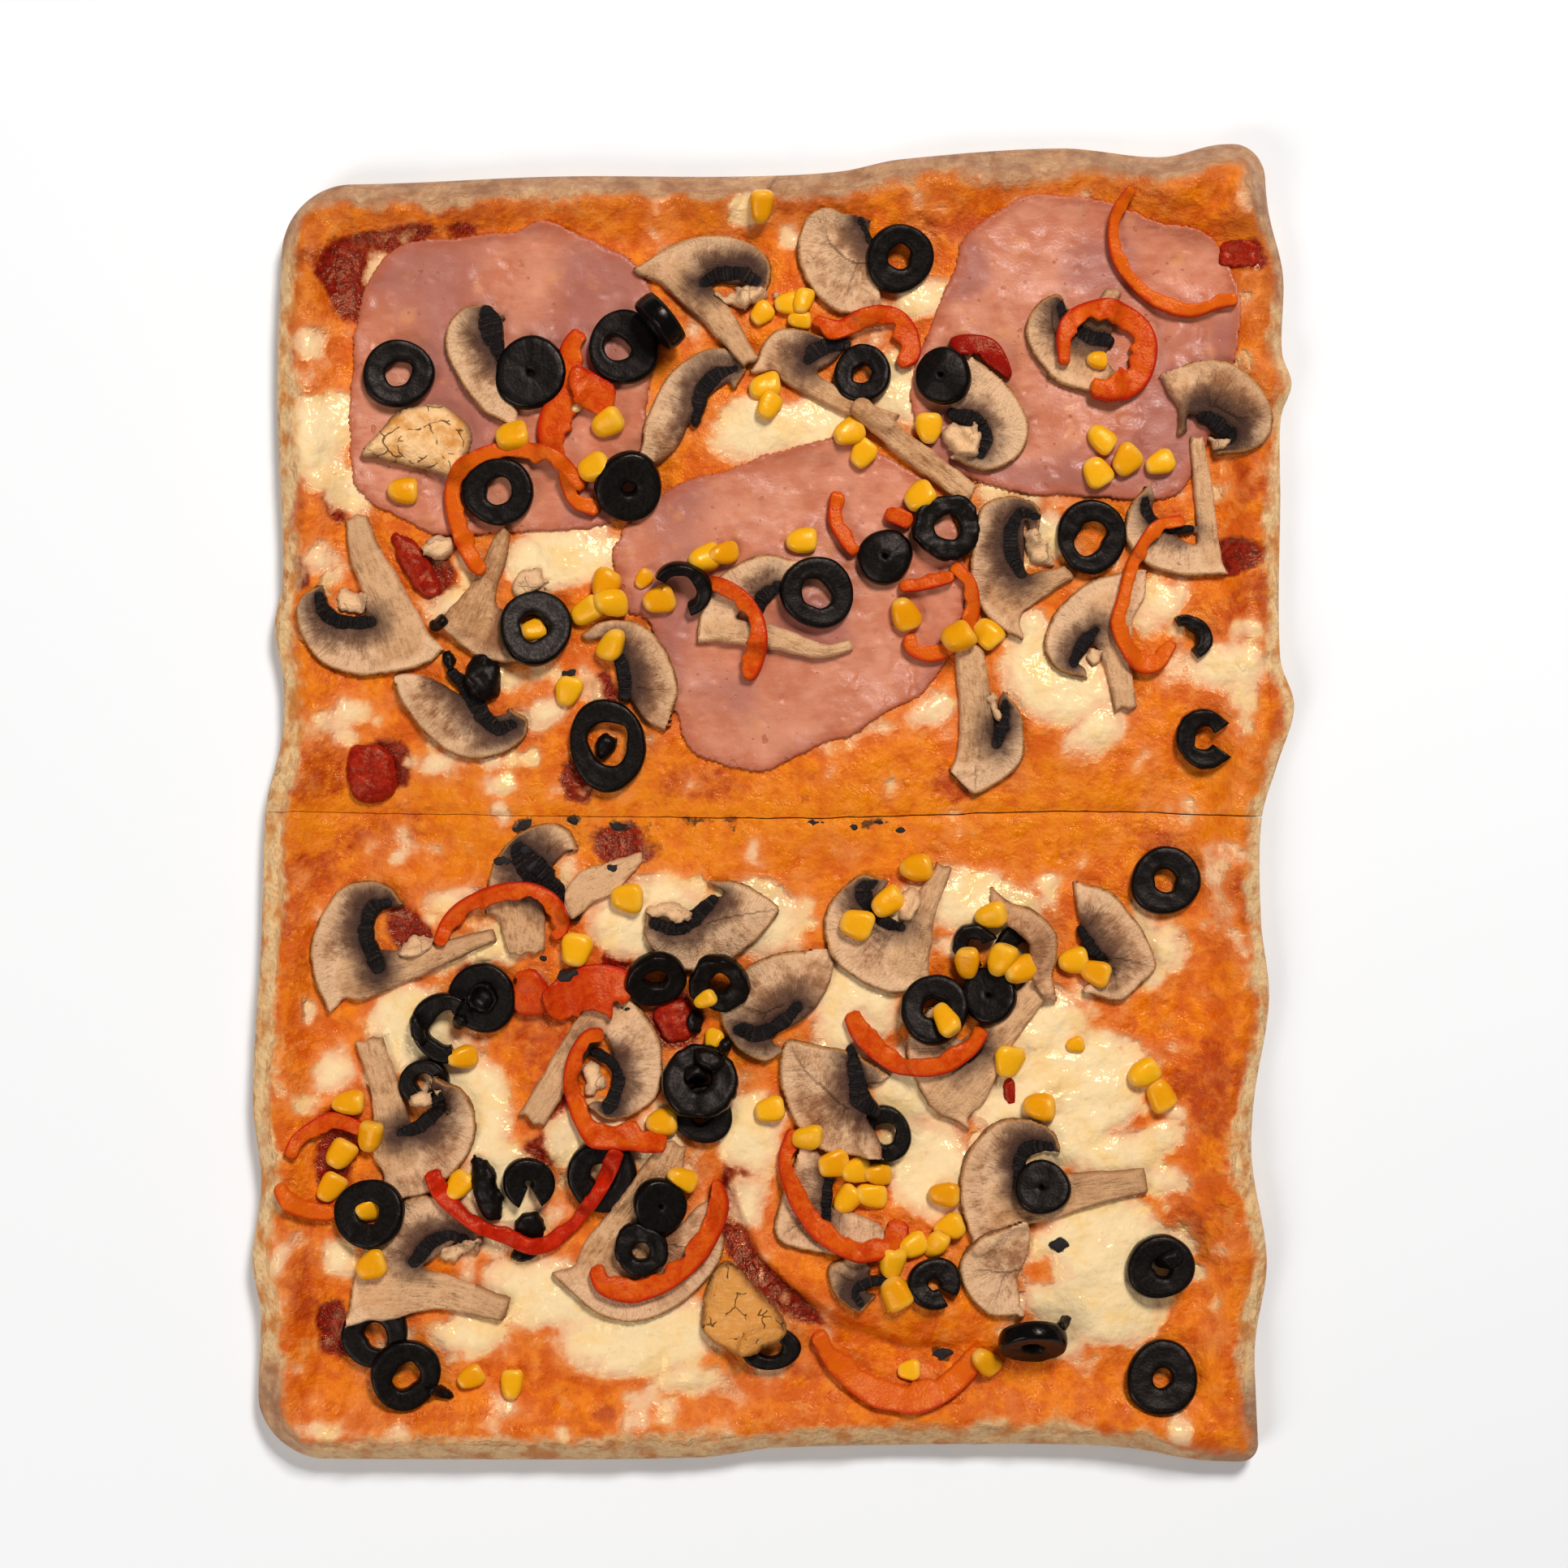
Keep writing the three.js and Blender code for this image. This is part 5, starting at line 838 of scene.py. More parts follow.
    (20, [(-18.5, -127.5, 12), (-15.3, -136.5, 14), (-19.3, -145.4, 18), (-28.8, -154.3, 20),
     (-41.5, -159.5, 20), (-54.4, -157.5, 16), (-68, -145.8, 1)], [(-52, -142, 18), (-36, -117, 13),
     (-31, -105, 8)], [], 0.1),
    (21, [(41.5, -58.5, 10), (34.5, -58.3, 16), (26.3, -54.8, 18), (18.5, -48.3, 16), (15.3, -38, 13),
     (17.9, -29.3, 11), (26.2, -22.3, 8), (32.5, -23, 5)], [(41.5, -48.3, 13), (45.9, -33, 8),
     (52.3, -19.6, 5)], [(31, -24.5, 2.5), (27.5, -26.5, 4.5), (29, -31, 5), (34, -36, 4),
     (39, -38.3, 2.5)], -0.2),
    (None, [(95.5, -24.6, 3), (103.8, -27.3, 11), (109.5, -33.5, 15), (114.5, -40.5, 18), (118, -50, 18),
     (114, -55, 14), (106.8, -61, 10), (98, -59, 5)], [], [(94.5, -39, 2.5), (97, -44, 4),
     (101.5, -48.5, 3)], -0.1),
    (22, [(59.3, -100.5, 1), (50.3, -93.8, 9), (44, -86.3, 14), (40.8, -77.5, 16), (41.5, -70, 14),
     (46.5, -65, 10)], [(56.2, -87.2, 20), (68.9, -71.3, 11), (82.3, -56, 8)], [(57, -80, 3),
     (60, -77.5, 3.5), (63, -75.5, 2.5)], -0.3),
    (23, [(27.8, -109.3, 6), (16.5, -108, 16), (7.8, -101.3, 20), (2.8, -90, 22), (1.5, -81.3, 24),
     (4, -73.3, 22), (12.5, -74.5, 14), (22.8, -76.5, 10), (34, -82.8, 4)], [], [(23.8, -76, 3),
     (25.3, -84, 5), (27, -91.5, 6.5), (31.5, -95, 3)], 0),
    (24, [(61, -135.3, 6), (58.5, -128.3, 12), (57.1, -119.3, 16), (59, -109, 15), (64.3, -101.3, 12),
     (70, -97.5, 9), (78.8, -97, 7), (85.8, -100.8, 5), (87.8, -105.8, 3)], [(73, -123, 16),
     (84, -121.5, 13), (95, -119, 11), (113.8, -116.4, 7.5)], [(84.5, -105.3, 3), (78.5, -105.8, 4.8),
     (75.5, -110.5, 4), (74.8, -117, 3)], 0.2),
    (None, [(67.6, -26, 1), (72.8, -30.5, 6), (80.4, -33, 8.5), (86.8, -39.4, 9), (87.4, -47, 9),
     (86.1, -53.4, 6.5), (86.8, -58.8, 3)], [], [], 0.5),
    (None, [(74.5, -157.8, 3), (66, -157.5, 10), (59.5, -151, 16), (57, -142.5, 18), (62.8, -133.8, 16),
     (72, -130, 6)], [], [], -0.2),
    (6, [(24.5, 150.5, 6), (19, 152, 14), (12.5, 157, 20), (8.3, 165, 22.5), (7.2, 173, 22.5),
     (9.5, 180, 20), (15, 183.5, 14), (22, 182, 8)], [], [(26.5, 180, 1.5), (29.8, 173.5, 2)], -0.1),
    (None, [], [(-62.5, -33, 5), (-58.5, -26.5, 10), (-52, -23.5, 10), (-46, -19.5, 6), (-41, -16.5, 3)],
     [], -0.8),
]

# Caps seen from outside: (the node's number, outline [(x, y)] listed clockwise, rise, how dark it is)
MUSHROOM_CAPS = [
    (4, [(-127.3, 107.6), (-121.5, 115), (-116.5, 120.2), (-109, 122.8), (-102.6, 123), (-96.5, 119),
     (-93.5, 113.8), (-95, 107), (-97.8, 100.5), (-105, 102), (-113.3, 104.2), (-121, 106)], 6.5, -0.2),
    (25, [(-15, -141.4), (-9.5, -145), (-6.1, -149), (-2, -152.5), (0.9, -156.7), (3.9, -162.4),
     (-1.6, -166.9), (-9.9, -169.7), (-16.9, -166.9), (-22.4, -161.5), (-21.8, -153.5), (-20.7, -149),
     (-18.5, -144)], 7.5, 0.7),
]

# White flaps and scraps of flesh: (x, y, half width, half height, turn in degrees, rise)
MUSHROOM_SCRAPS = [
    (57.5, 111.5, 5.4, 5.2, 0, 5.5), (-76, 68, 6, 3.5, 30, 3.0), (-110, -43.5, 5, 2.5, 15, 3.0),
    (-8.5, 157, 6.5, 2.8, 0, 3.2), (-103.3, 78.6, 5.4, 4.4, 5, 5.5), (-130.5, 62.5, 4.4, 3.2, -35, 2.6),
    (81, 80, 3.0, 6.2, 25, 3.2), (98.5, 43.8, 2.6, 3.4, -30, 2.6), (68, 30, 1.8, 3.6, 5, 3.0),
    (-34, -33.3, 6, 2.2, -12, 3.0), (-56, -84.5, 2.8, 5.6, 10, 3.0), (-109, -91.5, 5.2, 2.8, 25, 3.0),
    (-99.5, -139.3, 6.5, 2.6, 22, 3.2), (41.5, -31, 3, 4.2, -20, 3.2), (137, 111.3, 2.4, 2.0, 0, 3.0),
]


# What flesh that is far from skin, stem and gills says in each attribute
PLAIN_FLESH = {"gill": -20.0, "stem": OUTSIDE, "skin": 9.0, "share": 0.1, "fibre_u": 0.0, "fibre_v": 0.0}
# How far apart cap and stem may lie and still be joined by the fillet
FILLET = 2.5
# Shifts that keep the fibres of stem and gills apart from the cap's
STEM_SHIFT, GILL_SHIFT = 70.0, 150.0


class MushroomSlice:
    """A slice through a mushroom, lying flat. The cap is every place to the right of the skin line
    within the flesh's depth of one of its points; the stem and the gills are every place within half
    their width of their middle lines; cap and stem are joined with a small fillet."""

    def __init__(self, skin, stem, gills, thickness, tone, seed):
        self.skin = smooth_path(skin, 90) if skin else None
        self.stem = smooth_path(stem, 48) if stem else None
        self.gills = smooth_path(gills, 40) if gills else None
        self.thickness, self.tone, self.seed = thickness, tone, seed
        self.found = {}

    def cap(self, x, y):
        """Distances in from the skin and from where the flesh's depth ends, and the run along the skin."""
        line = self.skin
        away, nearest, beside = beside_line(x, y, line, right_of(line))
        run = run_along(line)
        to_end = np.minimum(run, run[-1] - run) - 0.6 * line[:, 2]
        allowed = (to_end > 0) | (to_end == to_end.max())
        inner = (line[None, allowed, 2] - away[:, allowed]).max(1)
        return away.min(1) * np.sign(beside), inner, run[nearest]

    def stalk(self, x, y):
        """Distance in from the stem's outline, whose lower end is cut across in a slight wave."""
        line = self.stem
        inside = (line[None, :, 2] / 2 - near_line(x, y, line)[0]).max(1)
        ahead = line[-1, :2] - line[-4, :2]
        ahead /= np.hypot(*ahead)
        past = (np.ravel(x) - line[-1, 0]) * ahead[0] + (np.ravel(y) - line[-1, 1]) * ahead[1]
        return np.minimum(inside, 0.5 - past + 0.5 * np.sin(np.ravel(x) * 1.3 + self.seed))

    def field(self, x, y):
        """Distance in from the whole outline. What is found on the way is kept for measure."""
        size = np.shape(x)
        if self.skin is None:
            total = self.stalk(x, y)
        else:
            skin_depth, inner, run = self.cap(x, y)
            total = np.minimum(skin_depth, inner)
            self.found.update(skin=skin_depth.reshape(size), run=run.reshape(size))
            if self.stem is not None:
                inside = self.stalk(x, y)
                self.found["stem"] = inside.reshape(size)
                fillet = np.maximum(FILLET - np.abs(total - inside), 0.0) ** 2 / (4 * FILLET)
                total = np.maximum(total, inside) + fillet
        total = total.reshape(size) + 0.35 * rough_noise(x, y, 5.0, self.seed)
        if self.gills is not None:
            away, nearest = near_line(x, y, self.gills)
            inside = (self.gills[None, :, 2] / 2 - away).max(1).reshape(size)
            inside = inside + 0.4 * rough_noise(x, y, 2.4, self.seed + 6, 2)
            self.found.update(gill=inside, along=run_along(self.gills)[nearest].reshape(size))
            total = np.maximum(total, inside)
        return total

    def measure(self, x, y):
        """Distances in millimetres: into the stem, into the gills, in from the skin; the share of the
        way from skin to gills; and the two directions of the fibres."""
        nothing = np.full(x.shape, OUTSIDE)
        if self.skin is None:
            stem_depth, gill_depth, skin_depth, share = -nothing, nothing * 3, -nothing, np.zeros(x.shape)
            fibre_u = np.zeros(x.shape)
        else:
            stem_depth = self.found.get("stem", nothing)
            gill_depth = self.found.get("gill", nothing * 3)
            skin_depth = np.maximum(self.found["skin"], 0.0)
            share = skin_depth / np.maximum(skin_depth + np.minimum(np.maximum(-gill_depth, 0.0), 9.0), 0.5)
            share = share * (1.0 - 0.75 * smoothstep(-3.5, 1.0, stem_depth))
            fibre_u = self.found["run"]
        fibre_v = skin_depth
        if self.stem is not None:
            _, nearest, beside = beside_line(x, y, self.stem, right_of(self.stem))
            inside = stem_depth > -0.2
            fibre_u = np.where(inside, beside.reshape(x.shape) + STEM_SHIFT, fibre_u)
            fibre_v = np.where(inside, (nearest * 0.6).reshape(x.shape), fibre_v)
        if self.gills is not None:
            fibre_u = np.where(gill_depth > -0.4, self.found["along"] + GILL_SHIFT, fibre_u)
        return stem_depth, gill_depth, skin_depth, share, fibre_u, fibre_v

    def top_of(self, x, y, depth):
        """The thickness with a rounded rim: sunk ribbed gills, a raised stem, a slow curl of the whole
        slice, and furrows along the fibres that stop at the seams."""
        stem_depth, gill_depth, _, _, fibre_u, fibre_v = self.measure(x, y)
        seed = self.seed
        gill = smoothstep(-0.5, 0.8, gill_depth)
        groove = np.exp(-((gill_depth / 0.5) ** 2))
        relief = 0.28 * rough_noise(x, y, 5.0, seed + 2, 3) - 0.6 * gill - 0.5 * groove
        relief = relief + 0.4 * smoothstep(0.0, 3.0, stem_depth) * (1 - gill)
        ribs = 0.35 * gill * np.sin(fibre_u * 4.6 + value_noise(x, y, 4.0, seed) * 2)
        curl = 0.7 * value_noise(x, y, 18.0, seed + 31)
        seam = np.minimum(np.abs(stem_depth + 0.2), np.abs(gill_depth + 0.4))
        furrow = 0.16 * value_noise(fibre_u, fibre_v * 0.25, 1.8, seed + 41) * smoothstep(0.4, 1.8, seam)
        rise = self.thickness * edge_round(depth, 1.2, 0.5)
        return np.maximum(rise + (relief + ribs + curl + furrow) * np.minimum(depth, 1.0), 0.8)

    def attributes_of(self, x, y, depth):
        names = ("stem", "gill", "skin", "share", "fibre_u", "fibre_v")
        tone = self.tone + 0.35 * value_noise(x, y, 9.0, self.seed + 17)
        return {"inset": depth, **dict(zip(names, self.measure(x, y))), "tone": tone, "dome": 0.0}


def mushroom_slice(stack, skin, stem, gills, thickness, tone, seed):
    """The slice as a slab over everything that it shows."""
    shape = MushroomSlice(skin, stem, gills, thickness, tone, seed)
    bounds = bounds_of([place[:2] for place in skin + stem + gills], 12.0)
    return slab(stack, shape.field, bounds, 14, shape.top_of, shape.attributes_of, sink=0.7)


def mushroom_cap(stack, outline, rise, tone, seed):
    """A cap seen from outside: a low dome over its outline, with slow folds and fine wrinkles."""
    field, bounds = outline_field(outline, ragged=0.5, wavelength=5.0, seed=seed, count=90)

    def top_of(x, y, depth):
        folds = 0.8 * value_noise(x, y, 9.0, seed + 3) + 0.4 * rough_noise(x, y, 3.2, seed + 4, 3)
        return np.maximum(rise * edge_round(depth, 7.0, 0.4) + folds * np.minimum(depth, 1.0), 0.4)

    def attributes_of(x, y, depth):
        return dict(PLAIN_FLESH, inset=depth, tone=tone + 0.4 * value_noise(x, y, 6.0, seed + 7), dome=1.0)

    return slab(stack, field, bounds, 6, top_of, attributes_of)


# Peppers

# Strips: (the node's number or None, middle line [(x, y, width)], kind). The kinds are 0 red with its
# skin at the outer side, down to -1 all skin, 1 the darkest red, 2 orange.
PEPPER_STRIPS = [
    (1, [(-59.5, 145.5, 5), (-63, 139.5, 6.5), (-62, 131.3, 8), (-63.5, 125, 9.5), (-67.3, 118.8, 10),
     (-68.5, 111.3, 8.5), (-66, 106.3, 6)], 0),
    (1, [(-63, 130.5, 7), (-59.8, 130, 9), (-53.5, 125.5, 11), (-49, 124.5, 8)], 0),
    (2, [(-59, 97, 4), (-64.8, 104.5, 4.5), (-70.5, 107.5, 4.8), (-78.3, 109, 5), (-86, 108.5, 5),
     (-92.3, 106, 5), (-96.8, 101.5, 5), (-99.3, 95.5, 5), (-97.3, 84.8, 5), (-92.3, 74.5, 6),
     (-89.5, 70.8, 3)], 2),
    (2, [(-65.5, 102, 3), (-61.8, 93.8, 4.5), (-54, 90.5, 4.5)], 2),
    (None, [(12, 149, 4), (20.3, 146.3, 6), (27.8, 149.5, 6), (35.3, 150.5, 6), (40.3, 146.3, 6.5),
     (42, 138.8, 6), (38.5, 135, 3)], 0),
    (None, [(54, 140.5, 5), (60, 141.5, 6.5), (65.5, 140.2, 7), (69.3, 136.3, 5.5), (72.6, 131.3, 2.5)], 1),
    (3, [(89.0, 134.8, 4), (90.2, 146.2, 6), (97.0, 151.6, 6.3), (105.5, 151.8, 6.3), (113.2, 146.5, 6.3),
     (114.6, 138.5, 7.2), (111.2, 131.2, 8.5), (104.8, 128.0, 9), (99.5, 127.8, 7), (97.2, 128.0, 5)], 0),
    (4, [(109.8, 188.8, 3), (105.5, 181.8, 4), (104.8, 173.3, 4), (107.3, 165.8, 4), (113, 159.3, 4.3),
     (120, 154.3, 4.3), (127.8, 152, 4.2), (136.5, 154.3, 4), (142.5, 154.8, 3)], 2),
    (5, [(126.5, 87.3, 4), (118.3, 85.3, 4), (114, 80.3, 4), (110, 72.5, 4), (107.3, 63, 4.3),
     (105.5, 55.3, 4.5), (108.3, 48.3, 5), (112.5, 43.3, 5.5), (118, 43.5, 5), (123, 50, 3.5)], 2),
    (None, [(19.5, 96.3, 4), (18.8, 88, 4.5), (21.3, 82.3, 4.5), (25.3, 77, 4)], 0),
    (6, [(55.3, 73.8, 4), (59.8, 68, 4.3), (61.3, 61, 4.5), (59.8, 54, 4.5), (55.3, 49, 5),
     (48.8, 46.3, 5.5), (43, 48.3, 5.5), (41.8, 52.3, 4)], 2),
    (None, [(34.3, 90, 5), (42.5, 86.5, 5)], 0),
    (None, [(38.5, 66.8, 3.5), (45.8, 67.8, 4.5), (55.3, 69.8, 3.5)], 0),
    (7, [(-20.8, 68.3, 4.5), (-15, 66.3, 5), (-9.3, 62.5, 5), (-5.5, 56.8, 5), (-4.8, 49.8, 5.5),
     (-6.8, 42.8, 6.5), (-8.8, 38.3, 5)], 0),
    (8, [(-103.5, -43.5, 3.5), (-100.3, -36.5, 5), (-93.3, -30.8, 5.5), (-83, -27.3, 5.5),
     (-73.8, -27.3, 5.5), (-66.8, -32.3, 5), (-65.3, -38.5, 4.5), (-68.3, -41.5, 3)], 0),
    (None, [(-77.5, -51.5, 7), (-75.5, -58, 12), (-74.5, -65.5, 9)], -0.6),
    (None, [(-70.5, -62.5, 8), (-64, -60, 13), (-56, -57.5, 15), (-49, -56, 12), (-43, -57.8, 5)], -0.65),
    (9, [(-52.5, -70.8, 4), (-57.5, -72, 4.5), (-61.5, -79.3, 5), (-62.5, -87.5, 5), (-59.5, -96.5, 6),
     (-54.5, -102, 7), (-46.3, -102.5, 8), (-39, -103.5, 8), (-33, -103.8, 6)], 0),
    (10, [(-105.5, -113, 5.5), (-102.5, -120, 5.3), (-93.3, -128.3, 4.5), (-82, -134, 4.5),
     (-71.8, -136.5, 5), (-64.5, -132.3, 4.5), (-56.5, -123, 4.5), (-51.3, -114, 5), (-48.3, -105.8, 5.5)],
     -1),
    (None, [(-18.3, -116.5, 3.5), (-17.3, -125, 6.5), (-21.8, -135, 7), (-30, -144.5, 6.5),
     (-41.3, -150, 6.5), (-51.3, -148.5, 6), (-55.5, -142.5, 4)], 0),
    (None, [(-127, -100.8, 3.5), (-136, -98, 5.5), (-145.3, -102.8, 5), (-148.8, -108.8, 4)], 0),
    (None, [(-152.5, -117, 3.5), (-148.3, -123, 5), (-139, -126.3, 5), (-135, -125.8, 3.5)], 2),
    (11, [(23.5, -64.5, 5), (27, -71, 6.5), (34.3, -78.3, 6), (42.3, -81.3, 5.5), (51.5, -80.3, 5.5),
     (59.8, -75.3, 5.5), (63.8, -69, 5)], 0),
    (None, [(6, -100.8, 4), (3.8, -111, 5.5), (7.5, -122, 6.5), (14, -131.3, 6.5), (22.5, -136.5, 6),
     (31, -137.3, 6.5), (37.3, -134.3, 7.5), (38.8, -129, 5.5)], 0),
    (12, [(12.8, -163.3, 4.5), (18.8, -172.5, 6.5), (29, -180.8, 7.5), (41.3, -183.3, 8.5),
     (50.5, -181.3, 8), (58.8, -175.5, 7), (63.8, -168.5, 5)], 2),
]


# The length of a step along a strip, the fewest steps, and how many sides its section has
STRIP_STEP, FEWEST_STEPS, STRIP_SIDES = 0.9, 8, 18


def pepper_strip(stack, line, thickness, kind, seed):
    """A strip carried along its middle line. Its section is a rounded box whose width tapers at the
    ends, with the skin on the outer side of the bend and a frilled inner side; every point stands on
    the soft bed below it."""
    length = run_along(np.array(line))[-1]
    steps = max(int(length / STRIP_STEP), FEWEST_STEPS)
    path = smooth_path(line, steps)
    right = right_of(path)
    moves = np.diff(path[:, :2], axis=0)
    outer = 1.0 if np.sum(np.cross(moves[:-1], moves[1:])) >= 0 else -1.0
    turn = np.linspace(0.0, 2 * math.pi, STRIP_SIDES, endpoint=False)
    box_across = signed_power(np.cos(turn), 0.36)
    box_up = 0.5 + 0.5 * signed_power(np.sin(turn), 0.34)
    share = np.linspace(0.0, 1.0, steps)
    ends = np.sqrt(np.clip(np.minimum(share, 1 - share) * length / 0.9, 0.3, 1.0))
    half = path[:, 2] / 2 * ends * (1.0 + 0.1 * value_noise(share * length, seed * 7.0, 5.0, seed))
    frill = 0.22 * path[:, 2] * rough_noise(share * length, seed * 5.0, 4.2, seed + 2, 3) * ends
    offset = half[:, None] * box_across[None, :]
    offset = offset - outer * frill[:, None] * np.clip(-box_across * outer, 0.0, 1.0)[None, :]
    x = path[:, 0, None] + right[:, 0, None] * offset
    y = path[:, 1, None] + right[:, 1, None] * offset
    window = stack.window(*bounds_of(path, path[:, 2].max() / 2 + 2.0))
    gx, gy = stack.grid(window)
    inward = (half[None, :] - near_line(gx, gy, path)[0]).max(1).reshape(gx.shape)
    bed = stack.soft_bed(window, inward > -CELL, 16) - SINK
    lean = 0.7 * value_noise(share * length, seed * 3.0, 16.0, seed + 5)
    tall = (thickness * (0.45 + 0.55 * ends))[:, None] + 0.3 * rough_noise(x, y, 3.5, seed + 8, 3)
    z = bilinear(bed, window, stack, x, y) + box_up[None, :] * (tall + lean[:, None] * box_across[None, :])
    index = np.arange(x.size).reshape(x.shape)
    places = np.stack([x, y, z], -1)
    vertices = np.concatenate([places.reshape(-1, 3), [places[0].mean(0), places[-1].mean(0)]])
    faces = np.concatenate([tube_faces(index), fan(x.size, index[0]),
                            fan(x.size + 1, index[-1], backwards=True)])
    across = np.broadcast_to(box_across * outer, x.shape).ravel()
    stack.cover(window, bed + thickness * edge_round(np.maximum(inward, 0.0), 1.2), inward > 0.0)
    return vertices, faces, {"across": np.append(across, [0.0, 0.0]), "kind": float(kind)}


# Olives

# Slices: (the node's number or None, layer, x, y, radius, radius of the hole, options)
OLIVE_SLICES = [
    (None, "low", 76, -46, 9, 3.2, {}),
    (None, "low", 34, -102.2, 8.6, 3.0, {}),
    (None, "low", -22.2, -96, 9, 3.2, {}),
    (None, "low", -107.5, -86, 7.5, 2.5, {}),
    (None, "low", -123.2, -164, 10.1, 4, {}),
    (11, "low", -53.2, -114.2, 10.9, 4, {}),
    (None, "low", -76.2, -116.8, 7.9, 1.2, {"arc": (-62, 246)}),
    (None, "low", -1.5, -167.5, 9.2, 3.4, {"squash": 0.75}),
    (1, "top", -116.2, 132.5, 10.6, 3.8, {}),
    (2, "top", -75, 132.5, 11.1, 0.7, {}),
    (3, "top", -46, 140.2, 11.1, 3.8, {"hole_at": (-1.7, 0)}),
    (None, "top", -34.8, 147.2, 8.9, 3.4, {"turn": -50, "tip": 84, "height": 6.6}),
    (4, "top", -85, 96.2, 10.6, 3.8, {}),
    (5, "top", -45, 98, 10.5, 2, {"height": 6.5, "tip": 12, "turn": 30}),
    (6, "top", -74, 53.5, 11.2, 4, {}),
    (7, "top", -51.5, 18, 11.8, 5.2, {"squash": 1.2}),
    (None, "top", -28.5, 66, 9, 4.6, {"arc": (-70, 150), "tip": 25}),
    (8, "top", 38.5, 168, 10.4, 3.6, {"tip": 10, "turn": 20}),
    (None, "top", 27.5, 132.2, 8.9, 2.5, {}),
    (None, "top", 52.8, 131.5, 8.5, 0.5, {"dome": 2.6}),
    (None, "top", 12.8, 65, 11.1, 4, {}),
    (9, "top", 53, 85, 10.3, 3.8, {"ragged": 0.9}),
    (None, "top", 34.2, 76, 8.4, 0.5, {"dome": 2.6}),
    (10, "top", 97.8, 82.5, 11, 5.2, {}),
    (None, "top", 133.2, 20, 9.1, 3.5, {"arc": (35, 325), "ragged": 0.6}),
    (None, "top", 127, 50.8, 7.3, 3.6, {"arc": (-60, 120), "ragged": 0.5}),
    (16, "top", 120.8, -24, 10.5, 4.1, {}),
    (17, "top", 119.5, -177.5, 11.1, 3.1, {}),
    (18, "top", 117.8, -142.5, 9.9, 3, {"height": 6.5, "tip": 14, "turn": -90}),
    (None, "top", 79.7, -164.3, 10.2, 3.4, {"tip": 46, "turn": 6, "height": 6}),
    (None, "top", 48.8, -148, 8, 2.2, {"arc": (-30, 300)}),
    (None, "top", 49.5, -64, 10.5, 3.2, {"height": 7}),
    (None, "top", 66.8, -59.8, 8.3, 0.5, {}),
    (None, "top", 61.8, -43.5, 6.8, 2.2, {"arc": (20, 290), "ragged": 1.0}),
    (13, "top", -23.2, -86.5, 11.4, 3.4, {"height": 7.0, "ragged": 0.6}),
    (None, "top", -36.8, -53.8, 9.4, 3.6, {"tip": 24, "turn": 10, "squash": 0.95}),
    (None, "top", -16.2, -55.5, 9.2, 3.4, {"tip": 35, "turn": 15, "ragged": 0.8}),
    (12, "top", -90, -60, 10.5, 3.8, {}),
    (None, "top", -101.5, -68.5, 10.0, 4.6, {"arc": (60, 300), "squash": 1.1, "turn": -10}),
    (14, "top", -124.2, -126.8, 10.6, 3.8, {}),
    (15, "top", -114, -175.8, 10.7, 4, {}),
    (None, "top", -35.8, -123, 8.2, 0.5, {}),
    (None, "top", -41, -137.2, 8.3, 2.8, {"ragged": 0.8}),
    (None, "top", 82.5, -118.5, 8.3, 0.6, {}),
]

# Torn bits: (layer, x, y, half width, half height, turn in degrees, rise)
OLIVE_SCRAPS = [
    ("low", -88.8, -119.3, 4.2, 10.5, 18, 4.5), ("low", -75.6, -131, 4.4, 4.6, -12, 4.0),
    ("low", -77.3, -138.6, 4.6, 3.0, 24, 4.0), ("top", -90, -60, 4.6, 4.4, 0, 4.0),
    ("top", -96.5, -67, 3.2, 2.4, 30, 4.5), ("top", -51.9, 18, 3.3, 4.2, 0, 5.0),
    ("top", 122, -139.5, 5.0, 3.4, 12, 4.5), ("top", -19.5, -78, 5.4, 3.4, -12, 5.0),
    ("top", -24, -83.5, 3.6, 3.2, 20, 4.0), ("top", -15.5, -74.5, 2.2, 2.8, 0, 5.0),
    ("top", -89.8, 38.8, 5.2, 7.4, 10, 6.0), ("top", -103.3, 55.5, 3.0, 2.2, 30, 3.5),
    ("top", -100.5, 44, 2.2, 3.0, 0, 3.5), ("top", -24.2, -68.2, 2.5, 3.6, 0, 3.0),
    ("top", -109.5, -69.5, 2.2, 4.5, 15, 3.5), ("top", -104.5, -181, 4.5, 2.0, -30, 3.5),
    ("top", 89, -160, 2.4, 2.0, 0, 3.0),
]

# A slice tipped further than this stands upright, whatever the slope below it
STANDING = 60.0
# The sides of a whole slice, and the degrees of each side and the fewest sides of one along an arc
WHOLE_SIDES, DEGREES_PER_SIDE, FEWEST_SIDES = 60, 6.5, 12

# A slice's section from its hole (0) to its outside (1), and from its foot (0) to its top (1)
OLIVE_SECTION = [
    (0.06, 0.0), (0.5, 0.0), (0.93, 0.03), (1.0, 0.22), (1.03, 0.5), (1.0, 0.76), (0.95, 0.9), (0.86, 0.99),
    (0.7, 1.0), (0.5, 0.975), (0.3, 0.96), (0.12, 0.93), (0.02, 0.82), (0.0, 0.45), (0.0, 0.12),
]


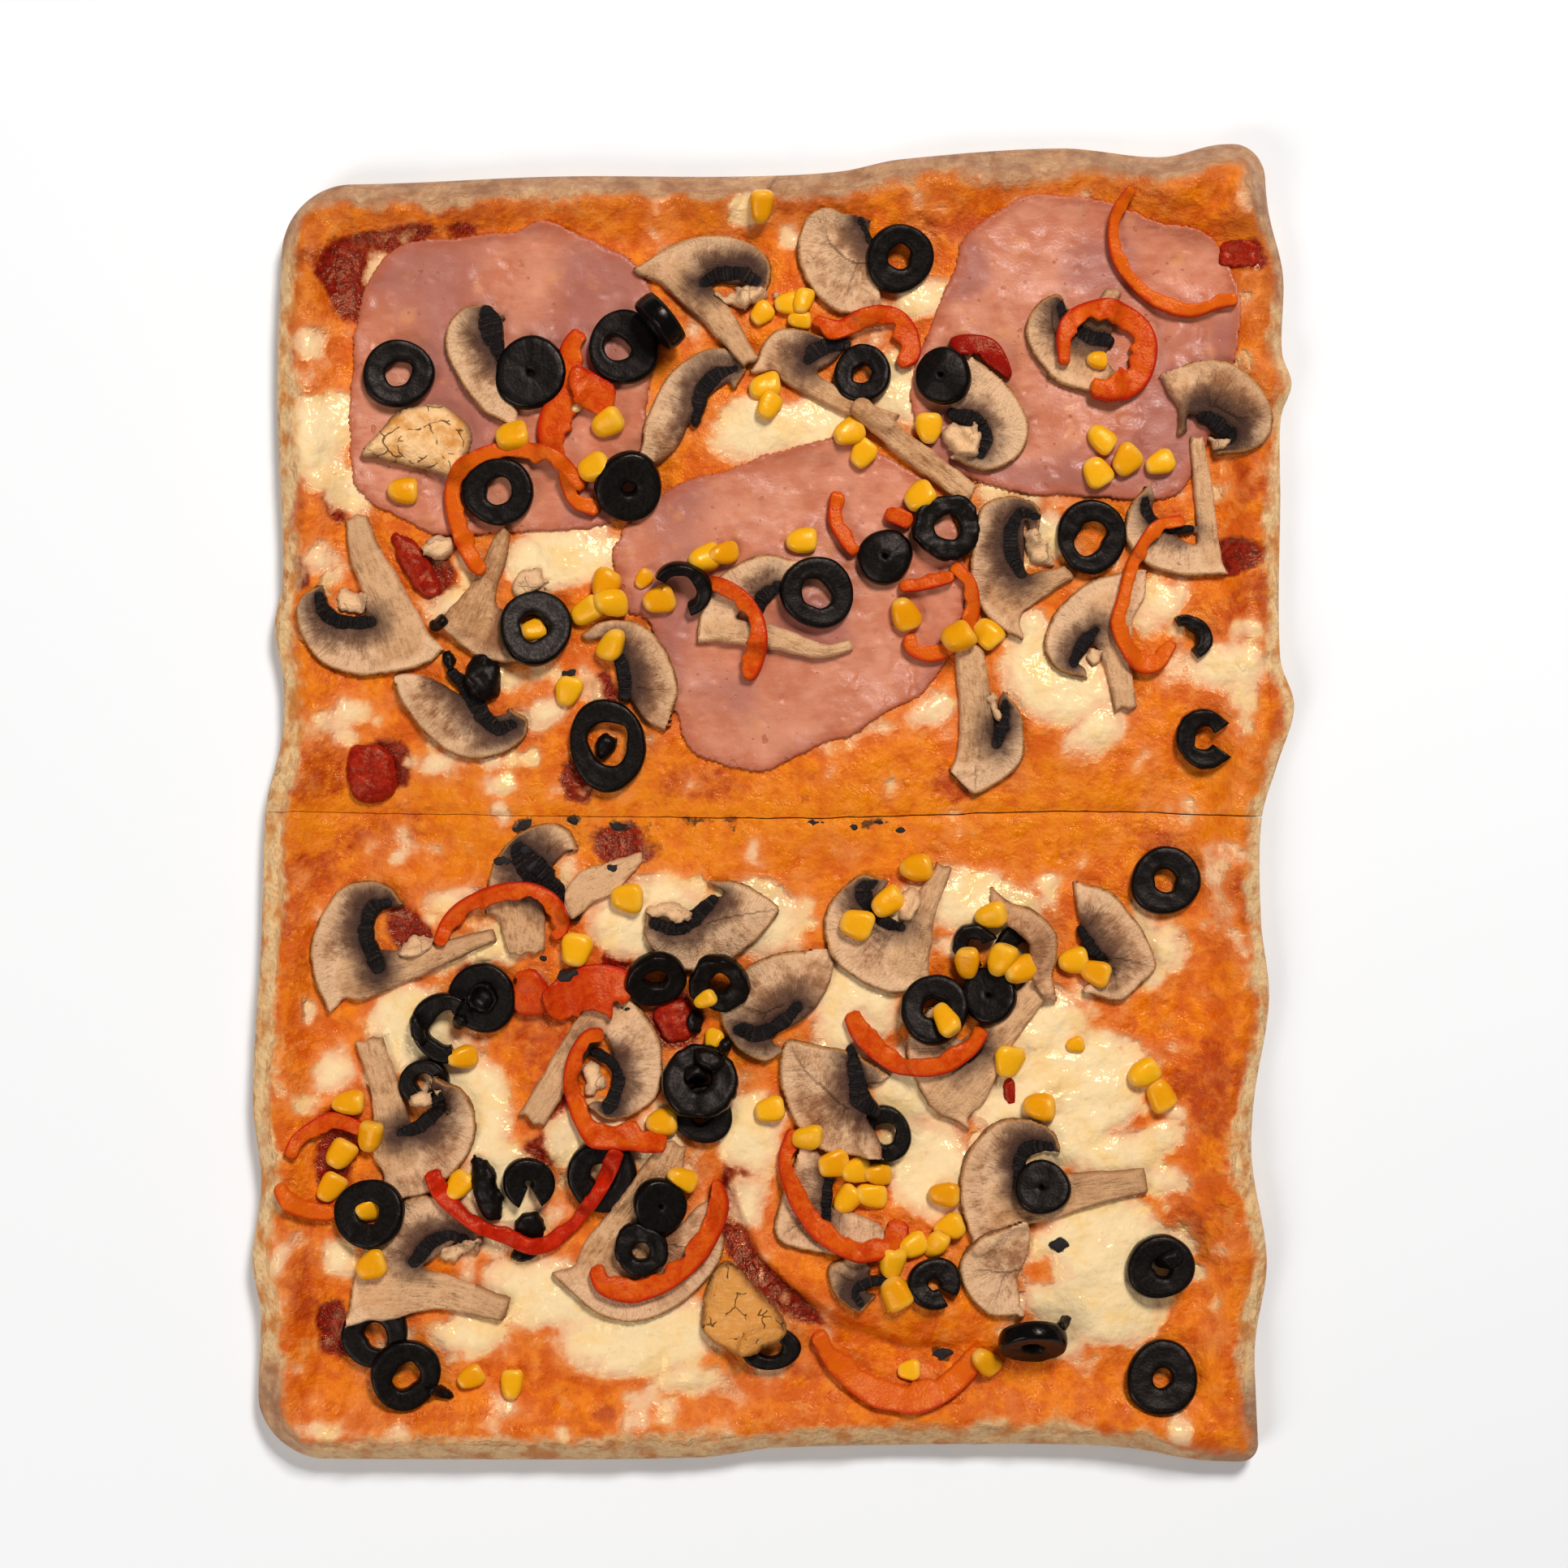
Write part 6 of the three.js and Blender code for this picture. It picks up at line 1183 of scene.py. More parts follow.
def olive_shape(angle, outer, hole, height, seed, squash, dome, ragged, hole_at):
    """A slice about its middle: the section swept round, with a wavy outer edge, an uneven hole and a
    crumbled top."""
    share, level = np.array(OLIVE_SECTION).T
    wave = 1.0 + 0.03 * np.sin(2 * angle + seed) + 0.02 * np.sin(3 * angle + seed * 1.7)
    wave = wave + ragged * 0.1 * rough_noise(np.cos(angle) * outer, np.sin(angle) * outer, 4.0, seed)
    uneven = rough_noise(np.cos(angle) * 5.0, np.sin(angle) * 5.0, 6.5, seed + 9, 2)
    hollow = hole * (1.0 + 0.28 * uneven)[:, None]
    radius = hollow + (outer * wave[:, None] - hollow) * share[None, :]
    nearness = (1 - share)[None, :]
    lx = radius * np.cos(angle)[:, None] + hole_at[0] * nearness
    ly = radius * np.sin(angle)[:, None] * squash + hole_at[1] * nearness
    crumb = 0.18 * rough_noise(lx, ly, 2.6, seed + 3, 3) + ragged * 0.9 * value_noise(lx, ly, 3.4, seed + 5)
    lz = level[None, :] * (height + crumb + dome * nearness - 0.35 * np.sin(np.pi * nearness))
    return lx, ly, lz, share, level


def olive_slice(stack, x, y, outer, hole, height, seed, arc=None, squash=1.0, turn=0.0, tip=0.0, dome=0.0,
                ragged=0.12, hole_at=(0.0, 0.0)):
    """A slice of olive, whole or along an arc of degrees: tipped, turned and set on the plane that
    fits the toppings below it."""
    sides = WHOLE_SIDES
    if arc is not None:
        sides = max(int(abs(arc[1] - arc[0]) / DEGREES_PER_SIDE), FEWEST_SIDES)
    start, end = arc or (0.0, 360.0)
    angle = np.radians(np.linspace(start, end, sides, endpoint=arc is not None))
    lx, ly, lz, share, level = olive_shape(angle, outer, hole, height, seed, squash, dome, ragged, hole_at)
    ly, lz = turned(ly, lz - height / 2, tip)
    lz = lz + height / 2
    lx, ly = turned(lx, ly, turn)
    base, slope_x, slope_y = stack.plane(x, y, outer * 0.9)
    if tip > STANDING:
        slope_x = slope_y = 0.0
    px, py = x + lx - slope_x * lz, y + ly - slope_y * lz
    pz = base + slope_x * lx + slope_y * ly + lz - SINK
    if tip:
        reach = outer * 1.5
        window = stack.window(x - reach, x + reach, y - reach, y + reach)
        gap = pz - bilinear(stack.height[window], window, stack, px, py)
        pz = pz - np.percentile(gap, 4) - SINK
    index = np.arange(px.size).reshape(px.shape)
    places = np.stack([px, py, pz], -1)
    vertices = [places.reshape(-1, 3)]
    faces = [tube_faces(np.vstack([index, index[:1]]) if arc is None else index)[:, ::-1]]
    values = {"ray_x": np.cos(angle)[:, None], "ray_y": np.sin(angle)[:, None], "out": share,
              "skin": ((share > 0.93) & (level < 0.95)).astype(float)}
    values = {key: np.broadcast_to(value, px.shape).ravel() for key, value in values.items()}
    if arc is not None:
        for number, end_row in enumerate((0, -1)):
            vertices.append(places[end_row].mean(0)[None, :])
            faces.append(fan(px.size + number, index[end_row], backwards=number == 0))
        at_ends = {"ray_x": 0.0, "ray_y": 0.0, "out": 0.5, "skin": 0.0}
        values = {key: np.append(value, [at_ends[key]] * 2) for key, value in values.items()}
    reach = outer * 1.3
    window = stack.window(x - reach, x + reach, y - reach, y + reach)
    gx, gy = stack.grid(window)
    away = np.hypot(gx - x, (gy - y) / squash)
    bearing = (np.degrees(np.arctan2(gy - y, gx - x)) - turn - start) % 360.0
    covered = (away < outer) & (away > hole) & (bearing <= end - start)
    stack.cover(window, base + slope_x * (gx - x) + slope_y * (gy - y) + height - SINK, covered)
    return np.concatenate(vertices), np.concatenate(faces), values


# Sweetcorn

# Kernels: (x, y, turn in degrees, size)
KERNELS = [
    (-80.8, 113.3, 15, 1), (-114.5, 96.5, 0, 1), (-51.5, 117.3, 30, 1), (-55.3, 103.3, 25, 1),
    (-3.8, 151.5, 40, 0.8), (4.3, 154.3, 10, 0.8), (9, 155, 80, 0.8), (7.8, 149.3, 0, 0.8),
    (-3, 128.8, 10, 1), (-1.8, 122.5, 60, 0.9), (23, 114.5, 20, 1), (27.5, 108, 50, 0.9),
    (47.8, 115.8, 90, 1), (99.3, 136.5, 0, 0.7), (100.8, 112.3, -35, 1), (99.5, 102, -60, 1),
    (108.5, 105.8, 45, 1), (119, 105, 20, 1), (45, 94.5, 30, 1), (8.5, 81, 0, 1), (-21.8, 75.3, 20, 1),
    (-15.8, 77, 10, 0.9), (-35.5, 62.8, 20, 1), (-40.3, 69.3, 50, 0.7), (-52, 67.5, 60, 1),
    (-50.5, 61.8, 0, 1), (-58, 59.3, 30, 1), (-74.5, 53.5, 20, 0.8), (-50, 49, -110, 1),
    (-63.5, 34.8, 80, 1), (40.3, 58.5, -70, 1), (65.8, 52.5, -50, 1), (56.5, 51.3, 30, 1),
    (-4, 183.5, 90, 1), (-45.3, -29, 0, 1), (-61, -45, 80, 1), (-96.3, -78.3, 10, 1), (-131.5, -92.5, 0, 1),
    (-124.8, -102.8, 80, 1), (-134, -108.3, 60, 1), (-137, -118.5, 60, 1), (-125.3, -125.3, 20, 0.8),
    (-123.8, -142, 20, 1), (-97.3, -118, 60, 1), (-34.5, -98, 0, 1), (-28.5, -115.5, -20, 1),
    (-21.3, -60.3, 30, 0.7), (-18.8, -73, 70, 0.7), (-1.3, -94.5, 10, 1), (-93.8, -177.5, 30, 0.8),
    (-81, -179.5, 90, 1), (43.8, -19.8, 10, 1), (34.8, -30.3, 30, 1), (25.5, -37, -20, 1),
    (66.8, -34.3, 20, 1), (59.5, -49, 90, 1), (69.8, -48, 70, 1), (75.5, -51, 15, 0.9),
    (92.3, -48.5, 10, 1), (99, -52, -15, 1), (52.5, -66, -55, 1), (72, -79.3, 80, 1), (81.5, -93.3, 0, 1),
    (114, -83.3, 30, 1), (119.3, -90, -60, 1), (92.8, -74.3, 15, 0.55), (10.3, -102.8, 0, 0.9),
    (18.3, -111.3, 10, 1), (25.5, -113.5, 20, 1), (32, -114.5, 0, 0.9), (22.5, -122.5, 50, 1),
    (30, -121, 0, 1), (52.5, -120.5, 0, 1), (54, -130.8, 20, 1), (50, -136, 60, 0.9), (42.3, -136.5, 20, 1),
    (36.3, -141.5, 80, 1), (37.5, -150.3, -60, 1), (65.3, -172, -45, 1), (41.8, -175.5, 0, 0.7),
]


KERNEL_SIDES, KERNEL_ROWS = 16, 12
# How deep a kernel is sunk in what it lies on
KERNEL_SINK = 1.0


def kernel(stack, x, y, turn, size, length, seed):
    """A kernel: a superellipsoid with a square blunt crown that is a little hollow, drawn in to a
    narrow foot, with its skin dimpled by slow waves, set on the plane that fits the toppings below."""
    random = np.random.default_rng(seed)
    around = np.linspace(0.0, 2 * math.pi, KERNEL_SIDES, endpoint=False)[None, :]
    down = np.linspace(0.0, math.pi, KERNEL_ROWS)[1:-1, None]
    squareness = random.uniform(0.5, 0.68)
    u = signed_power(np.cos(down), squareness) * np.ones((1, KERNEL_SIDES))
    ring = signed_power(np.sin(down), squareness)
    drawn = random.uniform(0.28, 0.46)
    narrow = 1.0 - drawn * np.clip((0.35 - u) / 1.35, 0.0, 1.0) ** 1.3
    v = ring * signed_power(np.cos(around), 0.72) * narrow
    w = ring * signed_power(np.sin(around), 0.82) * (0.55 + 0.45 * narrow)
    half = length / 2 * size * random.uniform(0.92, 1.06)
    across = random.uniform(0.78, 0.94)
    thick = random.uniform(0.5, 0.64)
    skew = random.uniform(-0.12, 0.12)
    wave = 1.0 + 0.04 * np.sin(3 * around + seed) * ring + 0.03 * np.sin(5 * u + seed)
    lx = (u - 0.1 * np.exp(-(v**2 + w**2) / 0.12) * (u > 0.8)) * half
    ly = (v + skew * u) * half * across * wave
    lz = w * half * thick * wave
    dent = random.uniform(0.05, 0.16)
    lz = lz - dent * half * np.exp(-((u - 0.3) ** 2 + (v * 0.6) ** 2) / 0.12) * (w > 0)
    lx = np.concatenate([[lx[0].mean() - 0.05 * half], lx.ravel(), [-half * 1.01]])
    ly = np.concatenate([[ly[0].mean()], ly.ravel(), [ly[-1].mean()]])
    lz = np.concatenate([[lz[0].mean()], lz.ravel(), [lz[-1].mean()]])
    base, slope_x, slope_y = stack.plane(x, y, half * 0.8, steepest=0.4, share=60)
    slope_x, slope_y = slope_x + random.uniform(-0.14, 0.14), slope_y + random.uniform(-0.14, 0.14)
    gx, gy = turned(lx, ly, turn)
    rest = half * thick
    px, py = x + gx - slope_x * lz, y + gy - slope_y * lz
    pz = base + slope_x * gx + slope_y * gy + lz + rest - KERNEL_SINK
    index = 1 + np.arange(u.size).reshape(u.shape)
    faces = np.concatenate([tube_faces(index), fan(0, index[0]), fan(1 + u.size, index[-1], backwards=True)])
    window = stack.window(x - half, x + half, y - half, y + half)
    a, b = seen_from(*stack.grid(window), x, y, turn)
    shape = 1.0 - np.abs(a / half) ** 3 - np.abs(b / (half * across)) ** 3
    stack.cover(window, base + rest * np.sqrt(np.maximum(shape, 0.0)) + rest - KERNEL_SINK, shape > 0.0)
    values = {"end": np.concatenate([[1.0], u.ravel(), [-1.0]]), "tone": float(random.uniform(-1, 1))}
    return np.stack([px, py, pz], 1), faces, values


# Crumbs and the seed

# Charred flakes and the seed: (x, y, half width, half height, turn in degrees, rise)
CHARRED_FLAKES = [
    (87.8, -135.8, 2.6, 1.8, 20, 1.4), (52, -170.3, 3.0, 1.6, 0, 1.4), (-77.8, -6.5, 2.6, 1.2, 20, 1.2),
    (-62.8, -5.4, 2.2, 1.1, 0, 1.2), (-48.8, -7.2, 2.4, 1.2, -20, 1.2), (-83.5, -17.5, 2.4, 1.5, 0, 1.2),
    (-74.8, -19.5, 2.2, 1.3, 30, 1.0), (13, -6.0, 1.8, 0.9, 0, 1.0), (24, -7.2, 2.4, 0.9, 10, 1.0),
    (33, -6.0, 1.6, 0.8, -15, 1.0), (38, -8.4, 1.8, 0.8, 0, 1.0), (-63.7, 40.1, 1.6, 1.2, 20, 1.0),
    (-71.3, -47.9, 1.5, 1.2, 0, 1.0), (-63.7, -52.8, 2.8, 2.0, 10, 1.2), (-49.4, -19.9, 1.4, 1.2, 0, 0.8),
    (-46.6, -63.1, 1.4, 0.9, 0, 0.8), (-76.8, -14.3, 1.3, 1.2, 0, 0.8), (-63.2, -14.9, 1.8, 0.9, 10, 0.7),
]
SEED = (-60.8, 121.8, 1.7, 1.2, 30, 1.4)


# Finishes


def tint(red, green, blue):
    """A colour as a screen shows it, in the scene's own linear scale."""
    values = np.array([red, green, blue]) / 255.0
    linear = np.where(values <= 0.04045, values / 12.92, ((values + 0.055) / 1.055) ** 2.4)
    return tuple(float(v) for v in linear)


class Finish:
    """A material as it is put together: its nodes, and short calls that add and join them."""

    def __init__(self, name):
        self.material = bpy.data.materials.new(name)
        self.material.use_nodes = True
        self.nodes = self.material.node_tree.nodes
        self.links = self.material.node_tree.links
        self.nodes.clear()
        output = self.nodes.new("ShaderNodeOutputMaterial")
        self.shader = self.nodes.new("ShaderNodeBsdfPrincipled")
        self.links.new(self.shader.outputs[0], output.inputs[0])
        self.place = self.nodes.new("ShaderNodeTexCoord").outputs["Object"]
        self.normal = None

    def put(self, socket, value):
        """Gives a socket a colour or a number, or joins it to another node's output."""
        if isinstance(value, bpy.types.NodeSocket):
            self.links.new(value, socket)
        elif socket.type == "RGBA":
            socket.default_value = (*value, 1.0)
        else:
            socket.default_value = value

    def attribute(self, name):
        """A number that the mesh holds at each of its points."""
        node = self.nodes.new("ShaderNodeAttribute")
        node.attribute_name = name
        return node.outputs["Fac"]

    def attributes(self, *names):
        return [self.attribute(name) for name in names]

    def math(self, operation, first, second=0.0, third=None):
        node = self.nodes.new("ShaderNodeMath")
        node.operation = operation
        self.put(node.inputs[0], first)
        self.put(node.inputs[1], second)
        if third is not None:
            self.put(node.inputs[2], third)
        return node.outputs[0]

    def add(self, *values):
        total = values[0]
        for value in values[1:]:
            total = self.math("ADD", total, value)
        return total

    def times(self, first, second):
        return self.math("MULTIPLY", first, second)

    def less(self, value):
        """One minus a value."""
        return self.math("SUBTRACT", 1.0, value)

    def sway(self, noise, amount):
        """Noise moved to lie about zero, times an amount."""
        return self.times(self.add(noise, -0.5), amount)

    def span(self, value, low, high, to_low=0.0, to_high=1.0):
        """A smooth step of a value from low to high."""
        node = self.nodes.new("ShaderNodeMapRange")
        node.interpolation_type = "SMOOTHSTEP"
        for socket, number in zip(node.inputs, (value, low, high, to_low, to_high)):
            self.put(socket, number)
        return node.outputs[0]

    def over(self, first, second, value, low, high, share=1.0):
        """The first colour, with a share of the second from where a value is low to where it is high."""
        shown = self.span(value, low, high)
        return self.mix(shown if share == 1.0 else self.times(shown, share), first, second)

    def mix(self, share, first, second):
        """The first colour, with a share of the second. The node's sockets for colours are its inputs
        6 and 7 and its output 2."""
        node = self.nodes.new("ShaderNodeMix")
        node.data_type = "RGBA"
        self.put(node.inputs[0], share)
        self.put(node.inputs[6], first)
        self.put(node.inputs[7], second)
        return node.outputs[2]

    def vector(self, x, y, z):
        node = self.nodes.new("ShaderNodeCombineXYZ")
        for socket, value in zip(node.inputs, (x, y, z)):
            self.put(socket, value)
        return node.outputs[0]

    def noise(self, millimetres, detail=4.0, roughness=0.55, stretch=None, vector=None, shift=0.0):
        """Noise from 0 to 1 with bumps of a size in millimetres, drawn out along an axis by stretch."""
        place = vector or self.place
        if stretch or shift:
            mapping = self.nodes.new("ShaderNodeMapping")
            mapping.inputs["Location"].default_value = (shift, shift * 0.7, shift * 0.3)
            mapping.inputs["Scale"].default_value = tuple(1.0 / s for s in (stretch or (1.0, 1.0, 1.0)))
            self.put(mapping.inputs["Vector"], place)
            place = mapping.outputs[0]
        node = self.nodes.new("ShaderNodeTexNoise")
        self.put(node.inputs["Vector"], place)
        node.inputs["Scale"].default_value = METRE / millimetres
        node.inputs["Detail"].default_value = detail
        node.inputs["Roughness"].default_value = roughness
        return node.outputs["Fac"]

    def cells(self, millimetres, feature="F1", warp=0.0):
        """Distance to the nearest of scattered points, or to the line between two of them. Warp bends
        the pattern by noise, in millimetres."""
        node = self.nodes.new("ShaderNodeTexVoronoi")
        node.feature = feature
        place = self.place
        if warp:
            bend = self.nodes.new("ShaderNodeTexNoise")
            bend.inputs["Scale"].default_value = METRE / (millimetres * 0.8)
            self.put(bend.inputs["Vector"], self.place)
            shift = self.nodes.new("ShaderNodeVectorMath")
            shift.operation = "MULTIPLY_ADD"
            self.put(shift.inputs[0], bend.outputs["Color"])
            shift.inputs[1].default_value = (warp * MM * 2,) * 3
            self.put(shift.inputs[2], self.place)
            place = shift.outputs[0]
        self.put(node.inputs["Vector"], place)
        node.inputs["Scale"].default_value = METRE / millimetres
        return node.outputs["Distance"]

    def bump(self, height, millimetres, strength=1.0):
        """Lets the light fall as if the surface stood up by a height from 0 to 1."""
        node = self.nodes.new("ShaderNodeBump")
        node.inputs["Strength"].default_value = strength
        node.inputs["Distance"].default_value = millimetres * MM
        self.put(node.inputs["Height"], height)
        if self.normal is not None:
            self.put(node.inputs["Normal"], self.normal)
        self.normal = node.outputs[0]

    def close(self, colour, roughness, **fixed):
        """Sets the shader's inputs and gives the material."""
        self.put(self.shader.inputs["Base Color"], colour)
        self.put(self.shader.inputs["Roughness"], roughness)
        for name, value in fixed.items():
            self.shader.inputs[name.replace("_", " ")].default_value = value
        if self.normal is not None:
            self.put(self.shader.inputs["Normal"], self.normal)
        return self.material


# The tint of the gloss on oily orange pieces, which takes the colour of what it lies on
WARM_GLOSS = (1.0, 0.66, 0.34, 1.0)


class CrustNoise:
    """The noises that the crust's colours share, and the place across and along the pizza."""

    def __init__(self, f, inset):
        self.speck, self.fine = f.noise(0.6, 3), f.noise(1.6, 5)
        self.middle, self.broad = f.noise(5.5, 5), f.noise(20.0, 4)
        self.cloud = f.noise(11.0, 5, 0.6, shift=0.31)
        self.soft = f.noise(6.5, 4, 0.5, shift=0.17)
        split = f.nodes.new("ShaderNodeSeparateXYZ")
        f.put(split.inputs[0], f.place)
        self.along = split.outputs[1]
        flow = f.vector(f.times(split.outputs[0], 0.3), f.times(self.along, 0.3), f.times(inset, 0.0009))
        self.streak = f.noise(2.2, 5, 0.6, vector=flow)


def crumb_colour(f, n, colours, inset):
    """Orange oiled crumb with brighter, yellower, paler and redder blots, browner towards the rim."""
    yellow, stain = f.attributes("yellow", "stain")
    patch = f.add(f.times(n.middle, 0.6), f.times(n.cloud, 0.6))
    oil = f.over(colours.crumb_deep, colours.crumb_bright, patch, 0.5, 0.72)
    oil = f.mix(f.times(yellow, f.span(n.middle, 0.3, 0.62, 0.3, 0.9)), oil, colours.crumb_yellow)
    pale = f.add(f.noise(9.0, 5, 0.6, shift=0.77), f.sway(n.fine, 0.3))
    paler = f.times(f.span(pale, 0.54, 0.72), f.math("MULTIPLY_ADD", yellow, -0.35, 0.5))
    oil = f.mix(paler, oil, colours.crumb_pale)
    rust = f.noise(3.2, 5, 0.65, shift=0.13)
    red = f.add(f.times(stain, 0.22), f.times(n.cloud, 0.7), f.times(rust, 0.6))
    oil = f.over(oil, colours.crumb_red, red, 0.68, 0.98, 0.85)
    oil = f.over(oil, colours.crumb_red, n.speck, 0.54, 0.76, 0.25)
    toast = f.add(f.sway(n.middle, 18.0), f.sway(n.broad, 16.0), inset)
    far_end = f.span(n.along, 0.1, 0.17, 0.12, 0.55)
    return f.mix(f.times(f.span(toast, 22.0, 4.0), far_end), oil, colours.crumb_toasted)


def melted_colour(f, n, colours, oil):
    """The crumb with creamy cheese and dark wet sauce on it, and where cheese and sauce lie."""
    edge = f.add(f.attribute("cheese"), f.sway(n.fine, 1.4), f.sway(n.middle, 6.0))
    melted = f.span(edge, -1.4, 1.4)
    inner = f.add(edge, f.sway(n.cloud, 6.0))
    creamy = f.over(colours.cheese_pink, colours.cheese, inner, -0.5, 5.0)
    creamy = f.over(creamy, colours.cheese_golden, f.add(n.cloud, f.times(n.middle, 0.35)), 0.62, 0.86, 0.6)
    creamy = f.over(creamy, colours.cheese_halo, f.noise(3.0, 4, shift=0.5), 0.62, 0.76, 0.35)
    surface = f.over(oil, colours.cheese_halo, edge, -4.5, 0.2, 0.6)
    surface = f.mix(melted, surface, creamy)
    wetness = f.add(f.attribute("sauce"), f.sway(n.fine, 2.6), f.sway(n.middle, 3.0))
    saucy = f.times(f.span(wetness, -1.0, 1.2), f.less(f.times(melted, 0.85)))
    sauce = f.over(colours.sauce_dark, colours.sauce, n.fine, 0.35, 0.68)
    return f.mix(saucy, surface, sauce), melted, saucy


def rim_colour(f, n, colours, inset):
    """A dry rim: golden and floury places, greyer ends (grey dust at the top end and upper corners, painted
    shade at the bottom end and lower corners), brown streaks and creases.
    """
    dry = f.over(colours.rim_golden, colours.rim_pale, f.add(n.soft, f.times(n.streak, 0.25)), 0.42, 0.7)
    shade = f.add(f.times(n.soft, 0.7), f.times(n.middle, 0.4), f.times(n.streak, 0.35), f.sway(n.broad, 0.9))
    # The grey of the dusty top end, also painted at the lower corners as shade
    dusty_and_shaded = f.over(colours.rim_dusty, colours.rim_tan, shade, 0.5, 0.88)
    dusty_and_shaded = f.over(dusty_and_shaded, colours.rim_pale, shade, 0.84, 1.0, 0.7)
    dry = f.mix(f.times(f.attribute("dust_and_shade"), f.span(n.middle, 0.3, 0.7, 0.95, 0.7)), dry, dusty_and_shaded)
    # Both ends of the rim greyer: grey dust at the top end, painted shade at the bottom end, whose side faces
    # away from the light
    both_ends = f.span(f.math("ABSOLUTE", n.along), 0.15, 0.195, 0.0, 0.3)
    dry = f.mix(both_ends, dry, colours.rim_dusty)
    dry = f.over(dry, colours.rim_brown, f.add(n.streak, f.times(n.middle, 0.5)), 0.62, 0.44, 0.25)
    dry = f.over(dry, colours.rim_brown, f.add(n.fine, f.times(n.broad, 0.4)), 0.66, 0.86, 0.3)
    wander = f.add(inset, f.sway(n.broad, -14.0), f.sway(n.middle, -3.0))
    crease = f.math("ABSOLUTE", f.add(f.math("PINGPONG", wander, 3.2), -0.4))
    crease = f.times(f.span(crease, 0.5, 0.05), f.span(f.add(n.middle, f.times(n.soft, 0.6)), 0.72, 0.9))
    return f.mix(f.times(crease, 0.6), dry, colours.rim_brown)


def crust_finish(colours):
    """Orange oiled crumb, glossy ragged patches of melted cheese, dark wet sauce, a dry mottled rim,
    burnt specks, and a browned underside."""
    f = Finish("baked_crust")
    rim, inset, under, burnt = f.attributes("rim", "inset", "under", "burnt")
    n = CrustNoise(f, inset)
    surface, melted, saucy = melted_colour(f, n, colours, crumb_colour(f, n, colours, inset))
    spill = f.add(f.sway(n.middle, 1.0), f.sway(n.streak, 0.5), f.sway(n.broad, 0.9))
    at_rim = f.span(f.add(rim, spill), 0.16, 0.8)
    surface = f.mix(at_rim, surface, rim_colour(f, n, colours, inset))
    surface = f.over(surface, colours.char, f.add(burnt, f.sway(n.fine, 3.4)), -0.4, 0.5, 0.85)
    baked = f.over(colours.base_pale, colours.base_brown, f.add(n.middle, f.times(n.broad, 0.8)), 0.78, 1.1)
    surface = f.over(surface, baked, under, 0.35, 0.75)
    wet = f.less(f.math("MAXIMUM", at_rim, f.span(under, 0.3, 0.7)))
    puddle = f.add(f.noise(6.0, 4, 0.6, shift=0.63), f.times(f.math("MAXIMUM", melted, saucy), 0.2))
    shine = f.span(puddle, 0.5, 0.6, 0.5, 0.13)
    roughness = f.math("MULTIPLY_ADD", wet, f.math("SUBTRACT", shine, 0.55), 0.55)
    pools = f.add(f.sway(f.noise(11.0, 2, 0.4, shift=0.9), 3.0), f.sway(f.noise(3.4, 2), 0.7))
    grain = f.add(f.times(n.fine, 0.5), f.times(n.speck, 0.1), f.times(f.times(n.streak, at_rim), 0.3),
                  f.times(n.middle, 1.5))
    f.bump(f.add(f.times(grain, f.less(f.times(melted, 0.85))), f.times(melted, pools)), 1.0, 1.0)
    return f.close(surface, roughness, Subsurface_Weight=0.04, Subsurface_Scale=0.003,
                   Specular_IOR_Level=0.5, Specular_Tint=WARM_GLOSS)


def ham_finish(colours):
    """Salmon meat with pale, golden and mauve clouds, short fibres, small wet pores and tears."""
    f = Finish("cooked_ham")
    inset, tone = f.attributes("inset", "tone")
    cloud, fibre, fine = f.noise(14.0, 5), f.noise(2.2, 4, stretch=(2.6, 1.0, 1.0)), f.noise(0.9, 3)
    meat = f.over(colours.ham, colours.ham_pale, f.add(cloud, f.times(fibre, 0.4)), 0.55, 0.85)
    meat = f.over(meat, colours.ham_mauve, f.add(tone, f.times(cloud, 0.8)), 0.3, 0.9, 0.75)
    meat = f.over(meat, colours.ham_gold, f.noise(9.0, 3, shift=0.6), 0.58, 0.74, 0.5)
    meat = f.over(meat, colours.ham_edge, f.add(inset, f.sway(fibre, 5.0)), 4.5, 0.2, 0.75)
    hole = f.times(f.span(f.cells(3.6), 0.16, 0.06), f.span(cloud, 0.45, 0.6))
    meat = f.mix(f.times(hole, 0.6), meat, colours.ham_mauve)
    meat = f.over(meat, colours.ham_pale, fine, 0.6, 0.8, 0.15)
    tear = f.times(f.span(f.noise(4.0, 2, 0.4, shift=0.45), 0.71, 0.74), f.span(cloud, 0.42, 0.5))
    meat = f.mix(f.times(tear, 0.6), meat, colours.ham_edge)
    roughness = f.span(f.add(fine, f.times(cloud, 0.8)), 0.6, 1.1, 0.26, 0.46)
    relief = f.add(f.times(fibre, 0.5), f.times(fine, 0.6), f.times(hole, -1.2), f.times(tear, -1.6))
    f.bump(relief, 0.25, 0.7)
    return f.close(meat, roughness, Subsurface_Weight=0.1, Subsurface_Scale=0.003, Specular_IOR_Level=0.25)


def cap_colour(f, colours, middle, broad, tone, inset):
    """A cap's golden skin from outside, with browner and paler places and a dried rim."""
    brown = f.add(middle, f.times(broad, 0.9), f.times(tone, 0.5))
    cap = f.over(colours.cap_golden, colours.cap_brown, brown, 0.72, 1.15)
    cap = f.over(cap, colours.flesh, f.noise(1.3, 4, stretch=(2.5, 0.8, 1.0)), 0.48, 0.75, 0.4)
    return f.over(cap, colours.mushroom_toasted, f.add(inset, f.sway(middle, 3.0)), 2.2, 0.0, 0.7)


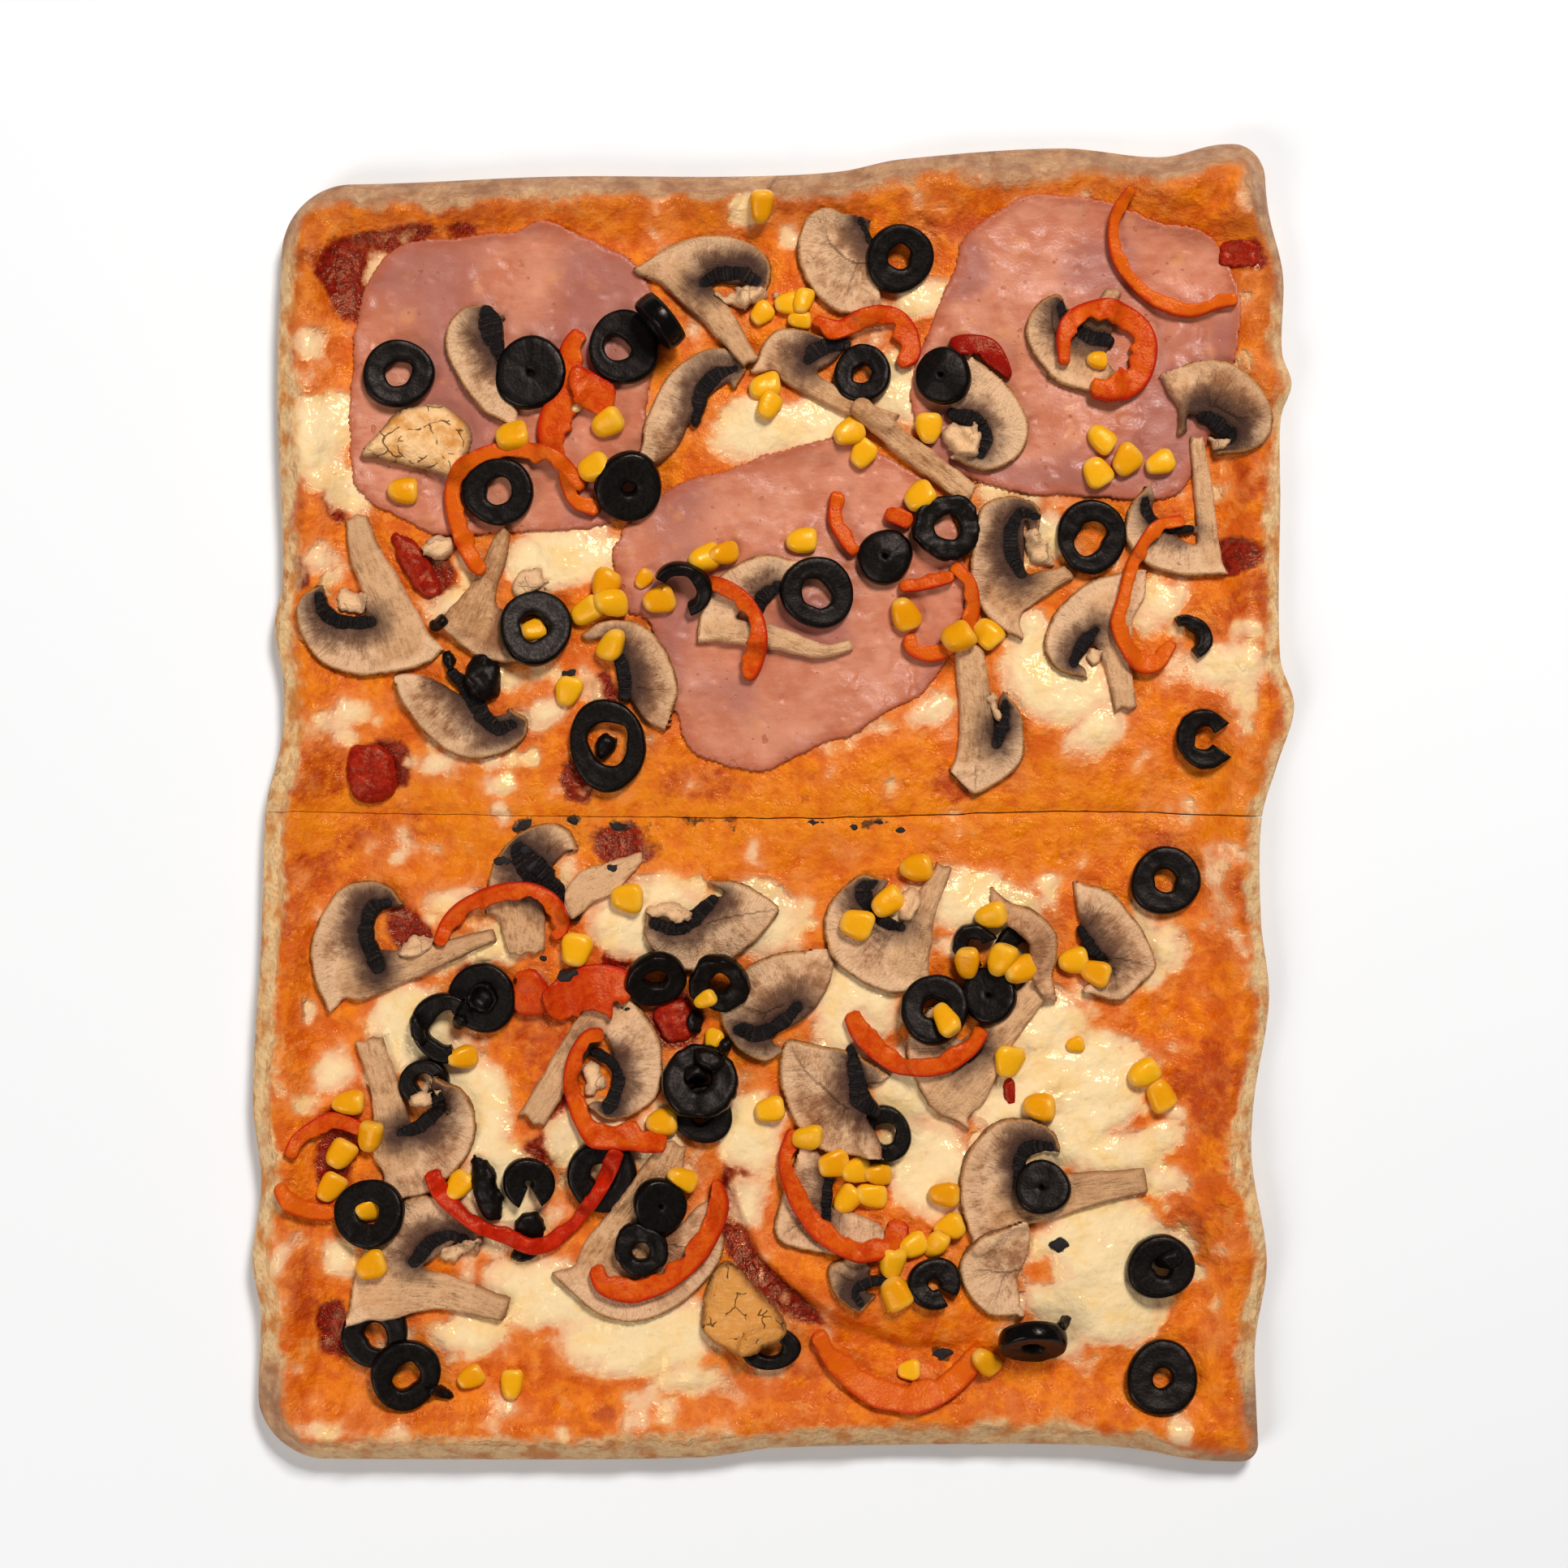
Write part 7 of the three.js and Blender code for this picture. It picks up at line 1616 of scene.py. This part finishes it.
def mushroom_finish(colours):
    """Cream flesh that browns and greys towards black ribbed gills, a thin golden skin line, a fibrous
    stem, and golden cracked skin on the caps seen from outside."""
    f = Finish("baked_mushroom")
    gill, stem, skin, share = f.attributes("gill", "stem", "skin", "share")
    tone, dome, inset = f.attributes("tone", "dome", "inset")
    fibre_u, fibre_v = f.attributes("fibre_u", "fibre_v")
    fine, middle, broad = f.noise(0.8, 4), f.noise(3.2, 5), f.noise(10.0, 3)
    fibre = f.noise(0.9, 4, 0.6, vector=f.vector(f.times(fibre_u, MM), f.times(fibre_v, 0.2 * MM), 0.0))
    comb = f.noise(0.75, 2, 0.6, vector=f.vector(f.times(fibre_u, MM), f.times(fibre_v, 0.05 * MM), 0.0))
    seam = f.math("MINIMUM", f.math("ABSOLUTE", f.add(stem, 0.2)), f.math("ABSOLUTE", f.add(gill, 0.4)))
    fibre = f.add(f.sway(fibre, f.span(seam, 0.5, 1.8)), 0.5)
    blot = f.add(f.sway(broad, 1.1), f.sway(middle, 0.8), f.sway(fibre, 0.4))
    age = f.add(blot, f.times(tone, 0.55))
    flesh = f.over(colours.flesh, colours.flesh_tan, age, -0.3, 0.5)
    flesh = f.over(flesh, colours.flesh_brown, f.add(share, age), 0.2, 0.95, 0.8)
    wrinkle = f.add(f.times(fibre, 0.6), f.times(f.noise(1.6, 5, 0.7), 0.6))
    flesh = f.over(flesh, colours.flesh_brown, wrinkle, 0.57, 0.76, 0.36)
    flesh = f.over(flesh, colours.flesh, wrinkle, 0.55, 0.4, 0.4)
    flesh = f.over(flesh, colours.flesh, f.add(skin, f.times(blot, 2.0)), 5.5, 1.5, 0.5)
    in_stem = f.span(stem, -1.2, 1.6)
    grain = f.add(fibre, f.sway(middle, 1.0), f.times(tone, 0.2))
    stalk = f.over(colours.stem, colours.stem_brown, grain, 0.3, 0.95)
    surface = f.mix(f.times(in_stem, 0.55), flesh, stalk)
    near = f.add(gill, f.times(blot, 4.0), f.times(tone, 4.0))
    surface = f.over(surface, colours.flesh_grey, near, -9.5, -1.0, 0.85)
    surface = f.over(surface, colours.gill_light, near, -2.4, 0.2, 0.85)
    surface = f.over(surface, colours.mushroom_toasted, f.add(inset, f.sway(middle, 2.6)), 0.8, -0.2, 0.22)
    band = f.span(f.add(gill, f.sway(comb, 1.2)), -0.15, 0.3)
    surface = f.mix(band, surface, f.over(colours.gill_dark, colours.gill_rib, comb, 0.5, 0.7))
    outside = f.less(f.math("MAXIMUM", f.times(in_stem, 0.9), band))
    line = f.times(f.span(f.add(skin, f.sway(middle, 1.2)), 1.3, 0.6), outside)
    surface = f.mix(f.times(line, 0.8), surface, colours.mushroom_skin)
    line = f.times(f.span(f.add(skin, f.sway(middle, 2.4)), 0.5, 0.1), outside)
    surface = f.mix(f.times(line, 0.7), surface, colours.mushroom_toasted)
    pit = f.times(f.span(f.noise(2.4, 2, shift=0.4), 0.7, 0.76), f.less(band))
    surface = f.mix(f.times(pit, 0.5), surface, colours.mushroom_toasted)
    crack_place = f.cells(8.0, "DISTANCE_TO_EDGE", warp=3.2)
    cracks = f.times(f.span(crack_place, 0.035, 0.005), f.span(f.noise(6.0, 2, shift=0.2), 0.48, 0.56))
    cap = cap_colour(f, colours, middle, broad, tone, inset)
    cap = f.mix(f.times(cracks, 0.85), cap, colours.mushroom_toasted)
    roughness = f.span(f.add(fine, f.times(middle, 0.6)), 0.5, 1.1, 0.38, 0.68)
    relief = f.add(f.times(middle, 0.7), f.times(fine, 0.6), f.times(fibre, 1.1),
                   f.times(f.times(comb, band), 1.8), f.times(f.times(cracks, dome), -1.2))
    f.bump(relief, 0.7, 1.0)
    return f.close(f.mix(dome, surface, cap), roughness, Subsurface_Weight=0.06, Subsurface_Scale=0.002,
                   Specular_IOR_Level=0.15)


def olive_finish(colours):
    """Charcoal flesh with grain that runs out from the hole, and a smooth near-black skin."""
    f = Finish("black_olive")
    ray_x, ray_y, out, skin = f.attributes("ray_x", "ray_y", "out", "skin")
    ray = f.vector(f.times(ray_x, 0.0045), f.times(ray_y, 0.0045), f.times(out, 0.0006))
    grain, fine, broad = f.noise(1.0, 3, 0.6, vector=ray), f.noise(0.9, 4), f.noise(5.0, 3)
    flesh = f.over(colours.olive_dark, colours.olive_flesh, f.add(grain, f.times(fine, 0.7)), 0.62, 1.05)
    flesh = f.over(flesh, colours.olive_brown, broad, 0.5, 0.75, 0.5)
    surface = f.mix(f.math("MAXIMUM", skin, f.span(out, 0.84, 0.97)), flesh, colours.olive_skin)
    roughness = f.math("MULTIPLY_ADD", skin, -0.2, f.span(fine, 0.35, 0.7, 0.36, 0.52))
    f.bump(f.times(f.add(f.times(grain, 0.4), f.times(fine, 0.6)), f.less(f.times(skin, 0.7))), 0.35, 0.6)
    return f.close(surface, roughness, Specular_IOR_Level=0.17, Specular_Tint=(1.0, 0.8, 0.7, 1.0))


def pepper_finish(colours):
    """Bright skin on the outer side, paler wet flesh on the cut top."""
    f = Finish("baked_pepper")
    across, kind = f.attributes("across", "kind")
    fine, middle, broad = f.noise(0.9, 4), f.noise(3.0, 4), f.noise(12.0, 3)
    flesh = f.over(colours.pepper_flesh, colours.pepper_orange, f.add(middle, f.times(fine, 0.5)), 0.55, 0.95)
    flesh = f.over(flesh, colours.pepper_amber, broad, 0.5, 0.68, 0.6)
    patch = f.add(middle, f.times(broad, 0.5))
    skin = f.over(colours.pepper_skin, colours.pepper_red, patch, 0.6, 1.0)
    edge = f.span(f.add(across, f.sway(middle, 0.9)), 0.45, 0.95)
    red = f.mix(f.math("MAXIMUM", edge, f.span(kind, -0.4, -0.9)), flesh, skin)
    dark = f.mix(f.span(middle, 0.35, 0.75, 0.1, 0.4), colours.pepper_dark, colours.pepper_skin)
    amber = f.over(colours.pepper_amber, colours.pepper_orange, patch, 0.55, 0.95)
    amber = f.mix(f.times(edge, 0.75), amber, skin)
    surface = f.over(f.over(red, dark, kind, 0.4, 0.9), amber, kind, 1.4, 1.9)
    roughness = f.span(f.add(fine, f.times(middle, 0.5)), 0.45, 1.0, 0.17, 0.38)
    f.bump(f.add(f.times(middle, 0.8), f.times(fine, 0.5)), 0.6, 0.7)
    return f.close(surface, roughness, Subsurface_Weight=0.06, Subsurface_Scale=0.002,
                   Specular_IOR_Level=0.24, Specular_Tint=WARM_GLOSS)


def corn_finish(colours):
    """Golden skin, paler at the crown and browner at the foot."""
    f = Finish("sweetcorn")
    end, tone = f.attributes("end", "tone")
    fine, middle = f.noise(1.0, 3), f.noise(3.0, 3)
    skin = f.over(colours.corn, colours.corn_deep, f.add(tone, f.times(middle, 0.8)), -0.4, 1.4)
    skin = f.over(skin, colours.corn_foot, f.add(end, f.times(middle, 0.6)), -0.2, -0.9, 0.7)
    skin = f.over(skin, colours.corn_pale, f.add(end, middle), 0.9, 1.5, 0.4)
    f.bump(f.add(f.times(middle, 0.7), f.times(fine, 0.3)), 0.35, 0.5)
    return f.close(skin, f.span(fine, 0.3, 0.7, 0.2, 0.36), Subsurface_Weight=0.1, Subsurface_Scale=0.002,
                   Specular_IOR_Level=0.35, Specular_Tint=WARM_GLOSS)


def tomato_finish(colours):
    """Dark red cooked pulp with lighter grains."""
    f = Finish("cooked_tomato")
    fine, middle = f.noise(1.0, 4), f.noise(2.6, 4)
    grain = f.add(middle, f.times(fine, 0.5))
    pulp = f.over(colours.tomato, colours.tomato_light, grain, 0.55, 1.0)
    f.bump(grain, 0.5, 0.8)
    return f.close(pulp, f.span(fine, 0.3, 0.7, 0.22, 0.45), Subsurface_Weight=0.1, Subsurface_Scale=0.002,
                   Specular_IOR_Level=0.3, Specular_Tint=WARM_GLOSS)


def plain_finish(name, colour, other, roughness, size=1.5):
    """Two close colours mixed by fine noise, with the same noise as relief."""
    f = Finish(name)
    fine = f.noise(size, 4)
    f.bump(fine, 0.4, 0.6)
    return f.close(f.mix(f.span(fine, 0.35, 0.65), colour, other), roughness)


# Sizes and colours


def colour_property(name, description, default):
    return FloatVectorProperty(name=name, description=description, subtype="COLOR", size=3, min=0.0, max=1.0,
                               default=default)


def length_property(name, description, millimetres):
    return FloatProperty(name=name, description=description, unit="LENGTH", default=millimetres * MM, min=0.0)


class PizzaSizes(bpy.types.PropertyGroup):
    ham_thickness: length_property("Ham thickness", "How thick a slice of ham is", 2.0)
    mushroom_thickness: length_property("Mushroom thickness", "How thick a slice of mushroom is", 4.0)
    pepper_thickness: length_property("Pepper thickness", "How thick a strip of pepper is", 4.0)
    olive_height: length_property("Olive height", "How tall a slice of olive is", 5.0)
    kernel_length: length_property("Kernel length", "How long a kernel of sweetcorn is", 10.0)


# Each colour: its name, its title, what it is, and its red, green and blue on a screen
COLOURS = [
    ("crumb_deep", "Crumb, deep", "Oiled crumb in the hollows", (208, 84, 2)),
    ("crumb_bright", "Crumb, bright", "Oiled crumb on the rises", (236, 122, 2)),
    ("crumb_red", "Crumb, red", "Redder specks", (164, 34, 4)),
    ("crumb_yellow", "Crumb, yellow", "The yellower band along the cut", (228, 124, 2)),
    ("crumb_toasted", "Crumb, toasted", "Browner places near the rim", (176, 90, 22)),
    ("crumb_pale", "Crumb, pale", "Places where less oil soaked in", (232, 146, 66)),
    ("cheese", "Cheese", "Melted cheese", (248, 216, 164)),
    ("cheese_pink", "Cheese, pink", "Cheese stained by the sauce", (238, 180, 134)),
    ("cheese_golden", "Cheese, golden", "Browner cheese", (244, 196, 120)),
    ("cheese_halo", "Cheese rim", "Where the cheese thins out", (228, 128, 62)),
    ("sauce", "Sauce", "Tomato sauce", (142, 21, 7)),
    ("sauce_dark", "Sauce, dark", "Sauce in the hollows", (98, 9, 4)),
    ("rim_tan", "Rim, tan", "Dry rim", (200, 150, 112)),
    ("rim_brown", "Rim, brown", "Streaks in the rim", (150, 96, 60)),
    # Grey of the dusty top rim, also painted as shade on the bottom end and lower corners
    ("rim_dusty", "Rim, dusty", "The greyer top rim and corners", (142, 98, 74)),
    ("rim_pale", "Rim, pale", "Floury places", (238, 195, 138)),
    ("rim_golden", "Rim, golden", "Baked places", (208, 125, 48)),
    ("base_pale", "Base, pale", "Underside", (214, 166, 110)),
    ("base_brown", "Base, brown", "Browned patches of the underside", (150, 92, 48)),
    ("char", "Charred", "Burnt specks", (12, 8, 7)),
    ("char_brown", "Charred, brown", "Lighter grains of the burnt flakes", (34, 20, 14)),
    ("ham", "Ham", "Cooked ham", (194, 114, 82)),
    ("ham_pale", "Ham, pale", "Pale clouds in the ham", (210, 136, 104)),
    ("ham_mauve", "Ham, mauve", "Mauve places in the ham", (164, 98, 86)),
    ("ham_gold", "Ham, golden", "Fatter clouds in the ham", (218, 144, 92)),
    ("ham_edge", "Ham rim", "The slice's baked rim", (176, 90, 60)),
    ("flesh", "Mushroom flesh", "Cream flesh", (234, 186, 142)),
    ("flesh_tan", "Mushroom, tan", "Tan places in the flesh", (196, 136, 88)),
    ("flesh_brown", "Mushroom, brown", "Flesh nearer the gills", (138, 88, 56)),
    ("flesh_grey", "Mushroom, grey", "Greyed flesh", (80, 52, 40)),
    ("stem", "Mushroom stem", "Stem flesh", (216, 162, 110)),
    ("stem_brown", "Mushroom stem, brown", "Browner fibres", (160, 106, 64)),
    ("mushroom_toasted", "Mushroom, toasted", "Dried rims of a slice", (104, 64, 38)),
    ("mushroom_skin", "Mushroom skin", "The cap's skin, edge on", (182, 124, 66)),
    ("gill_dark", "Gills, dark", "Between the gills", (18, 12, 10)),
    ("gill_rib", "Gill ribs", "The ribs' edges", (54, 36, 28)),
    ("gill_light", "Gills, light", "The gills' edges", (70, 46, 36)),
    ("cap_golden", "Cap, golden", "A cap's skin from outside", (250, 200, 140)),
    ("cap_brown", "Cap, brown", "Browned places of a cap", (218, 146, 66)),
    ("olive_flesh", "Olive flesh", "Cut flesh", (16, 12, 11)),
    ("olive_dark", "Olive, dark", "Dark grain in the flesh", (6, 5, 4)),
    ("olive_brown", "Olive, brown", "Brown tinge", (16, 11, 9)),
    ("olive_skin", "Olive skin", "Skin", (6, 5, 5)),
    ("corn", "Corn", "Kernel skin", (238, 168, 18)),
    ("corn_deep", "Corn, deep", "Deeper kernels", (226, 144, 4)),
    ("corn_pale", "Corn, pale", "Crown of a kernel", (248, 200, 84)),
    ("corn_foot", "Corn foot", "Foot of a kernel", (232, 186, 92)),
    ("pepper_skin", "Pepper skin", "Skin", (170, 24, 6)),
    ("pepper_red", "Pepper, red", "Brighter skin", (196, 36, 6)),
    ("pepper_flesh", "Pepper flesh", "Cut flesh", (196, 56, 6)),
    ("pepper_orange", "Pepper, orange", "Wet flesh", (210, 84, 14)),
    ("pepper_dark", "Pepper, dark", "The darkest strip", (132, 10, 8)),
    ("pepper_amber", "Pepper, amber", "The orange strip", (214, 92, 8)),
    ("tomato", "Tomato", "Cooked pulp", (132, 15, 7)),
    ("tomato_light", "Tomato, light", "Grains of the pulp", (166, 33, 13)),
]
FLOOR_LIGHTNESS = 0.9


class PizzaColours(bpy.types.PropertyGroup):
    __annotations__ = {name: colour_property(title, text, tint(*screen))
                       for name, title, text, screen in COLOURS}
    __annotations__["floor"] = colour_property("Floor", "Pale floor", (FLOOR_LIGHTNESS,) * 3)


def sizes(context):
    return context.scene.pizza_sizes


def colours(context):
    return context.scene.pizza_colours


# What each step hands to the next: the stack of heights, and the finishes made so far
WORK = {}

# The seed of the first piece of a kind, and the step to the next one's
SEEDS = {"ham": (300, 20), "tomato": (700, 9), "mushroom": (1000, 40), "cap": (3000, 30), "scrap": (3300, 30),
         "pepper": (4000, 40), "olive": (6000, 30), "olive_scrap": (8000, 30), "kernel": (9000, 1),
         "flake": (9500, 10), "pepper_seed": (9700, 10)}


def seed_for(kind, order):
    first, step = SEEDS[kind]
    return first + step * order


def blobs(kind, spots, **look):
    """A lump for each spot of a list."""
    return [blob(WORK["stack"], spot, seed_for(kind, order), **look) for order, spot in enumerate(spots)]


def finish_for(context, name, maker):
    """The finish of a kind of piece, made when it is first asked for."""
    if name not in WORK:
        WORK[name] = maker(colours(context))
    return WORK[name]


# Operators


class PIZZA_OT_crust(bpy.types.Operator):
    """Build both halves of the crust"""
    bl_idname = "pizza.crust"
    bl_label = "Crust"

    def execute(self, context):
        WORK["stack"] = Stack()
        finish = finish_for(context, "crust", crust_finish)
        for upper, name in ((True, "upper"), (False, "lower")):
            write_piece("crust_half_" + name, [crust_half(upper)], finish, ["crust_" + name])
        return {"FINISHED"}


class PIZZA_OT_ham(bpy.types.Operator):
    """Lay the three slices of ham"""
    bl_idname = "pizza.ham"
    bl_label = "Ham"

    def execute(self, context):
        finish = finish_for(context, "ham", ham_finish)
        thickness = sizes(context).ham_thickness / MM
        for order, (place, outline) in enumerate(HAM_SLICES.items()):
            part = ham_slice(WORK["stack"], outline, thickness, seed_for("ham", order))
            write_piece("ham_slice_" + place, [part], finish, ["ham_" + place])
        return {"FINISHED"}


class PIZZA_OT_tomatoes(bpy.types.Operator):
    """Lay the pieces of tomato"""
    bl_idname = "pizza.tomatoes"
    bl_label = "Tomatoes"

    def execute(self, context):
        finish = finish_for(context, "tomato", tomato_finish)
        write_piece("tomato_pieces", blobs("tomato", TOMATOES, squareness=2.6), finish)
        return {"FINISHED"}


class PIZZA_OT_mushrooms(bpy.types.Operator):
    """Lay the slices and caps of mushroom"""
    bl_idname = "pizza.mushrooms"
    bl_label = "Mushrooms"

    def execute(self, context):
        stack = WORK["stack"]
        finish = finish_for(context, "mushroom", mushroom_finish)
        thickness = sizes(context).mushroom_thickness / MM
        loose = []
        for order, (number, skin, stem, gills, tone) in enumerate(MUSHROOM_SLICES):
            part = mushroom_slice(stack, skin, stem, gills, thickness, tone, seed_for("mushroom", order))
            if number is None:
                loose.append(part)
            else:
                name = f"mushroom_slice_{number:02d}"
                write_piece(name, [part], finish, [f"mushroom_{number:02d}"])
        for order, (number, outline, rise, tone) in enumerate(MUSHROOM_CAPS):
            part = mushroom_cap(stack, outline, rise, tone, seed_for("cap", order))
            name = f"mushroom_cap_{number:02d}"
            write_piece(name, [part], finish, [f"mushroom_{number:02d}"])
        flap = dict(PLAIN_FLESH, dome=0.35, tone=-0.9)
        loose += blobs("scrap", MUSHROOM_SCRAPS, ragged=1.7, look=flap)
        write_piece("mushroom_small_slices", loose, finish)
        return {"FINISHED"}


class PIZZA_OT_peppers(bpy.types.Operator):
    """Lay the strips of pepper"""
    bl_idname = "pizza.peppers"
    bl_label = "Peppers"

    def execute(self, context):
        finish = finish_for(context, "pepper", pepper_finish)
        thickness = sizes(context).pepper_thickness / MM
        pieces = {}
        for order, (number, line, kind) in enumerate(PEPPER_STRIPS):
            part = pepper_strip(WORK["stack"], line, thickness, kind, seed_for("pepper", order))
            pieces.setdefault(number, []).append(part)
        loose = pieces.pop(None)
        for number, parts in pieces.items():
            write_piece(f"pepper_strip_{number:02d}", parts, finish, [f"pepper_{number:02d}"])
        write_piece("pepper_small_strips", loose, finish)
        return {"FINISHED"}


class PIZZA_OT_olives(bpy.types.Operator):
    """Lay one layer of the olives: those under the mushrooms, or those on top"""
    bl_idname = "pizza.olives"
    bl_label = "Olives"

    layer: EnumProperty(name="Layer", description="Which olives to lay", default="low",
                        items=[("low", "Low", "Under the mushrooms"), ("top", "Top", "On top")])

    def execute(self, context):
        stack = WORK["stack"]
        finish = finish_for(context, "olive", olive_finish)
        usual = sizes(context).olive_height / MM
        loose = []
        for order, (number, layer, x, y, outer, hole, options) in enumerate(OLIVE_SLICES):
            if layer != self.layer:
                continue
            options = {"height": usual, **options}
            part = olive_slice(stack, x, y, outer, hole, seed=seed_for("olive", order), **options)
            if number is None:
                loose.append(part)
            else:
                write_piece(f"olive_slice_{number:02d}", [part], finish, [f"olive_{number:02d}"])
        torn = {"ray_x": 0.3, "ray_y": 0.2, "out": 0.6, "skin": 0.0}
        loose += [blob(stack, spot, seed_for("olive_scrap", order), ragged=0.9, look=torn)
                  for order, (layer, *spot) in enumerate(OLIVE_SCRAPS) if layer == self.layer]
        write_piece(f"olive_small_slices_{self.layer}", loose, finish)
        return {"FINISHED"}


class PIZZA_OT_sweetcorn(bpy.types.Operator):
    """Scatter the kernels of sweetcorn where they lie"""
    bl_idname = "pizza.sweetcorn"
    bl_label = "Sweetcorn"

    def execute(self, context):
        length = sizes(context).kernel_length / MM
        parts = [kernel(WORK["stack"], x, y, turn, size, length, seed_for("kernel", order))
                 for order, (x, y, turn, size) in enumerate(KERNELS)]
        write_piece("sweetcorn_kernels", parts, finish_for(context, "corn", corn_finish))
        return {"FINISHED"}


class PIZZA_OT_crumbs(bpy.types.Operator):
    """Lay the charred flakes and the pepper seed"""
    bl_idname = "pizza.crumbs"
    bl_label = "Crumbs"

    def execute(self, context):
        look = colours(context)
        flakes = blobs("flake", CHARRED_FLAKES, ragged=0.9, grain=2.4)
        charred = plain_finish("charred", look.char, look.char_brown, 0.85)
        write_piece("charred_flakes", flakes, charred)
        seed = blobs("pepper_seed", [SEED], ragged=0.1)
        pale = plain_finish("seed", look.cheese, look.corn_foot, 0.4)
        write_piece("pepper_seed", seed, pale)
        return {"FINISHED"}


# Stage

# The camera's place in metres, and its focal length and its sensor's width in millimetres
CAMERA_PLACE = (0.003, 0.006, 0.954)
CAMERA_LENS, CAMERA_SENSOR = 70.0, 36.0
# Lamps: (x, y, z in metres, side in metres, power in watts)
LAMPS = {"key_light": (0.5, 1.1, 1.65, 0.45, 36.5), "fill_light": (-1.0, -0.95, 1.2, 0.8, 12.5)}
WORLD_LIGHT = 0.15


class PIZZA_OT_stage(bpy.types.Operator):
    """Set the pale floor, the soft light and the camera straight above"""
    bl_idname = "pizza.stage"
    bl_label = "Stage"

    def execute(self, context):
        scene = context.scene
        bpy.ops.mesh.primitive_plane_add(size=8.0, location=(0.0, 0.0, 0.0))
        floor = context.object
        floor.name = "floor"
        shade = Finish("pale_floor")
        floor.data.materials.append(shade.close(tuple(colours(context).floor), 0.9, Specular_IOR_Level=0.1))
        world = bpy.data.worlds.new("soft_surround")
        world.use_nodes = True
        surround = world.node_tree.nodes["Background"]
        surround.inputs["Color"].default_value = (1.0, 1.0, 1.0, 1.0)
        surround.inputs["Strength"].default_value = WORLD_LIGHT
        scene.world = world
        for name, (x, y, z, side, power) in LAMPS.items():
            lamp = bpy.data.lights.new(name, "AREA")
            lamp.size = side
            lamp.energy = power
            light = bpy.data.objects.new(name, lamp)
            light.location = (x, y, z)
            light.rotation_euler = (-light.location).to_track_quat("-Z", "Y").to_euler()
            scene.collection.objects.link(light)
        view = bpy.data.cameras.new("camera_above")
        view.lens = CAMERA_LENS
        view.sensor_width = CAMERA_SENSOR
        view.clip_start = 0.01
        camera = bpy.data.objects.new("camera_above", view)
        camera.location = CAMERA_PLACE
        scene.collection.objects.link(camera)
        scene.camera = camera
        scene.view_settings.view_transform = "Standard"
        return {"FINISHED"}


class PIZZA_PT_panel(bpy.types.Panel):
    bl_label = "Pizza"
    bl_idname = "PIZZA_PT_panel"
    bl_space_type = "VIEW_3D"
    bl_region_type = "UI"
    bl_category = "Pizza"

    def draw(self, context):
        layout = self.layout
        for operator in ("crust", "ham", "tomatoes"):
            layout.operator("pizza." + operator)
        layout.operator("pizza.olives", text="Olives, low").layer = "low"
        for operator in ("mushrooms", "peppers"):
            layout.operator("pizza." + operator)
        layout.operator("pizza.olives", text="Olives, top").layer = "top"
        for operator in ("sweetcorn", "crumbs", "stage"):
            layout.operator("pizza." + operator)
        for group in (context.scene.pizza_sizes, context.scene.pizza_colours):
            for name in group.__annotations__:
                layout.prop(group, name)


CLASSES = (PizzaSizes, PizzaColours, PIZZA_OT_crust, PIZZA_OT_ham, PIZZA_OT_tomatoes,
           PIZZA_OT_mushrooms, PIZZA_OT_peppers, PIZZA_OT_olives, PIZZA_OT_sweetcorn, PIZZA_OT_crumbs,
           PIZZA_OT_stage, PIZZA_PT_panel)


def register():
    for cls in CLASSES:
        bpy.utils.register_class(cls)
    bpy.types.Scene.pizza_sizes = PointerProperty(type=PizzaSizes)
    bpy.types.Scene.pizza_colours = PointerProperty(type=PizzaColours)


def unregister():
    del bpy.types.Scene.pizza_colours
    del bpy.types.Scene.pizza_sizes
    for cls in reversed(CLASSES):
        bpy.utils.unregister_class(cls)


def main():
    register()
    bpy.ops.pizza.crust()
    bpy.ops.pizza.ham()
    bpy.ops.pizza.tomatoes()
    bpy.ops.pizza.olives(layer="low")
    bpy.ops.pizza.mushrooms()
    bpy.ops.pizza.peppers()
    bpy.ops.pizza.olives(layer="top")
    bpy.ops.pizza.sweetcorn()
    bpy.ops.pizza.crumbs()
    bpy.ops.pizza.stage()


if __name__ == "__main__":
    main()
